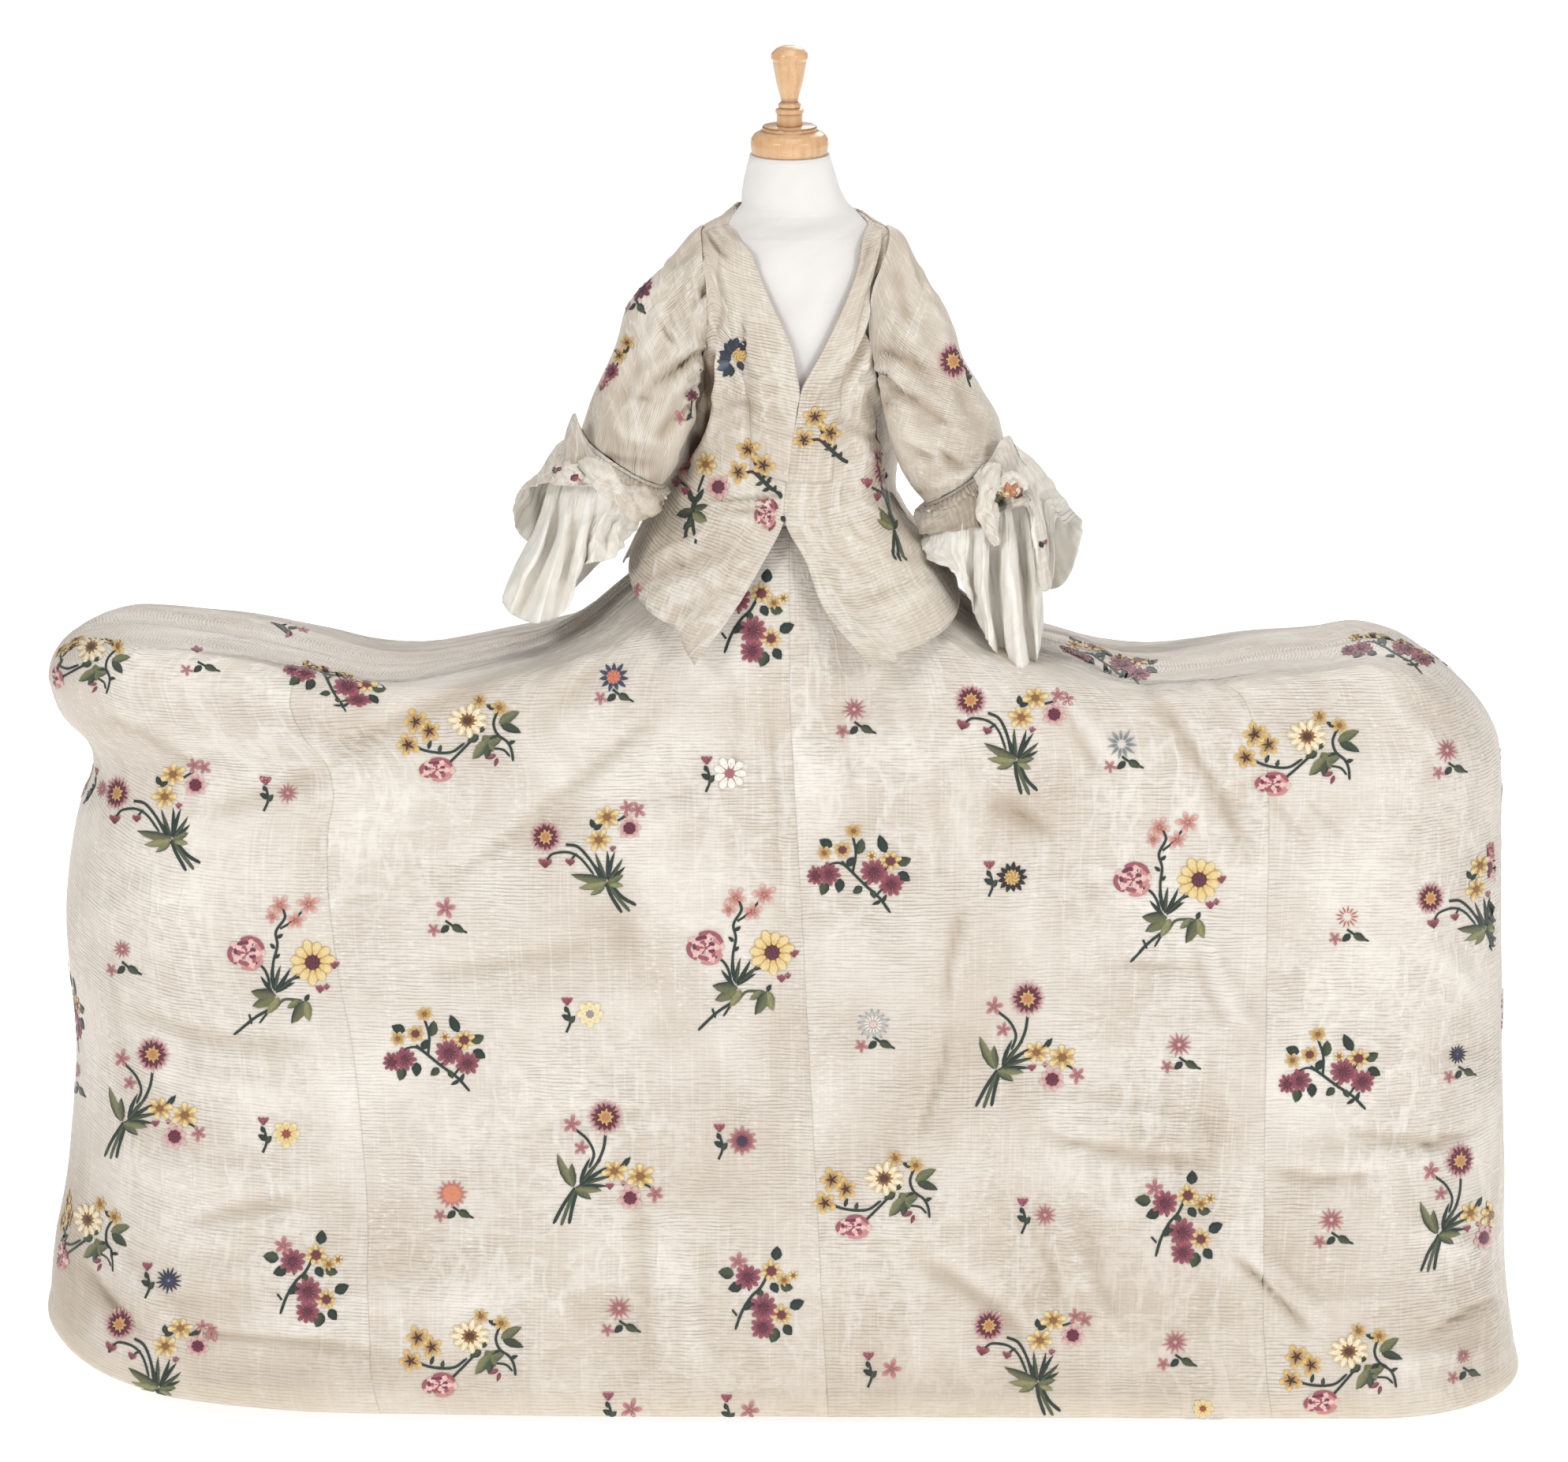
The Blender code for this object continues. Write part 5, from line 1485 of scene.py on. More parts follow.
# Where cloth shifts sideways to lie as in the picture: place and spread there, and how far in metres. The
# armhole seams and the shoulders' ends serve the jacket and the sleeves, and the rest the sleeves alone.
SHIFTS = table("""
    x y wide high shift sleeves_alone
    926 385 42 95 -0.009 0
    914 280 20 34 0.017 0
    822 388 40 62 -0.018 1
    1128 305 26 60 0.012 0
    1106 280 18 34 -0.011 0
    1256 462 45 58 -0.017 1
""")
SHOULDER_LEVEL = 1.376  # cloth above it is lowered by a share of its height over it
WAIST_SHIFT, WAIST_ROW = 0.031, 622  # metres to the left at this row of the picture, right of its column 1045
SKIRT_FORWARD, SKIRT_ROW = 0.036, 600  # metres to the front at this row, right of column 1078
EDGES_CLOSED = 0.0021  # each front edge moves this far to the other where they meet


def facing_out(grid, side):
    """The grid with its columns running to the right as seen from outside."""
    return grid if side > 0 else grid[:, ::-1]


def settled(grid, jacket=True, side=0):
    """Shifts the cloth to where the picture shows the armhole seams, the sides of the waist, the closed front
    edges and the top of the shoulders. The waist's and the edges' shifts are the jacket's alone."""
    grid = grid.copy()
    x, y = np.moveaxis(project(grid), -1, 0)
    before = smooth_step((0.07 - grid[..., 1]) / 0.09)
    for place_x, place_y, wide, high, shift, sleeves_alone in zip(*SHIFTS.values()):
        if not (jacket and sleeves_alone):
            grid[..., 0] += before * shift * bell(x - place_x, wide) * bell(y - place_y, high)
    grid[..., 0] -= WAIST_SHIFT * bell(y - WAIST_ROW, 60) * smooth_step((x - 1045) / 115) * jacket
    grid[..., 1] -= SKIRT_FORWARD * bell(y - SKIRT_ROW, 75) * smooth_step((x - 1078) / 55) * jacket * before
    closed = bell(x - 1013 + 0.08 * (y - 495), 30) * smooth_step((y - 470) / 40) * smooth_step((690 - y) / 70)
    grid[..., 0] -= side * EDGES_CLOSED * closed
    beyond = smooth_step((x - 960) / 80)
    fall = 0.12 + (0.38 + 0.4 * smooth_step(grid[..., 1] / 0.04)) * beyond
    grid[..., 2] -= fall * np.maximum(grid[..., 2] - SHOULDER_LEVEL, 0)
    return grid


FRONT_SHAPE = 136, 80  # rows and columns
ROBING_SHAPE = 96, 20
BACK_SHAPE = 84, 104
FRONT_EDGE_TURN = 0.0010, 0.004  # how deep and how wide the fold of the front edge rolls in
ROBING_EDGE_TURN = 0.0012, 0.0035
STITCHING = 0.0005, 0.005  # relief and reach of the puckers along the robing's stitches
STITCHING_IN, STITCH = 0.006, 0.0035  # in from the edge, and cloth for each radian of the puckers' wave
BOX_PLEAT = 0.004, 0.014  # depth of the sack's pleats, and their reach as a share of half the back


def build_front(name, side, coarse):
    grid = settled(facing_out(refine(coarse, *FRONT_SHAPE), side), side=side)
    waist = int(np.argmin(np.abs(grid[:, FRONT_SHAPE[1] // 2, 2] - WAIST_LEVEL)))
    places = cloth_map(grid, waist, 0 if side > 0 else grid.shape[1] - 1)
    creases = FRONT_CREASED * both_faces(grid, JACKET_CREASES)
    relief = creases + FRONT_UNEVEN * undulation(places[..., 0], places[..., 1], 21 + side)
    relief -= FRONT_EDGE_TURN[0] * bell(places[..., 0], FRONT_EDGE_TURN[1])
    grid = grid + normals(grid) * relief[..., None]
    # stains with painted shadow and light, and the creases' painted shade and highlight
    tone = stains_and_painted_light(project(grid)) + crease_shade_and_highlight(creases)
    piece = shell(f"silk_jacket_front_{name}", grid, places + 3.1 * side, SILK, shade=tone)
    flat, area = JACKET_CUT
    return takes_place(
        piece, f"jacket_front_{name}", "ribbed_silk",
        flat=flat, held="gathered", rests_on=["knit_form"], area=area,
    )


def build_robing(name, side, coarse):
    """Folded strip on the front's inner columns, with a stitched outer edge."""
    above = moved_out(coarse, LAYER_GAP + 0.0015, side)[1:10, :4]
    grid = settled(facing_out(refine(above, *ROBING_SHAPE), side), side=side)
    places = cloth_map(grid, int(np.argmin(np.abs(grid[:, 12, 2] - WAIST_LEVEL))), 0)
    creases = ROBING_CREASED * both_faces(grid, JACKET_CREASES)
    relief = creases + ROBING_UNEVEN * undulation(places[..., 0], places[..., 1], 31 + side)
    outer = places[..., 0] if side < 0 else places[:, -1:, 0] - places[..., 0]
    relief -= ROBING_EDGE_TURN[0] * bell(outer, ROBING_EDGE_TURN[1])
    relief += STITCHING[0] * np.cos(places[..., 1] / STITCH) * bell(outer - STITCHING_IN, STITCHING[1])
    grid = grid + normals(grid) * relief[..., None]
    # stains with painted shadow and light, and the creases' painted shade and highlight
    tone = stains_and_painted_light(project(grid)) + crease_shade_and_highlight(creases)
    piece = shell(f"silk_robing_{name}", grid, places + 5.3 * side, SILK, shade=tone)
    (flat, area), under = ROBING_CUT[name], f"silk_jacket_front_{name}"
    return takes_place(
        piece, f"robing_{name}", "ribbed_silk", flat=flat, held="laid", rests_on=[under], area=area
    )


def build_back():
    columns = BACK_SHAPE[1]
    grid = settled(refine(back_grid()[:, ::-1], *BACK_SHAPE))
    places = cloth_map(grid, 0, columns // 2)
    relief = both_faces(grid, JACKET_CREASES, (0.0, 10.0)) + undulation(places[..., 0], places[..., 1], 41)
    coarse = range(len(BACK_ACROSS))
    reach = np.abs(np.interp(np.linspace(0, coarse[-1], columns), coarse, BACK_ACROSS))
    pleats = sum(bell(reach - foot, BOX_PLEAT[1]) for foot in PLEAT_FEET) * np.ones_like(relief)
    relief -= BOX_PLEAT[0] * pleats
    grid = grid + normals(grid) * relief[..., None]
    # stains with painted shadow and light, and painted shade in the folds of the box pleats
    shade = 0.3 * stains_and_painted_light(project(grid, back=True)) + 0.7 * pleats
    piece = shell("silk_jacket_back", grid, places, SILK, shade=shade)
    flat, area = BACK_CUT
    return takes_place(
        piece, "jacket_back", "ribbed_silk", flat=flat, held="gathered", rests_on=["knit_form"], area=area
    )


def build_jacket():
    made = []
    for name, side in SIDES:
        coarse = front_grid(side)
        made += [build_front(name, side, coarse), build_robing(name, side, coarse)]
    return made + [build_back()]


# ---------------------------------------------------------------- sleeves, cuffs, flounces and ruffles

SLEEVE_CUT = (0.50, 0.29), 0.090
SLEEVE_ROWS, SLEEVE_COLUMNS = 104, 108
SLEEVE_CLOTH_FROM = 0.31  # place in the weave at which the sleeves' cloth starts
HEAD_FORWARD, HEAD_SHARE = 0.62, 0.40  # share of the armhole's depth that the front keeps, down to here
HEAD_GATHERS = 0.0016, 0.10  # height, and the share of the sleeve over which they die away
HEAD_INWARD = 0.0019, 0.06  # the head leans in to the seam
FOOT_GATHERS = 0.0012, 0.05


def build_sleeves():
    made = []
    for name, side in SIDES:
        grid = refine(sleeve_grid(side), SLEEVE_ROWS, SLEEVE_COLUMNS, closed=True)
        angle = np.arange(SLEEVE_COLUMNS) * 2 * math.pi / SLEEVE_COLUMNS
        share = np.linspace(0, 1, SLEEVE_ROWS)[:, None]
        facing = np.clip(np.sin(angle), 0, 1)[None, :] ** 0.5
        forward = grid[:1, :, 1] - grid[..., 1]
        grid[..., 1] += forward * facing * HEAD_FORWARD * (1 - smooth_step(share / HEAD_SHARE))
        grid = facing_out(settled(grid, jacket=False), -side)
        angle = angle if side < 0 else -angle
        places = cloth_map(grid)
        places[..., 1] += SLEEVE_CLOTH_FROM
        creases = SLEEVE_CREASED * both_faces(grid, SLEEVE_CREASES, (6.0, 14.0))
        relief = creases + undulation(places[..., 0], places[..., 1], 51 + side)
        head = np.exp(-share / HEAD_GATHERS[1]) * smooth_step(0.6 + np.cos(angle))[None, :]
        relief += HEAD_GATHERS[0] * noise(angle[None, :] * 5.1, share * 2, 61) * head
        grid[..., 0] -= side * HEAD_INWARD[0] * np.exp(-share / HEAD_INWARD[1])
        foot = np.exp(-(1 - share) / FOOT_GATHERS[1])
        relief += FOOT_GATHERS[0] * noise(angle[None, :] * 6.4, share * 3, 63) * foot
        grid = grid + normals(grid, True) * relief[..., None]
        # stains with painted shadow and light, and the creases' painted shade and highlight
        tone = stains_and_painted_light(project(grid)) + crease_shade_and_highlight(creases)
        piece = shell(f"silk_sleeve_{name}", grid, places, SLEEVE_SILK, closed=True, shade=tone)
        (flat, area), under = SLEEVE_CUT, f"silk_jacket_front_{name}"
        takes_place(
            piece, f"sleeve_{name}", "ribbed_silk", flat=flat, held="gathered", rests_on=[under], area=area
        )
        made.append(piece)
    return made


def in_picture(x, y, deep):
    """Point on the line of sight through a place in the picture, so many millimetres behind the middle."""
    start, _ = sight(AIM_X, AIM_Y)
    right, up = (x - AIM_X) / FOCAL, (AIM_Y - y) / FOCAL
    sin, cos = math.sin(ELEVATION), math.cos(ELEVATION)
    way = np.stack([right, cos + up * sin, -sin + up * cos], -1)
    reach = (0.001 * deep - start.y) / way[:, 1]
    return np.array(start) + way * reach[:, None]


GATHER = 0.0009  # relief of a gather of strength 1
FRILL_WAVES = 0.0038, 0.5  # relief of the large waves, and the share of the fall over which they come in
FRILL_RIPPLES = 0.0016, 0.3


def frill(side, folds, grow, along, shape, gathers):
    """Flounce or ruffle that falls from a ring on the sleeve's end, over its folds half way down, to its
    edge. The gathers have a count, a strength and the share of the fall over which they die away."""
    rows, around = shape
    angle = np.radians(folds["angle"])
    head = elbow_ring(side, angle, grow, along)
    half = in_picture(folds["half_x"], folds["half_y"], folds["half_deep"])
    edge = in_picture(folds["x"], folds["y"], folds["deep"])
    upper = 0.55 * head + 0.45 * half + 0.004 * radial(side, angle)
    lower = 0.5 * half + 0.5 * edge
    grid = refine(np.array([head, upper, half, lower, edge]), rows, around, closed=True)
    turn = (np.arange(around) * 2 * math.pi / around)[None, :]
    share = np.linspace(0, 1, rows)[:, None]
    count, strength, dies = gathers
    gather = np.cos(count * turn + 3 * np.sin(5 * turn) + 3 * share)
    gather = gather + 0.8 * noise(turn * count / 5, share * 3, 71)
    relief = GATHER * gather * strength * np.exp(-share / dies) * (share > 0.01)
    high, from_head = FRILL_WAVES
    waves = high * noise(turn * 6 + 2 * share, share * 4.5, 73 + side) * smooth_step(share / from_head)
    high, from_head = FRILL_RIPPLES
    ripples = high * noise(turn * 15 - 2 * share, share * 9, 75 + side) * smooth_step(share / from_head)
    relief = relief + waves + ripples
    return raised(facing_out(grid, -side), facing_out(relief, -side))


def raised(grid, relief):
    return grid + normals(grid, True) * relief[..., None]


def heading(folds, rows=14, columns=36):
    """The frill's heading, which stands up over its gathers."""
    foot = in_picture(folds["x"], folds["y"], folds["deep"])
    top = in_picture(folds["top_x"], folds["top_y"], folds["top_deep"])
    middle = 0.5 * foot + 0.5 * top
    return refine(np.array([top, middle, foot]), rows, columns)


# Folds of the flounces and ruffles in the order of the angle round the arm, from its outer side through the
# front: places in the picture half way down and at the edge, with millimetres behind the middle of the gown.
FOLDS = {
    "flounce_left": table("""
        angle half_x half_y half_deep x y deep
        0 684 600 -55 656 624 -62
        16 692 598 -84 676 614 -92
        32 703 594 -104 694 611 -106
        46 714 596 -116 708 615 -112
        58 727 594 -120 724 616 -120
        68 741 598 -122 746 616 -118
        80 757 604 -124 764 622 -118
        94 779 620 -118 782 638 -112
        110 800 628 -120 802 648 -110
        138 821 630 -108 818 652 -98
        162 836 630 -86 832 648 -80
        190 842 626 -48 836 643 -46
        228 818 622 0 812 648 5
        258 765 618 14 752 655 18
        286 718 620 6 694 688 8
        312 690 620 -12 664 682 -10
        338 677 610 -34 650 652 -38
    """),
    "ruffle_left": table("""
        angle half_x half_y half_deep x y deep
        0 676 676 -52 636 755 -50
        15 688 682 -92 643 774 -88
        28 698 684 -70 663 786 -80
        42 711 690 -108 683 790 -108
        56 722 694 -84 703 784 -90
        70 738 692 -110 722 767 -102
        82 748 682 -90 734 722 -86
        98 756 674 -112 752 713 -114
        112 770 670 -92 767 711 -94
        132 783 668 -104 784 704 -102
        155 795 660 -82 790 690 -80
        180 812 654 -52 804 674 -50
        215 790 664 -18 786 688 -8
        250 750 682 2 737 738 10
        290 714 686 5 700 772 8
        325 690 682 -16 655 768 -14
    """),
    "flounce_right": table("""
        angle half_x half_y half_deep x y deep
        0 1336 620 -56 1372 660 -62
        14 1328 618 -82 1354 664 -92
        27 1319 624 -98 1338 662 -110
        37 1318 648 -112 1334 740 -118
        45 1308 646 -118 1316 738 -116
        53 1299 622 -116 1306 650 -122
        63 1283 620 -128 1286 644 -130
        71 1268 624 -118 1266 652 -118
        78 1258 630 -120 1258 668 -120
        86 1247 632 -116 1248 672 -114
        94 1236 630 -122 1238 668 -118
        106 1218 640 -112 1224 671 -112
        128 1197 648 -106 1202 674 -104
        154 1174 650 -84 1174 677 -82
        182 1162 648 -50 1161 674 -50
        220 1186 648 -4 1186 676 -2
        256 1236 645 12 1240 692 18
        288 1284 650 8 1306 742 8
        314 1314 650 -8 1346 742 -10
        340 1332 638 -28 1368 700 -34
    """),
    "ruffle_right": table("""
        angle half_x half_y half_deep x y deep
        0 1322 690 -45 1320 748 -42
        15 1320 702 -86 1323 802 -72
        28 1311 715 -114 1317 832 -104
        38 1298 718 -78 1307 843 -90
        50 1284 722 -124 1296 848 -120
        61 1270 722 -112 1284 845 -114
        70 1260 720 -78 1272 837 -88
        80 1248 722 -122 1258 821 -116
        90 1239 722 -112 1246 803 -102
        98 1233 722 -92 1236 780 -88
        106 1226 716 -110 1226 754 -104
        120 1212 702 -108 1212 728 -104
        140 1192 696 -96 1190 716 -92
        160 1175 692 -76 1172 706 -72
        186 1170 688 -45 1167 700 -45
        225 1195 690 0 1192 708 0
        265 1245 690 12 1240 742 15
        310 1290 690 5 1285 800 5
        338 1316 690 -20 1314 780 -16
    """),
}
HEADINGS = {
    "left": table("""
        top_x top_y top_deep x y deep
        722 566 -52 722 596 -58
        716 560 -72 706 594 -80
        718 545 -90 711 600 -104
        727 524 -96 721 598 -116
        732 532 -108 730 603 -122
        741 552 -106 738 598 -112
        751 572 -116 748 606 -124
        764 590 -114 760 602 -118
    """),
    "right": table("""
        top_x top_y top_deep x y deep
        1234 604 -114 1238 614 -118
        1244 592 -120 1246 618 -124
        1254 584 -108 1254 612 -116
        1266 562 -112 1264 612 -124
        1279 552 -100 1276 606 -120
        1286 562 -86 1284 612 -106
        1296 584 -92 1294 604 -104
        1304 590 -72 1306 612 -84
        1300 586 -52 1304 606 -60
    """),
}
# Rolls and knots into which the flounces' headings are drawn up, with radii in millimetres.
ROLLS = {
    "left": (
        table("""
            x y deep radius
            738 587 -114 8
            751 596 -124 13
            767 608 -128 16
            783 623 -128 11
            797 633 -126 15
            814 639 -120 18
            828 640 -106 12
            832 640 -96 4
        """),
        table("""
            x y deep radius
            708 594 -112 5
            718 598 -124 10
            728 602 -126 10
            735 606 -116 5
        """),
    ),
    "right": (
        table("""
            x y deep radius
            1263 592 -118 9
            1257 606 -128 13
            1252 624 -130 10
            1252 646 -130 12
            1256 668 -128 9
            1262 690 -120 4
        """),
        table("""
            x y deep radius
            1262 612 -116 8
            1274 614 -128 13
            1287 612 -126 13
            1298 616 -114 7
        """),
    ),
}


ROLL_FOLDED, ROLL_UNEVEN, ROLL_PINCHED = 0.13, 0.16, 0.20  # relief of its folds, as shares of the radius


def roll(folds, seed, along=44, around=34):
    """A puffed roll of cloth along a line, drawn in by uneven twisted folds."""
    places = in_picture(folds["x"], folds["y"], folds["deep"])
    fine = refine(np.stack([places, places], 1), along, 2)[:, 0]
    radius = refine(np.stack([folds["radius"]] * 2, 1)[..., None], along, 2)[:, :1, 0] * 0.001
    way = np.gradient(fine, axis=0)
    way /= np.linalg.norm(way, axis=1, keepdims=True)
    out = np.cross(way, [0.0, -1.0, 0.0])
    out /= np.linalg.norm(out, axis=1, keepdims=True)
    ahead = np.cross(out, way)
    turn = np.arange(around)[None, :] * 2 * math.pi / around
    share = np.linspace(0, 1, along)[:, None]
    wave = np.cos(4 * turn + 9 * share + seed) + 0.6 * np.cos(7 * turn - 13 * share)
    uneven = 1 + ROLL_FOLDED * wave + ROLL_UNEVEN * noise(turn * 2.2 + 9 * share, share * 8, seed)
    uneven -= ROLL_PINCHED * bell(np.sin(1.5 * turn + 11 * share), 0.16)
    reach = (radius * uneven)[..., None]
    turn = turn[..., None]
    return fine[:, None] + reach * (np.cos(turn) * out[:, None] + np.sin(turn) * ahead[:, None])


FLOUNCE_CUT = (0.64, 0.15), 0.055
RUFFLE_CUT = (0.66, 0.19), 0.058
CUFF_CUT = (0.46, 0.028)
FLOUNCE_SHAPE = 34, 240  # rows and columns
RUFFLE_SHAPE = 40, 256
FLOUNCE_GATHERS = 58, 1.5, 1.2  # count, strength and where they die away
RUFFLE_GATHERS = 64, 1.1, 0.45
CUFF_GATHERS, CUFF_GATHERED = 44, 0.0011  # count and relief
CUFF_CLEAR, CUFF_SWELL = 0.0010, 0.004  # off the sleeve's ring at the edges, and further in the middle
CUFF_ROWS, CUFF_COLUMNS = 18, 176


def flounce_tone(side, rows, columns):
    """Painted shade under the arm, paler silk before it, and on the right painted shade and highlight along
    the gathers.
    """
    angle = np.linspace(0, 360, columns, endpoint=False)
    turn = np.radians(angle)
    inner = bell(angle - 175, 62) if side > 0 else bell(angle - 178, 26)
    band = bell(angle - 160, 60) * (side > 0)
    apart = (angle - (88 if side < 0 else 8) + 180) % 360 - 180
    pale = bell(apart, 26 if side < 0 else 76)
    gathers = np.cos(turn * FLOUNCE_GATHERS[0] + 3 * np.sin(5 * turn) + 3 * np.linspace(0, 1, rows)[:, None])
    # painted shade under the arm and in the gathers' troughs, painted highlight on their ridges
    return facing_out(0.62 * inner - 0.75 * pale - 0.22 * band * gathers, -side)


def build_flounce(name, side):
    grid = frill(side, FOLDS["flounce_" + name], 0.0036, 0.004, FLOUNCE_SHAPE, FLOUNCE_GATHERS)
    top = heading(HEADINGS[name])
    patches = [
        (grid, cloth_map(grid), True, flounce_tone(side, *FLOUNCE_SHAPE)),
        (top, cloth_map(top), False, np.full(top.shape[:2], 0.16 if side < 0 else -0.2)),
    ]
    for index, folds in enumerate(ROLLS[name]):
        puffed = roll(folds, 81 + 4 * index)
        # painted shade towards the end of the left long roll; every roll is also made paler
        end_painted_shade = 1.5 * np.linspace(0, 1, puffed.shape[0])[:, None] ** 2 * (side < 0) * (index == 0)
        patches.append((puffed, cloth_map(puffed), True, np.broadcast_to(end_painted_shade - 0.34, puffed.shape[:2])))
    piece = shell(f"silk_flounce_{name}", patches, None, SLEEVE_SILK, lining=LINEN)
    (flat, area), under = FLOUNCE_CUT, f"gathered_cuff_{name}"
    return takes_place(
        piece, f"flounce_{name}", "ribbed_silk", flat=flat, held="gathered", rests_on=[under], area=area
    )


def build_ruffle(name, side):
    grid = frill(side, FOLDS["ruffle_" + name], -0.0012, CUFF_DEPTH + 0.0006, RUFFLE_SHAPE, RUFFLE_GATHERS)
    piece = shell(f"linen_ruffle_{name}", grid, cloth_map(grid), LINEN, closed=True, thickness=0.0008)
    (flat, area), under = RUFFLE_CUT, f"gathered_cuff_{name}"
    return takes_place(
        piece, f"ruffle_{name}", "white_ruffle", flat=flat, held="gathered", rests_on=[under], area=area
    )


def build_cuff(name, side):
    angle = np.arange(CUFF_COLUMNS) * 2 * math.pi / CUFF_COLUMNS
    rings = []
    for share in np.linspace(0, 1, CUFF_ROWS):
        swell = math.sin(math.pi * share)
        wave = np.cos(angle * CUFF_GATHERS + 2.0 * np.sin(3 * angle) + 0.6 * share)
        gather = CUFF_GATHERED * wave * (0.4 + swell)
        ring = elbow_ring(side, angle, 0, 0.0006 + share * CUFF_DEPTH)
        rings.append(ring + radial(side, angle) * (CUFF_CLEAR + CUFF_SWELL * swell + gather)[:, None])
    grid = facing_out(np.array(rings), -side)
    piece = shell(f"gathered_cuff_{name}", grid, cloth_map(grid), SLEEVE_SILK, closed=True)
    under = f"silk_sleeve_{name}"
    return takes_place(piece, f"cuff_{name}", "ribbed_silk", flat=CUFF_CUT, held="gathered", rests_on=[under])


def build_frills():
    return [build(name, side) for name, side in SIDES for build in (build_flounce, build_ruffle, build_cuff)]


# ---------------------------------------------------------------- dress form

NARROWED = 0.007  # of the left shoulder under the cloth, at a height and over a spread
NARROWED_AT, NARROWED_OVER = 1.372, 0.03
FORM_ROWS = 72


def build_form():
    angle = math.pi + np.arange(AROUND) * 2 * math.pi / AROUND
    side, front = np.sin(angle), np.cos(angle)
    right, ahead = 0.5 + 0.5 * np.tanh(side / 0.5), 0.5 + 0.5 * np.tanh(front / 0.12)
    rings = []
    for height in np.linspace(FORM["height"][-1], FORM["height"][0], FORM_ROWS):
        half = sided(FORM, "height", height, side, 0.5)
        half = half - NARROWED * (1 - right) * bell(height - NARROWED_AT, NARROWED_OVER)
        depth = at(FORM, "height", "back", height) * (1 - ahead) + at(FORM, "height", "front", height) * ahead
        rings.append(np.stack([half * side, -depth * front, np.full_like(angle, height)], -1))
    grid = np.array(rings)
    narrower = [np.array([share, share, 1]) for share in (0.001, 0.6)]
    top, foot = [grid[:1] * share for share in narrower], [grid[-1:] * share for share in narrower[::-1]]
    grid = np.concatenate([*top, grid, *foot])
    piece = shell("knit_form", grid, cloth_map(grid), JERSEY, closed=True)
    piece.modifiers.clear()
    takes_place(piece, "form_body", "white_jersey")


# Dark lines cut in by the turner.
FINIAL_LINES = table("""
    height spread strength
    1.5300 0.0006 0.5
    1.5063 0.0010 0.7
    1.4995 0.0008 0.6
    1.4925 0.0007 0.5
""")
CAP_LINES = table("""
    height spread strength
    1.4775 0.0010 0.8
    1.4735 0.0008 0.7
""")
AXIS_RADIUS = 0.0002  # of the small holes that close the ends
WORN_EDGE = 0.0004


def build_turned(name, node, profile, lines, around=72, steps=5):
    """A turned piece through the solid's profile, with the sharp corners of a turner's cuts kept."""
    corners = np.stack([profile["radius"], profile["height"]], -1)
    path = [(AXIS_RADIUS, corners[0][1])]
    for first, second in zip(corners[:-1], corners[1:]):
        path += [first + (second - first) * share for share in np.linspace(0, 1, steps)[:-1]]
    path = np.array([*path, corners[-1], (AXIS_RADIUS, corners[-1][1])])
    angle = np.arange(around) * 2 * math.pi / around
    radius, height = path[:, :1], np.broadcast_to(path[:, 1:], (len(path), around))
    grid = np.stack([radius * np.sin(angle), -radius * np.cos(angle), height], -1)
    tone = np.zeros(grid.shape[:2])
    for level, spread, strength in zip(*lines.values()):
        tone += strength * bell(grid[..., 2] - level, spread)
    piece = shell(name, grid, cloth_map(grid), turned_wood(name), closed=True, shade=tone)
    piece.modifiers.clear()
    bevel = piece.modifiers.new("edges", "BEVEL")
    bevel.width = WORN_EDGE
    bevel.limit_method = "ANGLE"
    takes_place(piece, node, "turned_wood")


# ---------------------------------------------------------------- flowers brocaded in floss silk

SPRIG = 0.0009  # metres for each unit of the charts
LIFT = 0.0006  # of the lowest threads over the ground
LAYER = 0.00016  # from each layer of threads to the next
CROWN = 0.00055  # of a satin stitch over its edges
CROWNED_WIDTH = 6  # in the charts' units: narrower stitches are flatter


def entries(text):
    """Rows of a text: the words before each line's colon, and the groups of values after it."""
    for line in text.strip().splitlines():
        words, groups = line.split(":")
        yield words.split(), [group.split() for group in groups.split(",")]


def numbers(group):
    return [float(value) for value in group]


DYES = {
    name: srgb(*numbers(values))[:3]
    for (name,), (values,) in entries("""
        white: 242 236 226
        pale_pink: 224 188 180
        pink: 200 138 136
        rose: 160 88 98
        maroon: 118 54 76
        dark_red: 84 38 46
        coral: 190 104 84
        salmon: 214 136 104
        yellow: 222 190 118
        pale_yellow: 234 217 170
        mustard: 166 122 74
        brown: 100 66 46
        dark_brown: 68 46 46
        green: 44 58 52
        mid_green: 80 90 66
        lime: 144 143 100
        slate: 60 68 92
        blue_grey: 110 122 136
        grey: 156 160 156
        mauve: 146 122 136
        black: 46 42 46
    """)
}

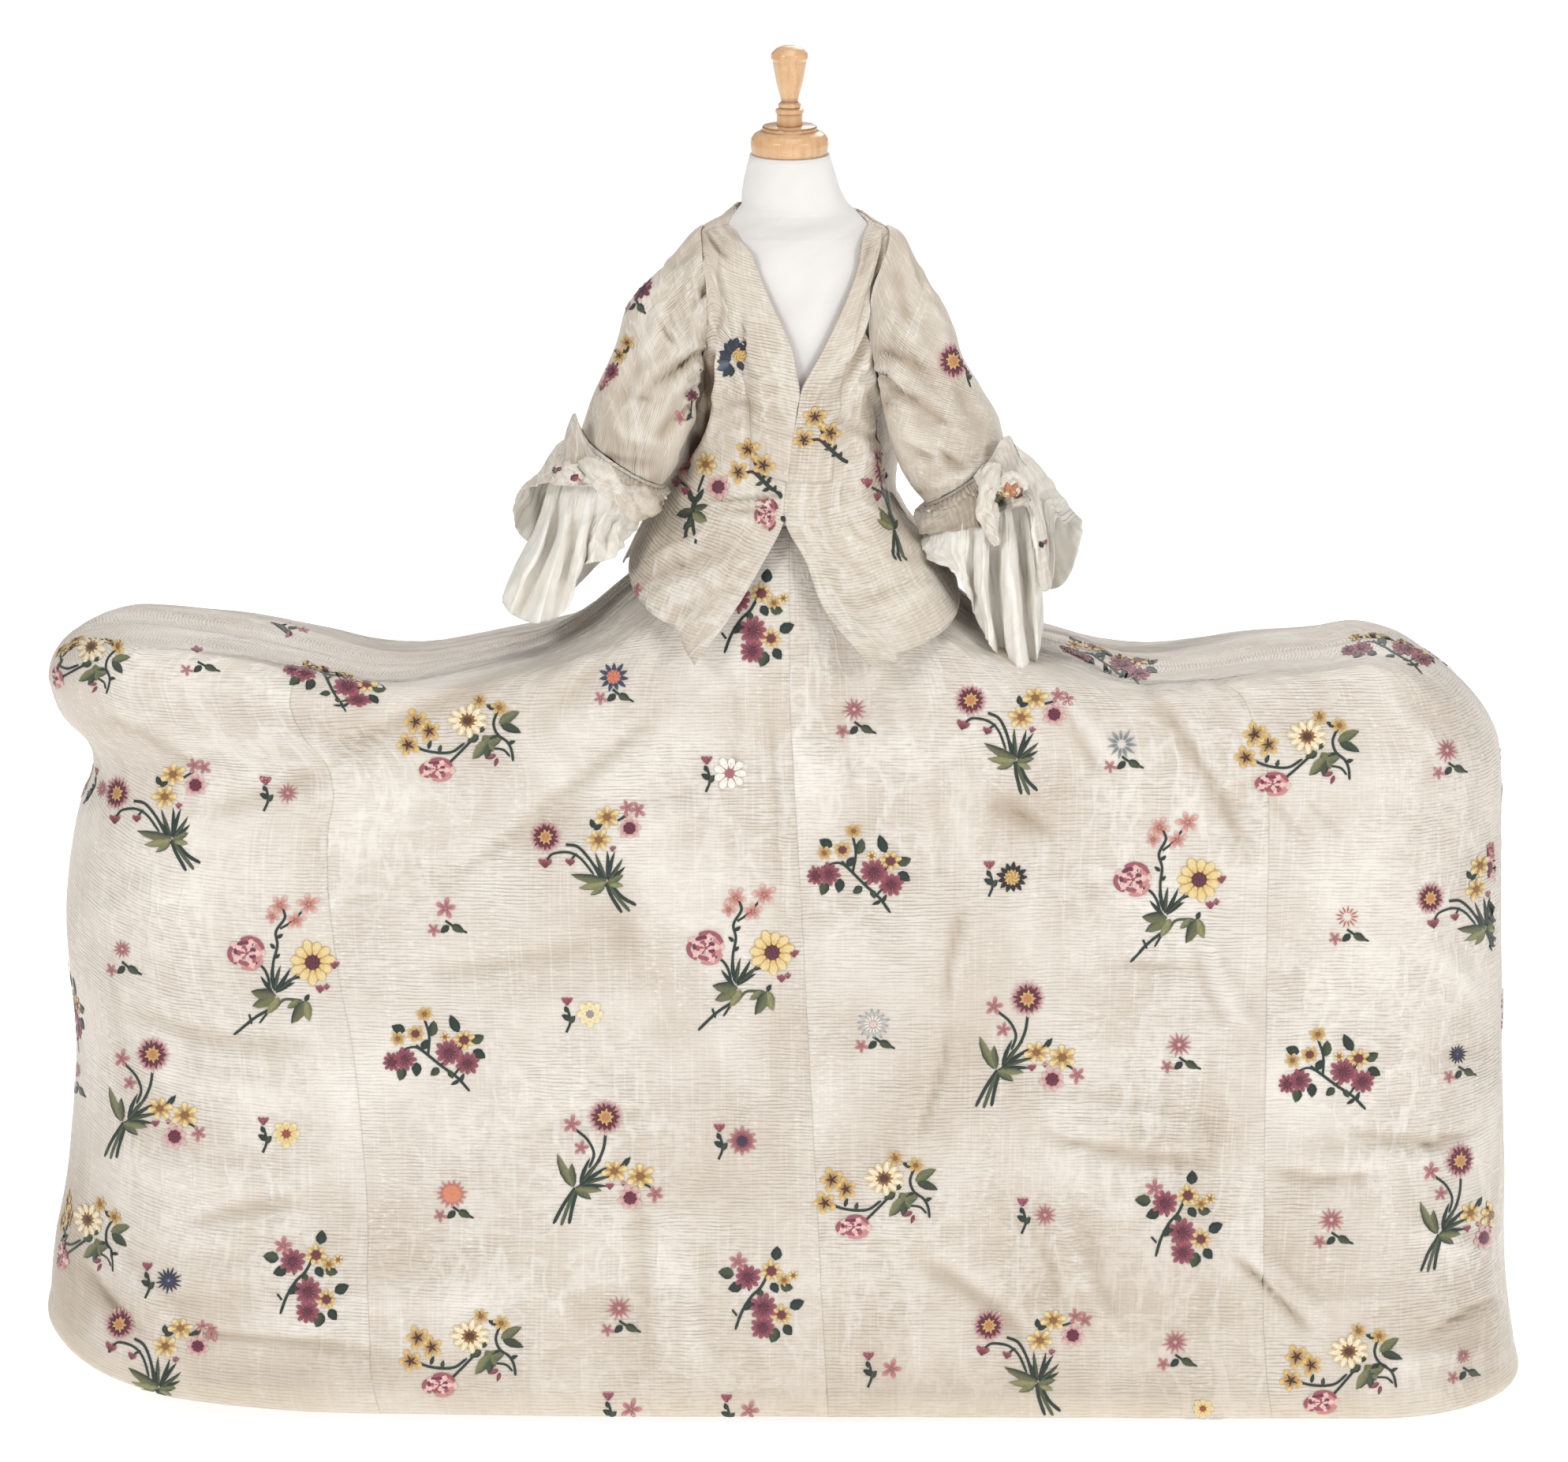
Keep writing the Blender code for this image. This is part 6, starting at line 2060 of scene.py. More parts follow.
# Rings of petals, from the lowest: count, where they start and end and how wide they are as shares of the
# radius, and their dyes at the foot and the tip. A count of 0 is the flower's eye.
FLOWERS = """
    daisy: 11 0.3 1 0.4 mustard pale_yellow, 11 0.34 1 0.28 pale_yellow white
    daisy: 9 0.1 0.46 0.22 brown mustard, 0 0 0.26 0 dark_brown brown
    sun: 11 0.3 1 0.5 mustard yellow, 11 0.34 0.98 0.36 yellow pale_yellow
    sun: 11 0.26 0.6 0.09 brown mustard, 0 0 0.36 0 maroon dark_brown
    coral: 5 0.12 1 0.52 coral pale_pink, 5 0.1 0.86 0.22 dark_red coral
    mustard: 5 0.12 1.04 0.66 mustard yellow, 5 0.4 1.04 0.3 yellow pale_yellow
    mustard: 5 0 0.74 0.22 dark_brown brown, 5 0.2 0.6 0.08 brown mustard
    small_yellow: 6 0.15 1 0.56 mustard yellow, 6 0.34 1 0.36 yellow pale_yellow, 0 0 0.34 0 brown mustard
    brown_eye: 7 0.2 1 0.5 mustard yellow, 7 0.45 1 0.34 yellow pale_yellow, 0 0 0.48 0 brown maroon
    maroon: 10 0.3 1.06 0.42 maroon rose, 10 0.56 1.08 0.16 pale_pink pale_pink
    maroon: 10 0.18 0.74 0.14 dark_red dark_red, 0 0 0.3 0 maroon dark_red
    rose: 5 0.1 1 0.5 pale_pink pale_pink
    carnation: 20 0.56 1.06 0.2 rose pale_pink, 15 0.34 0.84 0.26 dark_red maroon
    carnation: 9 0.05 0.5 0.24 mustard yellow, 0 0 0.26 0 mustard salmon
    blob: 8 0.1 1 0.56 rose pale_pink, 8 0.4 0.96 0.26 pink pale_pink, 0 0 0.56 0 dark_red maroon
    slate: 11 0.3 1 0.28 slate slate, 0 0 0.5 0 salmon coral
    blue: 10 0.3 1 0.3 slate blue_grey, 0 0 0.46 0 yellow mustard
    white: 9 0.3 1 0.46 white white, 13 0 0.6 0.08 rose pink
    grey: 11 0.3 1 0.2 blue_grey grey
    black: 13 0.4 1.04 0.34 black black, 0 0 0.56 0 yellow mustard
    half_seen: 9 0.1 1 0.42 dark_red maroon, 9 0.4 0.9 0.16 rose pale_pink, 0 0 0.36 0 dark_red black
    pale: 8 0.2 1 0.56 pale_yellow pale_yellow, 0 0 0.36 0 mauve grey
    frost: 14 0.3 1 0.18 white blue_grey, 0 0 0.2 0 pink white
    salmon: 15 0.4 1 0.2 coral pink, 0 0 0.6 0 salmon salmon
    purple: 12 0.3 1 0.32 maroon pink, 0 0 0.38 0 dark_brown slate
    star: 12 0.15 1 0.18 rose pink
    amber: 8 0.3 1 0.56 yellow pale_yellow, 0 0 0.34 0 coral dark_red
    thin: 13 0.35 1 0.13 coral coral
    night: 15 0.1 1 0.2 slate black
    bud: 3 -0.3 1 0.6 maroon rose, 3 0.2 1 0.3 pink pale_pink
    bell: 3 -0.2 1 0.6 dark_red rose, 3 0.4 1.05 0.3 pink pale_pink
    floret: 5 0.1 1 0.46 rose pink, 5 0.4 1 0.24 pale_pink pale_pink
"""

# Curled edges of a rose's petals by their dye: where each starts and how far it sweeps in degrees, and its
# share of the radius.
ROSE_STROKES = """
    rose: 20 95 0.88, 150 85 0.84, 210 120 0.58, 100 150 0.34, 0 260 0.14
    pink: 255 80 0.9, -40 90 0.66
    maroon: 60 130 0.6, -60 130 0.32
"""

# Each chart lists stems (width and dye: places along it), leaves (two dyes: foot, angle, length and width of
# each), eyes (two dyes: place and radius) and flowers (kind: place, radius and, where it isn't 1, how tall
# for its width). x runs right and y down.
CHARTS = {
    "A": """
        stem 2.6 green: -66 15, -44 23, -16 24, 2 12
        stem 2.6 green: -18 38, -4 24, 16 3
        stem 2.6 green: 44 -30, 39 -14, 44 0, 56 9, 62 20, 64 34
        stem 2.2 green: 40 18, 52 20, 60 28
        leaf green lime: 30 8 232 30 11
        leaf green mid_green: 32 8 262 24 9, 20 2 205 16 8
        leaf lime mid_green: 26 2 300 24 11, 28 12 12 22 12, 46 -14 28 30 10
        leaf mid_green green: 22 -2 60 12 6, 48 -12 338 28 9, -30 24 75 10 4
        leaf green green: 44 2 200 12 5, 58 12 20 10 4, -44 20 70 12 4, 18 -38 80 12 4, 40 -32 150 12 5
        leaf maroon rose: 42 26 200 14 5
        leaf rose maroon: 44 30 250 12 4
        flower mustard: -61 -15 15, -43 -3 14, -70 15 15 0.9
        flower rose: -33 46 22 0.62
        flower daisy: 6 -17 25 0.85
        flower small_yellow: 20 -43 10, 46 -34 11 0.9
    """,
    "B": """
        stem 2.6 green: -12 28, -14 -2, -10 -26, -13 -44, -3 -62, -6 -74
        stem 2.2 green: -8 -48, 6 -58, 20 -74
        stem 2.6 green: -46 -4, -28 2, -19 16, -16 34
        stem 2.6 green: 30 10, 10 16, -8 34
        stem 2.8 green: -4 44, -12 54, -30 66, -44 78, -58 92
        stem 2.2 green: -14 56, -26 74
        stem 2.2 green: -40 64, -36 76
        stem 2.6 mid_green: -6 52, 4 42, 26 42
        leaf green green: -10 32 98 32 4, -9 32 62 36 4, -8 34 30 28 4, -12 34 128 26 4, 30 42 60 10 5
        leaf green green: -13 -10 40 9 4, -13 -22 140 9 4, -11 -36 40 9 4
        leaf green mid_green: -10 32 78 34 4, -8 33 46 36 4
        leaf lime green: -8 38 172 32 12, 30 42 240 34 12
        leaf lime mid_green: -10 40 205 30 11
        leaf lime lime: -4 40 236 26 9, 31 42 286 26 10
        leaf mid_green lime: 22 42 214 18 7
        flower coral: -10 -78 14, 26 -82 15, 11 -60 13 0.9, -19 -63 10
        flower rose: -48 -14 24 0.85
        flower sun: 36 -8 28
        flower bud: 64 -4 8, 48 28 8, 56 24 6
    """,
    "C": """
        stem 2.8 green: -28 -8, -14 6, 2 22, 20 38, 34 57
        stem 2.4 green: -14 6, -10 -18, -14 -42
        stem 2.4 green: 0 20, 20 12, 32 -6
        stem 2.2 green: 16 35, 28 22
        stem 2.2 green: -50 -2, -30 -6, -12 8
        leaf green green: -40 -28 152 18 10, -30 14 262 18 10, 28 -20 108 24 10, 44 6 322 18 10
        leaf green green: -20 -2 55 14 8, 24 44 60 12 4, 22 42 200 12 4
        leaf green mid_green: -7 -18 78 20 10, -48 18 250 18 10, 43 -6 22 18 10
        leaf mid_green green: -2 24 212 14 8, 10 28 290 12 6
        flower maroon: -60 10 12, -44 8 14, 13 5 17 0.95, 35 21 15 0.95
        flower brown_eye: -27 -23 12 0.9, 34 -9 14 0.9
        flower small_yellow: -13 -47 11 0.9, -50 -19 10, 10 -15 7
    """,
    "E": """
        stem 2.8 green: 4 -26, -6 -8, -18 4, -30 24, -38 46
        stem 2.4 green: -26 -26, -20 -4
        stem 2.2 green: -26 20, -6 16
        stem 2.2 green: -36 28, -42 20
        leaf green green: 13 -44 84 18 11, -30 -12 196 18 11, 8 -14 300 15 9, -12 12 188 16 10
        leaf green green: 32 18 24 20 11, 25 40 306 16 10
        leaf green mid_green: -40 -25 172 20 12, 20 -11 350 16 10, 14 44 250 20 12
        leaf mid_green green: -6 -6 262 12 7
        flower floret: -34 -42 13 0.9
        flower maroon: -22 -22 16, -2 17 17, -3 43 15
        flower brown_eye: 8 -30 14, 21 27 13
        flower small_yellow: 24 -18 9, 36 -24 7
    """,
    "D": """
        stem 2.8 green: -28 -14, -12 -11, 4 6, 18 30, 26 40
        stem 2.4 green: -52 6, -44 -2, -24 -4, -8 4, 8 24
        stem 2.2 green: -20 4, -14 -3
        stem 2.2 green: 34 -44, 50 -54
        stem 3.4 green: 24 34, 30 50, 44 72
        stem 3.4 mid_green: 26 34, 38 52, 54 70
        stem 3.4 green: 28 34, 44 52, 62 62
        leaf green green: 24 30 128 34 4, 25 30 92 38 4, 26 30 74 38 4, 27 32 44 28 4, 8 -36 110 12 6
        leaf green green: 8 -34 30 12 5
        leaf green mid_green: 24 30 110 38 4, 26 31 58 34 4
        leaf lime green: 24 32 168 46 9
        leaf lime lime: 24 34 190 36 8, 28 36 350 18 6
        leaf lime mid_green: 26 34 24 22 8
        leaf mid_green lime: 22 38 212 22 6
        flower carnation: -54 -23 20
        flower bell: -54 14 11, -22 11 8
        flower small_yellow: 24 -50 16 0.9, 14 -21 16 0.9
        flower blob: 53 -37 15
        flower floret: 50 -62 10, 63 -60 10
        flower bud: 32 -8 6
    """,
    "F": """
        stem 2.6 green: -36 -50, -20 -36, -12 -18, -18 0
        stem 2.8 green: 3 -42, 0 -24, -8 -6, -24 16, -38 34
        stem 2.2 green: 20 2, 30 -12
        stem 2.2 green: 46 20, 58 24, 66 32
        stem 3.4 green: -36 26, -50 46, -64 72
        stem 3.4 mid_green: -36 28, -46 52, -54 74
        stem 3.4 green: -34 30, -40 52, -44 72
        leaf green lime: -40 24 112 46 9, -36 26 352 34 9
        leaf lime green: -38 24 92 30 8, -36 28 326 24 8
        leaf green green: -30 20 66 36 4, -28 22 32 44 4, -28 24 358 34 4, 28 -2 60 14 4
        leaf green mid_green: -28 20 48 40 4, -28 22 14 42 4
        flower carnation: 3 -65 22
        flower floret: -40 -56 12, -28 -26 10, 66 34 11
        flower small_yellow: 14 4 16 0.9, 47 11 18 0.9
        flower blob: 34 39 16
        flower bud: 8 26 7, 25 22 5
    """,
    "bunch": """
        stem 2.6 green: -36 -18, -20 -8, -10 8
        stem 3.4 green: -10 2, -13 30, -18 62
        stem 3.4 green: -8 2, -8 36, 0 64
        stem 2.6 green: 0 -26, -6 -4
        leaf green mid_green: -9 22 196 24 10, -9 18 20 20 7
        leaf green lime: -9 24 340 22 10
        leaf green green: -9 10 62 22 6, -10 10 120 20 6
        leaf mid_green green: -9 34 230 16 7
        flower small_yellow: 2 -40 16 0.9
        flower blob: 22 -12 16
        flower floret: -32 -34 12
        flower bud: -38 -12 10, -24 -2 9
    """,
    "upright": """
        stem 2.6 green: -22 -22, -2 -14, 8 6, 12 34
        stem 2.6 green: 0 -32, 6 -8, 12 20
        stem 3.4 green: 12 34, 7 56, 10 76
        stem 3.4 mid_green: 12 34, 18 56, 28 76
        stem 3 green: 12 34, 14 56, 18 78
        leaf lime mid_green: 10 30 128 34 10
        leaf lime lime: 10 32 150 28 8
        leaf mid_green green: 12 30 100 26 8
        leaf green green: 12 32 60 16 6
        flower carnation: -4 -50 20 1.25
        flower bud: -30 -24 10, -12 -8 9
    """,
    "side": """
        stem 2.4 green: 16 -22, 24 -4, 20 16, 24 34
        leaf green green: 22 2 40 10 4, 22 24 40 9 4
        leaf maroon maroon: 21 12 330 9 4
        flower bud: 26 -10 6, 30 8 5
        flower carnation: 0 0 21 1.1
    """,
    "edge": """
        stem 2.4 green: 16 -34, 6 -10, -2 10, -14 34
        leaf green green: 10 -16 60 12 6
        flower mustard: 12 -30 10, 3 -12 11
        flower maroon: -4 10 11
        flower floret: -12 24 9
        flower bud: -16 34 7
    """,
    "leafy": """
        stem 3.2 green: 22 -26, 8 -6, -6 10, -24 34
        stem 2.6 green: 0 2, -20 26
        leaf green green: 14 -14 70 18 9, -8 12 170 14 8
        leaf green mid_green: 8 -6 200 18 9
        leaf lime green: 0 4 40 18 10
        leaf mid_green green: -4 10 330 16 9
        leaf maroon green: 18 -20 10 14 7
    """,
    "rose": """
        leaf rose maroon: 4 -16 320 14 7, 12 8 240 16 5
        leaf rose pink: -14 -12 20 14 4
        leaf green green: 20 2 300 9 5
        flower rose: 0 0 14 1.25
    """,
    "cut_aster": """
        leaf slate blue_grey: -2 8 205 20 9
        leaf green slate: 0 10 232 20 8
        leaf blue_grey green: -4 6 180 16 7
        leaf green green: 0 12 262 14 7
        leaf black slate: 4 -8 78 17 9, 0 -3 128 17 9, -1 4 172 16 9
        leaf slate black: 2 -6 102 17 9, -1 1 152 17 9, 8 6 300 13 7
        leaf black black: 10 -6 60 16 8
        eye yellow mustard: 10 -3 9
    """,
    "toothed_spray": """
        stem 2.8 dark_brown: -16 8, -2 5, 8 13
        stem 2.8 dark_brown: -2 -22, 4 -2, 8 13
        stem 4 green: 6 10, 18 22, 30 32, 38 36
        leaf green green: 12 14 50 10 4, 18 20 50 9 4, 20 26 200 10 4, 26 30 60 9 4
        leaf green mid_green: 12 18 200 11 4
        leaf yellow mustard: 1 -8 80 12 7
        leaf brown dark_brown: -2 -20 130 14 4, -4 -22 70 10 4, -18 6 170 10 4
        leaf dark_brown brown: -16 8 230 10 4
        flower mustard: -6 -24 15 0.9, -20 5 14, 14 -3 15
    """,
    "poppy": """
        leaf green lime: -6 8 200 14 8
        leaf mid_green green: -8 12 240 10 6
        leaf mustard salmon: 2 8 100 19 9
        leaf salmon mustard: 4 8 70 19 9
        leaf coral brown: 6 8 40 16 8
        leaf mustard yellow: 0 8 130 15 8
        leaf brown dark_red: 6 8 10 12 5
    """,
    "bud_mark": """
        leaf dark_red rose: -5 0 10 12 7
        leaf pink pale_pink: 2 3 300 8 4
    """,
    "knot": """
        leaf green green: -4 0 30 9 5
        leaf maroon rose: 0 0 330 8 4
    """,
}


def small_chart(kind, radius, spray):
    """A single flower with a budding spray at its left, or with a leafy stem to its lower right."""
    if spray:
        return f"""
            stem 2.4 green: -30 24, -25 10, -28 -6
            leaf green green: -25 8 150 13 6, -28 -2 110 9 5
            leaf mid_green green: -26 12 50 12 6
            leaf pink pink: -30 -12 80 10 6
            flower bud: -29 -14 9
            flower {kind}: 0 0 {radius}
        """
    return f"""
        stem 2.4 green: 0 12, 12 20, 28 27
        leaf green mid_green: 8 18 330 18 8
        leaf green green: 4 18 220 14 7
        flower floret: -15 24 9
        flower {kind}: 0 -4 {radius} 0.95
    """


PETAL_SHARES = np.array([0, 0.3, 0.62, 0.88, 1.0])
POINTED_PETAL = np.array([0.30, 1.0, 0.85, 0.38, 0.04])  # width at each share of the length
ROUND_PETAL = np.array([0.30, 0.76, 1.0, 0.72, 0.12])
LEAF_SHARES = np.array([0, 0.18, 0.45, 0.78, 1.0])
LEAF_WIDTHS = np.array([0.15, 0.78, 1.0, 0.62, 0.03])
LEAF_BEND = math.radians(14)
EYE_AROUND = 12
EYE_RINGS = ((1.0, 0), (0.72, 0.8), (0.40, 1.0), (0.05, 1.1))  # radius and height of each, as shares
BUD_FAN = 42  # degrees between the petals of a bud
POINTED_BELOW = 0.35  # width of a petal as a share of the radius
THREAD_SHIFT = 0.013  # keeps the grain of each layer's threads apart


class Floss:
    """Gathers satin stitches: places on the chart, heights, dyes, thread co-ordinates and faces."""

    def __init__(self):
        self.places, self.heights, self.dyes, self.threads, self.faces = [], [], [], [], []
        self.count = 0
        self.layer = 0

    def strip(self, middle, across, half, crown, dyes):
        """A strip of three rows of points along a line, raised in the middle, with each row's dyes."""
        stations = len(middle)
        run = np.concatenate([[0], np.cumsum(np.linalg.norm(np.diff(middle, axis=0), axis=1))])
        for share, dye in zip((-1, 0, 1), dyes):
            self.places.append(middle + across * (half * share)[:, None])
            self.heights.append(np.full(stations, self.layer * LAYER) + crown * (share == 0))
            self.dyes.append(dye)
            self.threads.append(np.stack([SPRIG * half * share, SPRIG * run], -1) + THREAD_SHIFT * self.layer)
        first = self.count + np.arange(stations - 1)
        for row in (0, stations):
            one = first + row
            self.faces.append(np.stack([one, one + stations, one + stations + 1, one + 1], -1))
        self.count += 3 * stations

    def petal(self, place, angle, length, width, foot, tip, pointed, tall=1.0):
        turn = math.radians(angle)
        along = np.array([math.cos(turn), -math.sin(turn)])
        across = np.array([-along[1], along[0]])
        middle = np.array(place) + PETAL_SHARES[:, None] * length * along
        middle = (middle - place[:2]) * [1, tall] + place[:2]
        dye = np.array([np.array(DYES[foot]) * (1 - t) + np.array(DYES[tip]) * t for t in PETAL_SHARES])
        half = 0.5 * width * (POINTED_PETAL if pointed else ROUND_PETAL)
        self.strip(middle, across, half, CROWN * min(1, width / CROWNED_WIDTH), [dye] * 3)

    def leaf(self, first, second, x, y, angle, length, width):
        bend = LEAF_BEND * (1 if (x + y) % 2 else -1)
        angles = math.radians(angle) + bend * (LEAF_SHARES - 0.5)
        steps = np.stack([np.cos(angles), -np.sin(angles)], -1) * length
        run = np.cumsum(steps[:-1] * np.diff(LEAF_SHARES)[:, None], axis=0)
        middle = np.array([x, y]) + np.concatenate([[[0, 0]], run])
        across = np.stack([np.sin(angles), np.cos(angles)], -1)
        one, two = np.array(DYES[first]), np.array(DYES[second])
        dyes = [np.tile(dye, (len(LEAF_SHARES), 1)) for dye in (0.55 * one, 0.4 * one + 0.6 * two, 0.8 * two)]
        self.strip(middle, across, 0.66 * width * LEAF_WIDTHS, CROWN * min(1, width / CROWNED_WIDTH), dyes)

    def stem(self, width, dye, places):
        places = np.array(places, float)
        fine = refine(np.stack([places, places], 1), 5 * len(places) - 4, 2)[:, 0]
        along = np.gradient(fine, axis=0)
        along /= np.linalg.norm(along, axis=1, keepdims=True)
        across = np.stack([-along[:, 1], along[:, 0]], -1)
        half = np.full(len(fine), 0.66 * width)
        half[-1] *= 0.6
        self.strip(fine, across, half, 0.4 * CROWN, [np.tile(DYES[dye], (len(fine), 1))] * 3)

    def eye(self, first, second, x, y, radius, tall=1.0):
        angle = np.arange(EYE_AROUND) * 2 * math.pi / EYE_AROUND
        for ring, (share, height) in enumerate(EYE_RINGS):
            circle = np.stack([np.cos(angle), np.sin(angle) * tall], -1) * radius * share
            self.places.append(np.array([x, y]) + circle)
            self.heights.append(np.full(EYE_AROUND, self.layer * LAYER + CROWN * height))
            pick = (np.arange(EYE_AROUND) + ring) % 2
            self.dyes.append(np.where(pick[:, None] == 0, DYES[first], DYES[second]))
            self.threads.append(SPRIG * circle)
        for ring in range(len(EYE_RINGS) - 1):
            start = self.count + ring * EYE_AROUND
            one = start + np.arange(EYE_AROUND)
            two = start + (np.arange(EYE_AROUND) + 1) % EYE_AROUND
            self.faces.append(np.stack([one, two, two + EYE_AROUND, one + EYE_AROUND], -1))
        self.count += len(EYE_RINGS) * EYE_AROUND

    def ring(self, x, y, radius, tall, ring):
        """One ring of petals, or the eye. Three petals or fewer make a bud, which opens upwards."""
        count, start, end, width, foot, tip = ring
        count, start, end, width = int(count), float(start), float(end), float(width)
        if count == 0:
            self.eye(foot, tip, x, y, end * radius, tall)
            return
        span = (end - start) * radius
        fan = 360 / count
        for index in range(count):
            angle = index * fan + 17 * (x + 2 * y) if count > 3 else 90 + (index - 1) * BUD_FAN
            uneven = 1 + 0.10 * math.sin(index * 2.4 + x)
            turn = math.radians(angle)
            place = x + start * radius * math.cos(turn), y - start * radius * math.sin(turn) * tall
            self.petal(place, angle, span * uneven, width * radius, foot, tip, width < POINTED_BELOW, tall)

    def flower(self, kind, x, y, radius, tall=1.0):
        for (name,), rings in entries(FLOWERS):
            for ring in rings if name == kind else ():
                self.layer += 1
                self.ring(x, y, radius, tall, ring)
        if kind == "rose":
            self.layer += 1
            for (dye,), strokes in entries(ROSE_STROKES):
                for start, sweep, reach in map(numbers, strokes):
                    turns = np.radians(start + sweep * np.linspace(0, 1, 4))
                    spread = radius * (reach + 0.10 * np.sin(np.linspace(0, math.pi, 4)))
                    arc = np.stack([x + spread * np.cos(turns), y - spread * np.sin(turns) * tall], -1)
                    self.stem(0.17 * radius, dye, arc)

    def draw(self, chart):
        for (kind, *words), groups in entries(chart):
            if kind == "stem":
                self.layer = 0
                self.stem(float(words[0]), words[1], [numbers(group) for group in groups])
                continue
            for group in groups:
                self.layer = 1
                getattr(self, kind)(*words, *numbers(group))


def cloth_tree(pieces):
    """Search tree of the outer faces of some pieces of cloth."""
    points, faces = [], []
    for piece in pieces:
        start = len(points)
        points += [vertex.co.copy() for vertex in piece.data.vertices]
        faces += [[start + index for index in face.vertices] for face in piece.data.polygons]
    return BVHTree.FromPolygons(points, faces)


def lay_sprigs(name, tree, rows):
    """Lays charts on the cloth. Each row gives a chart, a point with its normal, a turn in degrees and, for
    one that the picture shows, its place there and how far it follows the picture rather than the cloth."""
    points, dyes, threads, faces, count = [], [], [], [], 0
    for chart, centre, normal, turn, shown in rows:
        work = Floss()
        work.draw(chart)
        place = np.concatenate(work.places) * SPRIG
        spin = math.radians(turn)
        x = place[:, 0] * math.cos(spin) + place[:, 1] * math.sin(spin)
        y = place[:, 0] * math.sin(spin) - place[:, 1] * math.cos(spin)
        lies_level = abs(normal.z) >= LEVEL
        top = Vector((0, -1 if centre.y > 0 else 1, 0)) if lies_level else Vector((0, 0, 1))
        up = (top - normal * top.dot(normal)).normalized()
        right = up.cross(normal)
        for across, high, height in zip(x.tolist(), y.tolist(), np.concatenate(work.heights).tolist()):
            target = centre + right * across + up * high
            if shown:
                hit = tree.ray_cast(*sight(shown[0] + across / SPRIG, shown[1] - high / SPRIG))[0]
                if hit is not None and (hit - target).length < FOLLOWS_WITHIN:
                    target = target.lerp(hit, shown[2])
            found, facing, _, _ = tree.find_nearest(target)
            points.append(found + facing * (LIFT + height))
        dyes.append(np.concatenate(work.dyes))
        threads.append(np.concatenate(work.threads))
        faces.append(np.concatenate(work.faces) + count)
        count += work.count
    faces, dyes, threads = np.concatenate(faces), np.concatenate(dyes), np.concatenate(threads)
    mesh = bpy.data.meshes.new(name)
    mesh.from_pydata(points, [], faces.tolist())
    colour = mesh.color_attributes.new("dye", "FLOAT_COLOR", "POINT")
    colour.data.foreach_set("color", np.concatenate([dyes, np.ones((count, 1))], 1).ravel())
    mesh.uv_layers.new(name="cloth").data.foreach_set("uv", threads[faces.ravel()].ravel())
    mesh.shade_smooth()
    mesh.materials.append(FLOSS)
    made = bpy.data.objects.new(name, mesh)
    bpy.context.scene.collection.objects.link(made)
    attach(made, "root")
    return made


LEVEL = 0.9  # upward part of the normal from which cloth counts as level
FOLLOWS_WITHIN = 0.07  # a chart's point follows the picture if that moves it less than this


def listed(text):
    """Charts with their place and turn in the picture, from a text of places."""
    for (name,), groups in entries(text):
        for x, y, *rest in map(numbers, groups):
            if len(rest) == 1:
                yield CHARTS[name], x, y, rest[0]
            else:
                radius, spray = rest
                yield small_chart(name, radius, spray), x, y, 0


def seen(tree, text, share):
    """Rows for lay_sprigs from places in the picture."""
    found = []
    for chart, x, y, turn in listed(text):
        hit, normal, _, _ = tree.ray_cast(*sight(x, y))
        if hit is not None:
            found.append((chart, hit, normal, turn, (x, y, share)))
    return found


def behind(tree, text):
    """Rows for lay_sprigs from places in the picture of somebody who stands behind the gown."""
    found = []
    for chart, x, y, turn in listed(text):
        start, way = (Vector((-line.x, -line.y, line.z)) for line in sight(x, y))
        hit, normal, _, _ = tree.ray_cast(start, way)
        if hit is not None:
            found.append((chart, hit, normal, turn, None))
    return found


# Places in the picture of the charts (x, y and turn) and of single flowers (x, y, radius, and 1 for a budding
# spray).
PETTICOAT_IN_SIGHT = """
    A: 587 930 0, 1650 950 -4, 1115 1510 0, 590 1710 0, 1705 1730 4, 104 832 -14, 104 1560 -10
    B: 360 1225 -4, 943 1215 0, 1485 1125 4
    C: 430 862 -20, 1095 1100 0, 556 1330 6, 1690 1355 8, 1410 838 0, 1768 818 0
    E: 393 1620 0, 970 1640 0, 1500 1545 4, 957 782 0
    D: 745 1085 0, 195 1030 0, 1275 925 -18, 1300 1715 -14, 190 1720 -20, 1862 1150 6
    F: 1300 1330 0, 765 1480 0, 190 1400 0, 1852 1535 0
    leafy: 750 752 0
    bud: 250 828 11 0
    maroon: 368 803 16 0
    slate: 778 862 20 0
    white: 925 980 21 1
    star: 1083 903 16 0, 1835 955 17 0, 365 1005 14 1, 130 1000 12 1, 155 1207 13 0, 1495 1328 17 0
    star: 1325 1540 15 1, 1688 1550 17 0, 785 1662 17 0, 1490 1705 17 0, 1855 1722 12 0, 98 1360 12 0
    grey: 1422 947 20 0
    floret: 565 1155 14 0, 1130 1735 13 1, 800 1786 14 1, 950 1788 13 1
    pale: 748 1285 17 1
    frost: 1107 1302 21 0
    black: 1283 1112 19 1
    thin: 1708 1166 15 0
    amber: 363 1437 17 1, 1525 1789 13 0
    salmon: 573 1517 20 0
    purple: 941 1446 19 1
    night: 1848 1340 14 0, 214 1623 17 1
"""
JACKET_IN_SIGHT = """
    bunch: 890 628 0
    upright: 1121 641 -10
    rose: 971 652 0
    cut_aster: 928 452 0
    toothed_spray: 1039 552 0, 955 593 4
    floret: 806 752 10 0, 893 826 8 0, 1107 400 9 0
    bud: 992 398 10 0
"""
SLEEVES_IN_SIGHT = """
    side: 1208 458 0
    edge: 781 462 0
    half_seen: 812 370 18 0, 879 506 9 0
"""
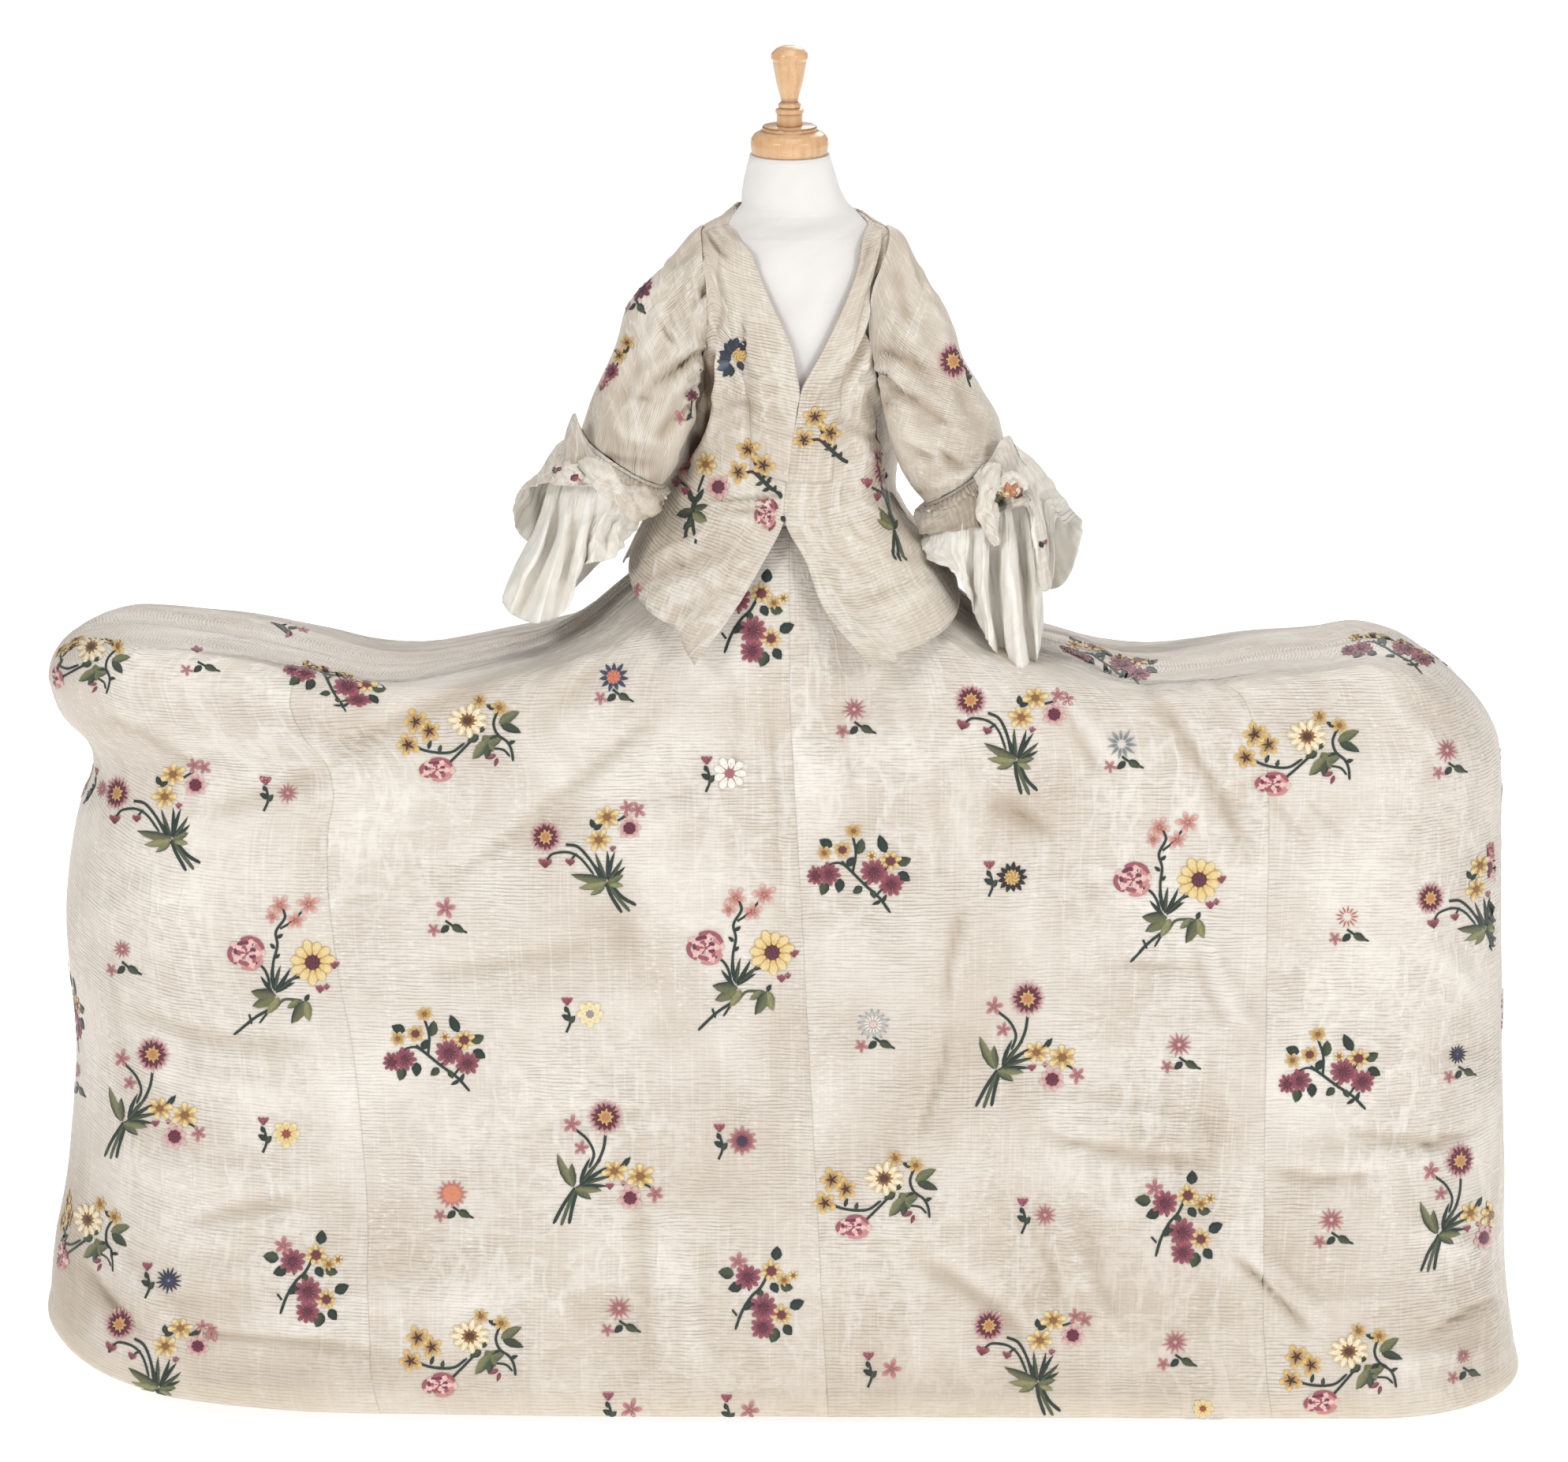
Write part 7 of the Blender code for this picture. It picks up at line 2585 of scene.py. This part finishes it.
FRILLS_IN_SIGHT = """
    poppy: 1279 622 0
    bud_mark: 1170 707 0, 728 606 30
    knot: 706 597 60, 1323 690 80
"""


def petticoat_place(girth, height):
    """Point and normal on the smooth petticoat by girth and distance up from the hem."""
    rows = np.linspace(3, 0, 240)[:, None]
    up = thread_lengths(np.full((240, 1), float(girth)), rows)[:, 0]
    row = np.interp(height, up[::-1], rows[::-1, 0])
    point, normal, _ = petticoat_frame(np.array([float(girth)]), np.array([row]))
    return Vector(point[0].tolist()), Vector(normal[0].tolist())


def in_view(tree, point):
    """Whether the picture shows this place on the cloth, or cloth within a sprig's reach of it."""
    hit = tree.ray_cast(*sight(*project(np.array(point)).tolist()))[0]
    return hit is not None and (hit - point).length < SPRIG_REACH


SPRIG_REACH = 0.06
LOOM_REPEAT = 0.355  # of the large sprigs up a width
LOOM_COLUMNS = (("E", "B"), ("A", "C"), ("D", "F"))  # of each width, whose sprigs take turns
LOOM_SINGLES = ("slate", "white", "star", "black", "amber", "salmon", "purple", "frost", "pale", "grey")
SEEN_GIRTH = 0.78  # up to here from the centre front the picture shows every sprig
SIDE_TOP, MIDDLE_TOP = 1.22, 1.40  # length up the cloth where the sprigs end
LARGE_FROM, SINGLE_FROM = 0.09, 0.05  # length up the cloth from which they start
SINGLE_ASIDE, SINGLE_RADIUS = 0.012, 18  # metres to the side of the large ones, and the charts' units


def hidden_sprigs(tree):
    """The loom's repeat carried on round the ends and the back: three columns a width, in which large sprigs
    and single flowers take turns."""
    rows, turn = [], 0
    half_left, half_right = half_girths()
    for width in range(-FRONT_WIDTHS, FRONT_WIDTHS):
        loom = (half_left if width < 0 else half_right) / FRONT_WIDTHS
        top = SIDE_TOP if width in (-FRONT_WIDTHS, FRONT_WIDTHS - 1) else MIDDLE_TOP
        for column in range(3):
            girth = (width + (column + 0.5) / 3) * loom
            if abs(girth) < SEEN_GIRTH:
                continue
            first = (0.07 + 0.31 * (width % 3) + 0.12 * column) % LOOM_REPEAT
            for step in range(5):
                turn += 1
                height = first + step * LOOM_REPEAT
                point, normal = petticoat_place(girth, height)
                if LARGE_FROM < height < top and not in_view(tree, point):
                    chart = LOOM_COLUMNS[(column + width) % 3][step % 2]
                    rows.append((CHARTS[chart], point, normal, 5 * math.sin(turn * 1.7), None))
                height += LOOM_REPEAT / 2
                point, normal = petticoat_place(girth + SINGLE_ASIDE, height)
                if SINGLE_FROM < height < top and not in_view(tree, point):
                    chart = small_chart(LOOM_SINGLES[turn % 10], SINGLE_RADIUS, turn % 2)
                    rows.append((chart, point, normal, 0, None))
    return rows


# The same for the view from behind, laid freely, since the photo doesn't show it.
JACKET_BEHIND = """
    A: 1000 345 0
    B: 1075 560 0
    C: 1080 770 0
    E: 960 690 0
    D: 930 480 0
    F: 900 790 0
    salmon: 1060 440 18 1
    star: 985 580 18 0
    blue: 1010 830 19 1
    white: 880 620 18 1
    amber: 1120 660 18 1
"""
SLEEVES_BEHIND = """
    C: 1165 440 -20
    D: 850 400 20
    purple: 790 520 18 1
    slate: 1225 560 18 0
"""


def build_sprigs(petticoat, jacket, sleeves, frills):
    tree = cloth_tree(petticoat)
    lay_sprigs("floss_petticoat_front", tree, seen(tree, PETTICOAT_IN_SIGHT, 0.4))
    lay_sprigs("floss_petticoat_round", tree, hidden_sprigs(tree))
    tree = cloth_tree(jacket)
    lay_sprigs("floss_jacket", tree, seen(tree, JACKET_IN_SIGHT, 0.6) + behind(tree, JACKET_BEHIND))
    tree = cloth_tree(sleeves)
    lay_sprigs("floss_sleeves", tree, seen(tree, SLEEVES_IN_SIGHT, 0.4) + behind(tree, SLEEVES_BEHIND))
    tree = cloth_tree(frills)
    lay_sprigs("floss_frills", tree, seen(tree, FRILLS_IN_SIGHT, 1.0))


# ---------------------------------------------------------------- studio

WORLD_STRENGTH = 0.31
FLOOR_REACH = 14.0
LAMPS = table("""
    x y z size power
    -3.2 -4.0 3.8 1.4 92
    3.7 -3.6 3.2 1.7 86
    0.2 -0.5 4.7 2.6 54
    0.8 4.2 3.6 2.6 58
""")
LAMP_NAMES = ("key", "fill", "top", "rim")


def build_studio():
    scene = bpy.context.scene
    eye = bpy.data.cameras.new("camera")
    eye.sensor_width = 36
    eye.lens = FOCAL / WIDE * eye.sensor_width
    eye.shift_x = -(AIM_X - WIDE / 2) / WIDE
    eye.shift_y = -(HIGH / 2 - AIM_Y) / WIDE
    eye.clip_end = 100
    camera = bpy.data.objects.new("camera", eye)
    camera.location = (0, -DISTANCE * math.cos(ELEVATION), TARGET_HEIGHT + DISTANCE * math.sin(ELEVATION))
    camera.rotation_euler = (math.pi / 2 - ELEVATION, 0, 0)
    scene.collection.objects.link(camera)
    scene.camera = camera

    for name, x, y, z, size, power in zip(LAMP_NAMES, *LAMPS.values()):
        lamp = bpy.data.lights.new(name, "AREA")
        lamp.shape = "DISK"
        lamp.size = size
        lamp.energy = power
        made = bpy.data.objects.new(name, lamp)
        made.location = (x, y, z)
        way = Vector((0, 0, TARGET_HEIGHT)) - made.location
        made.rotation_euler = way.to_track_quat("-Z", "Y").to_euler()
        scene.collection.objects.link(made)

    world = bpy.data.worlds.new("studio")
    world.use_nodes = True
    world.node_tree.nodes["Background"].inputs["Color"].default_value = (1, 1, 1, 1)
    world.node_tree.nodes["Background"].inputs["Strength"].default_value = WORLD_STRENGTH
    scene.world = world
    scene.view_settings.view_transform = "Standard"

    ground = bpy.data.meshes.new("studio_floor")
    corners = [(x * FLOOR_REACH, y * FLOOR_REACH, 0) for x, y in ((-1, -1), (1, -1), (1, 1), (-1, 1))]
    ground.from_pydata(corners, [], [(0, 1, 2, 3)])
    floor = bpy.data.objects.new("studio_floor", ground)
    made = Nodes("studio_paper", 0.9, 0.1)
    made.shader.inputs["Base Color"].default_value = (0.82, 0.82, 0.82, 1)
    made.shader.inputs["Emission Color"].default_value = (1, 1, 1, 1)
    made.shader.inputs["Emission Strength"].default_value = 0.78
    ground.materials.append(made.material)
    scene.collection.objects.link(floor)


# ---------------------------------------------------------------- the scene

build_studio()
petticoat = build_petticoat()
build_waistband()
jacket = build_jacket()
sleeves = build_sleeves()
frills = build_frills()
build_form()
build_sprigs(petticoat, jacket, sleeves, frills)
build_turned("turned_finial", "finial", FINIAL, FINIAL_LINES)
build_turned("turned_cap", "neck_cap", NECK_CAP, CAP_LINES)
paint = painted_metal()
for node in ("stand_pole", "stand_base"):
    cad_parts[node].data.materials.clear()
    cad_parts[node].data.materials.append(paint)
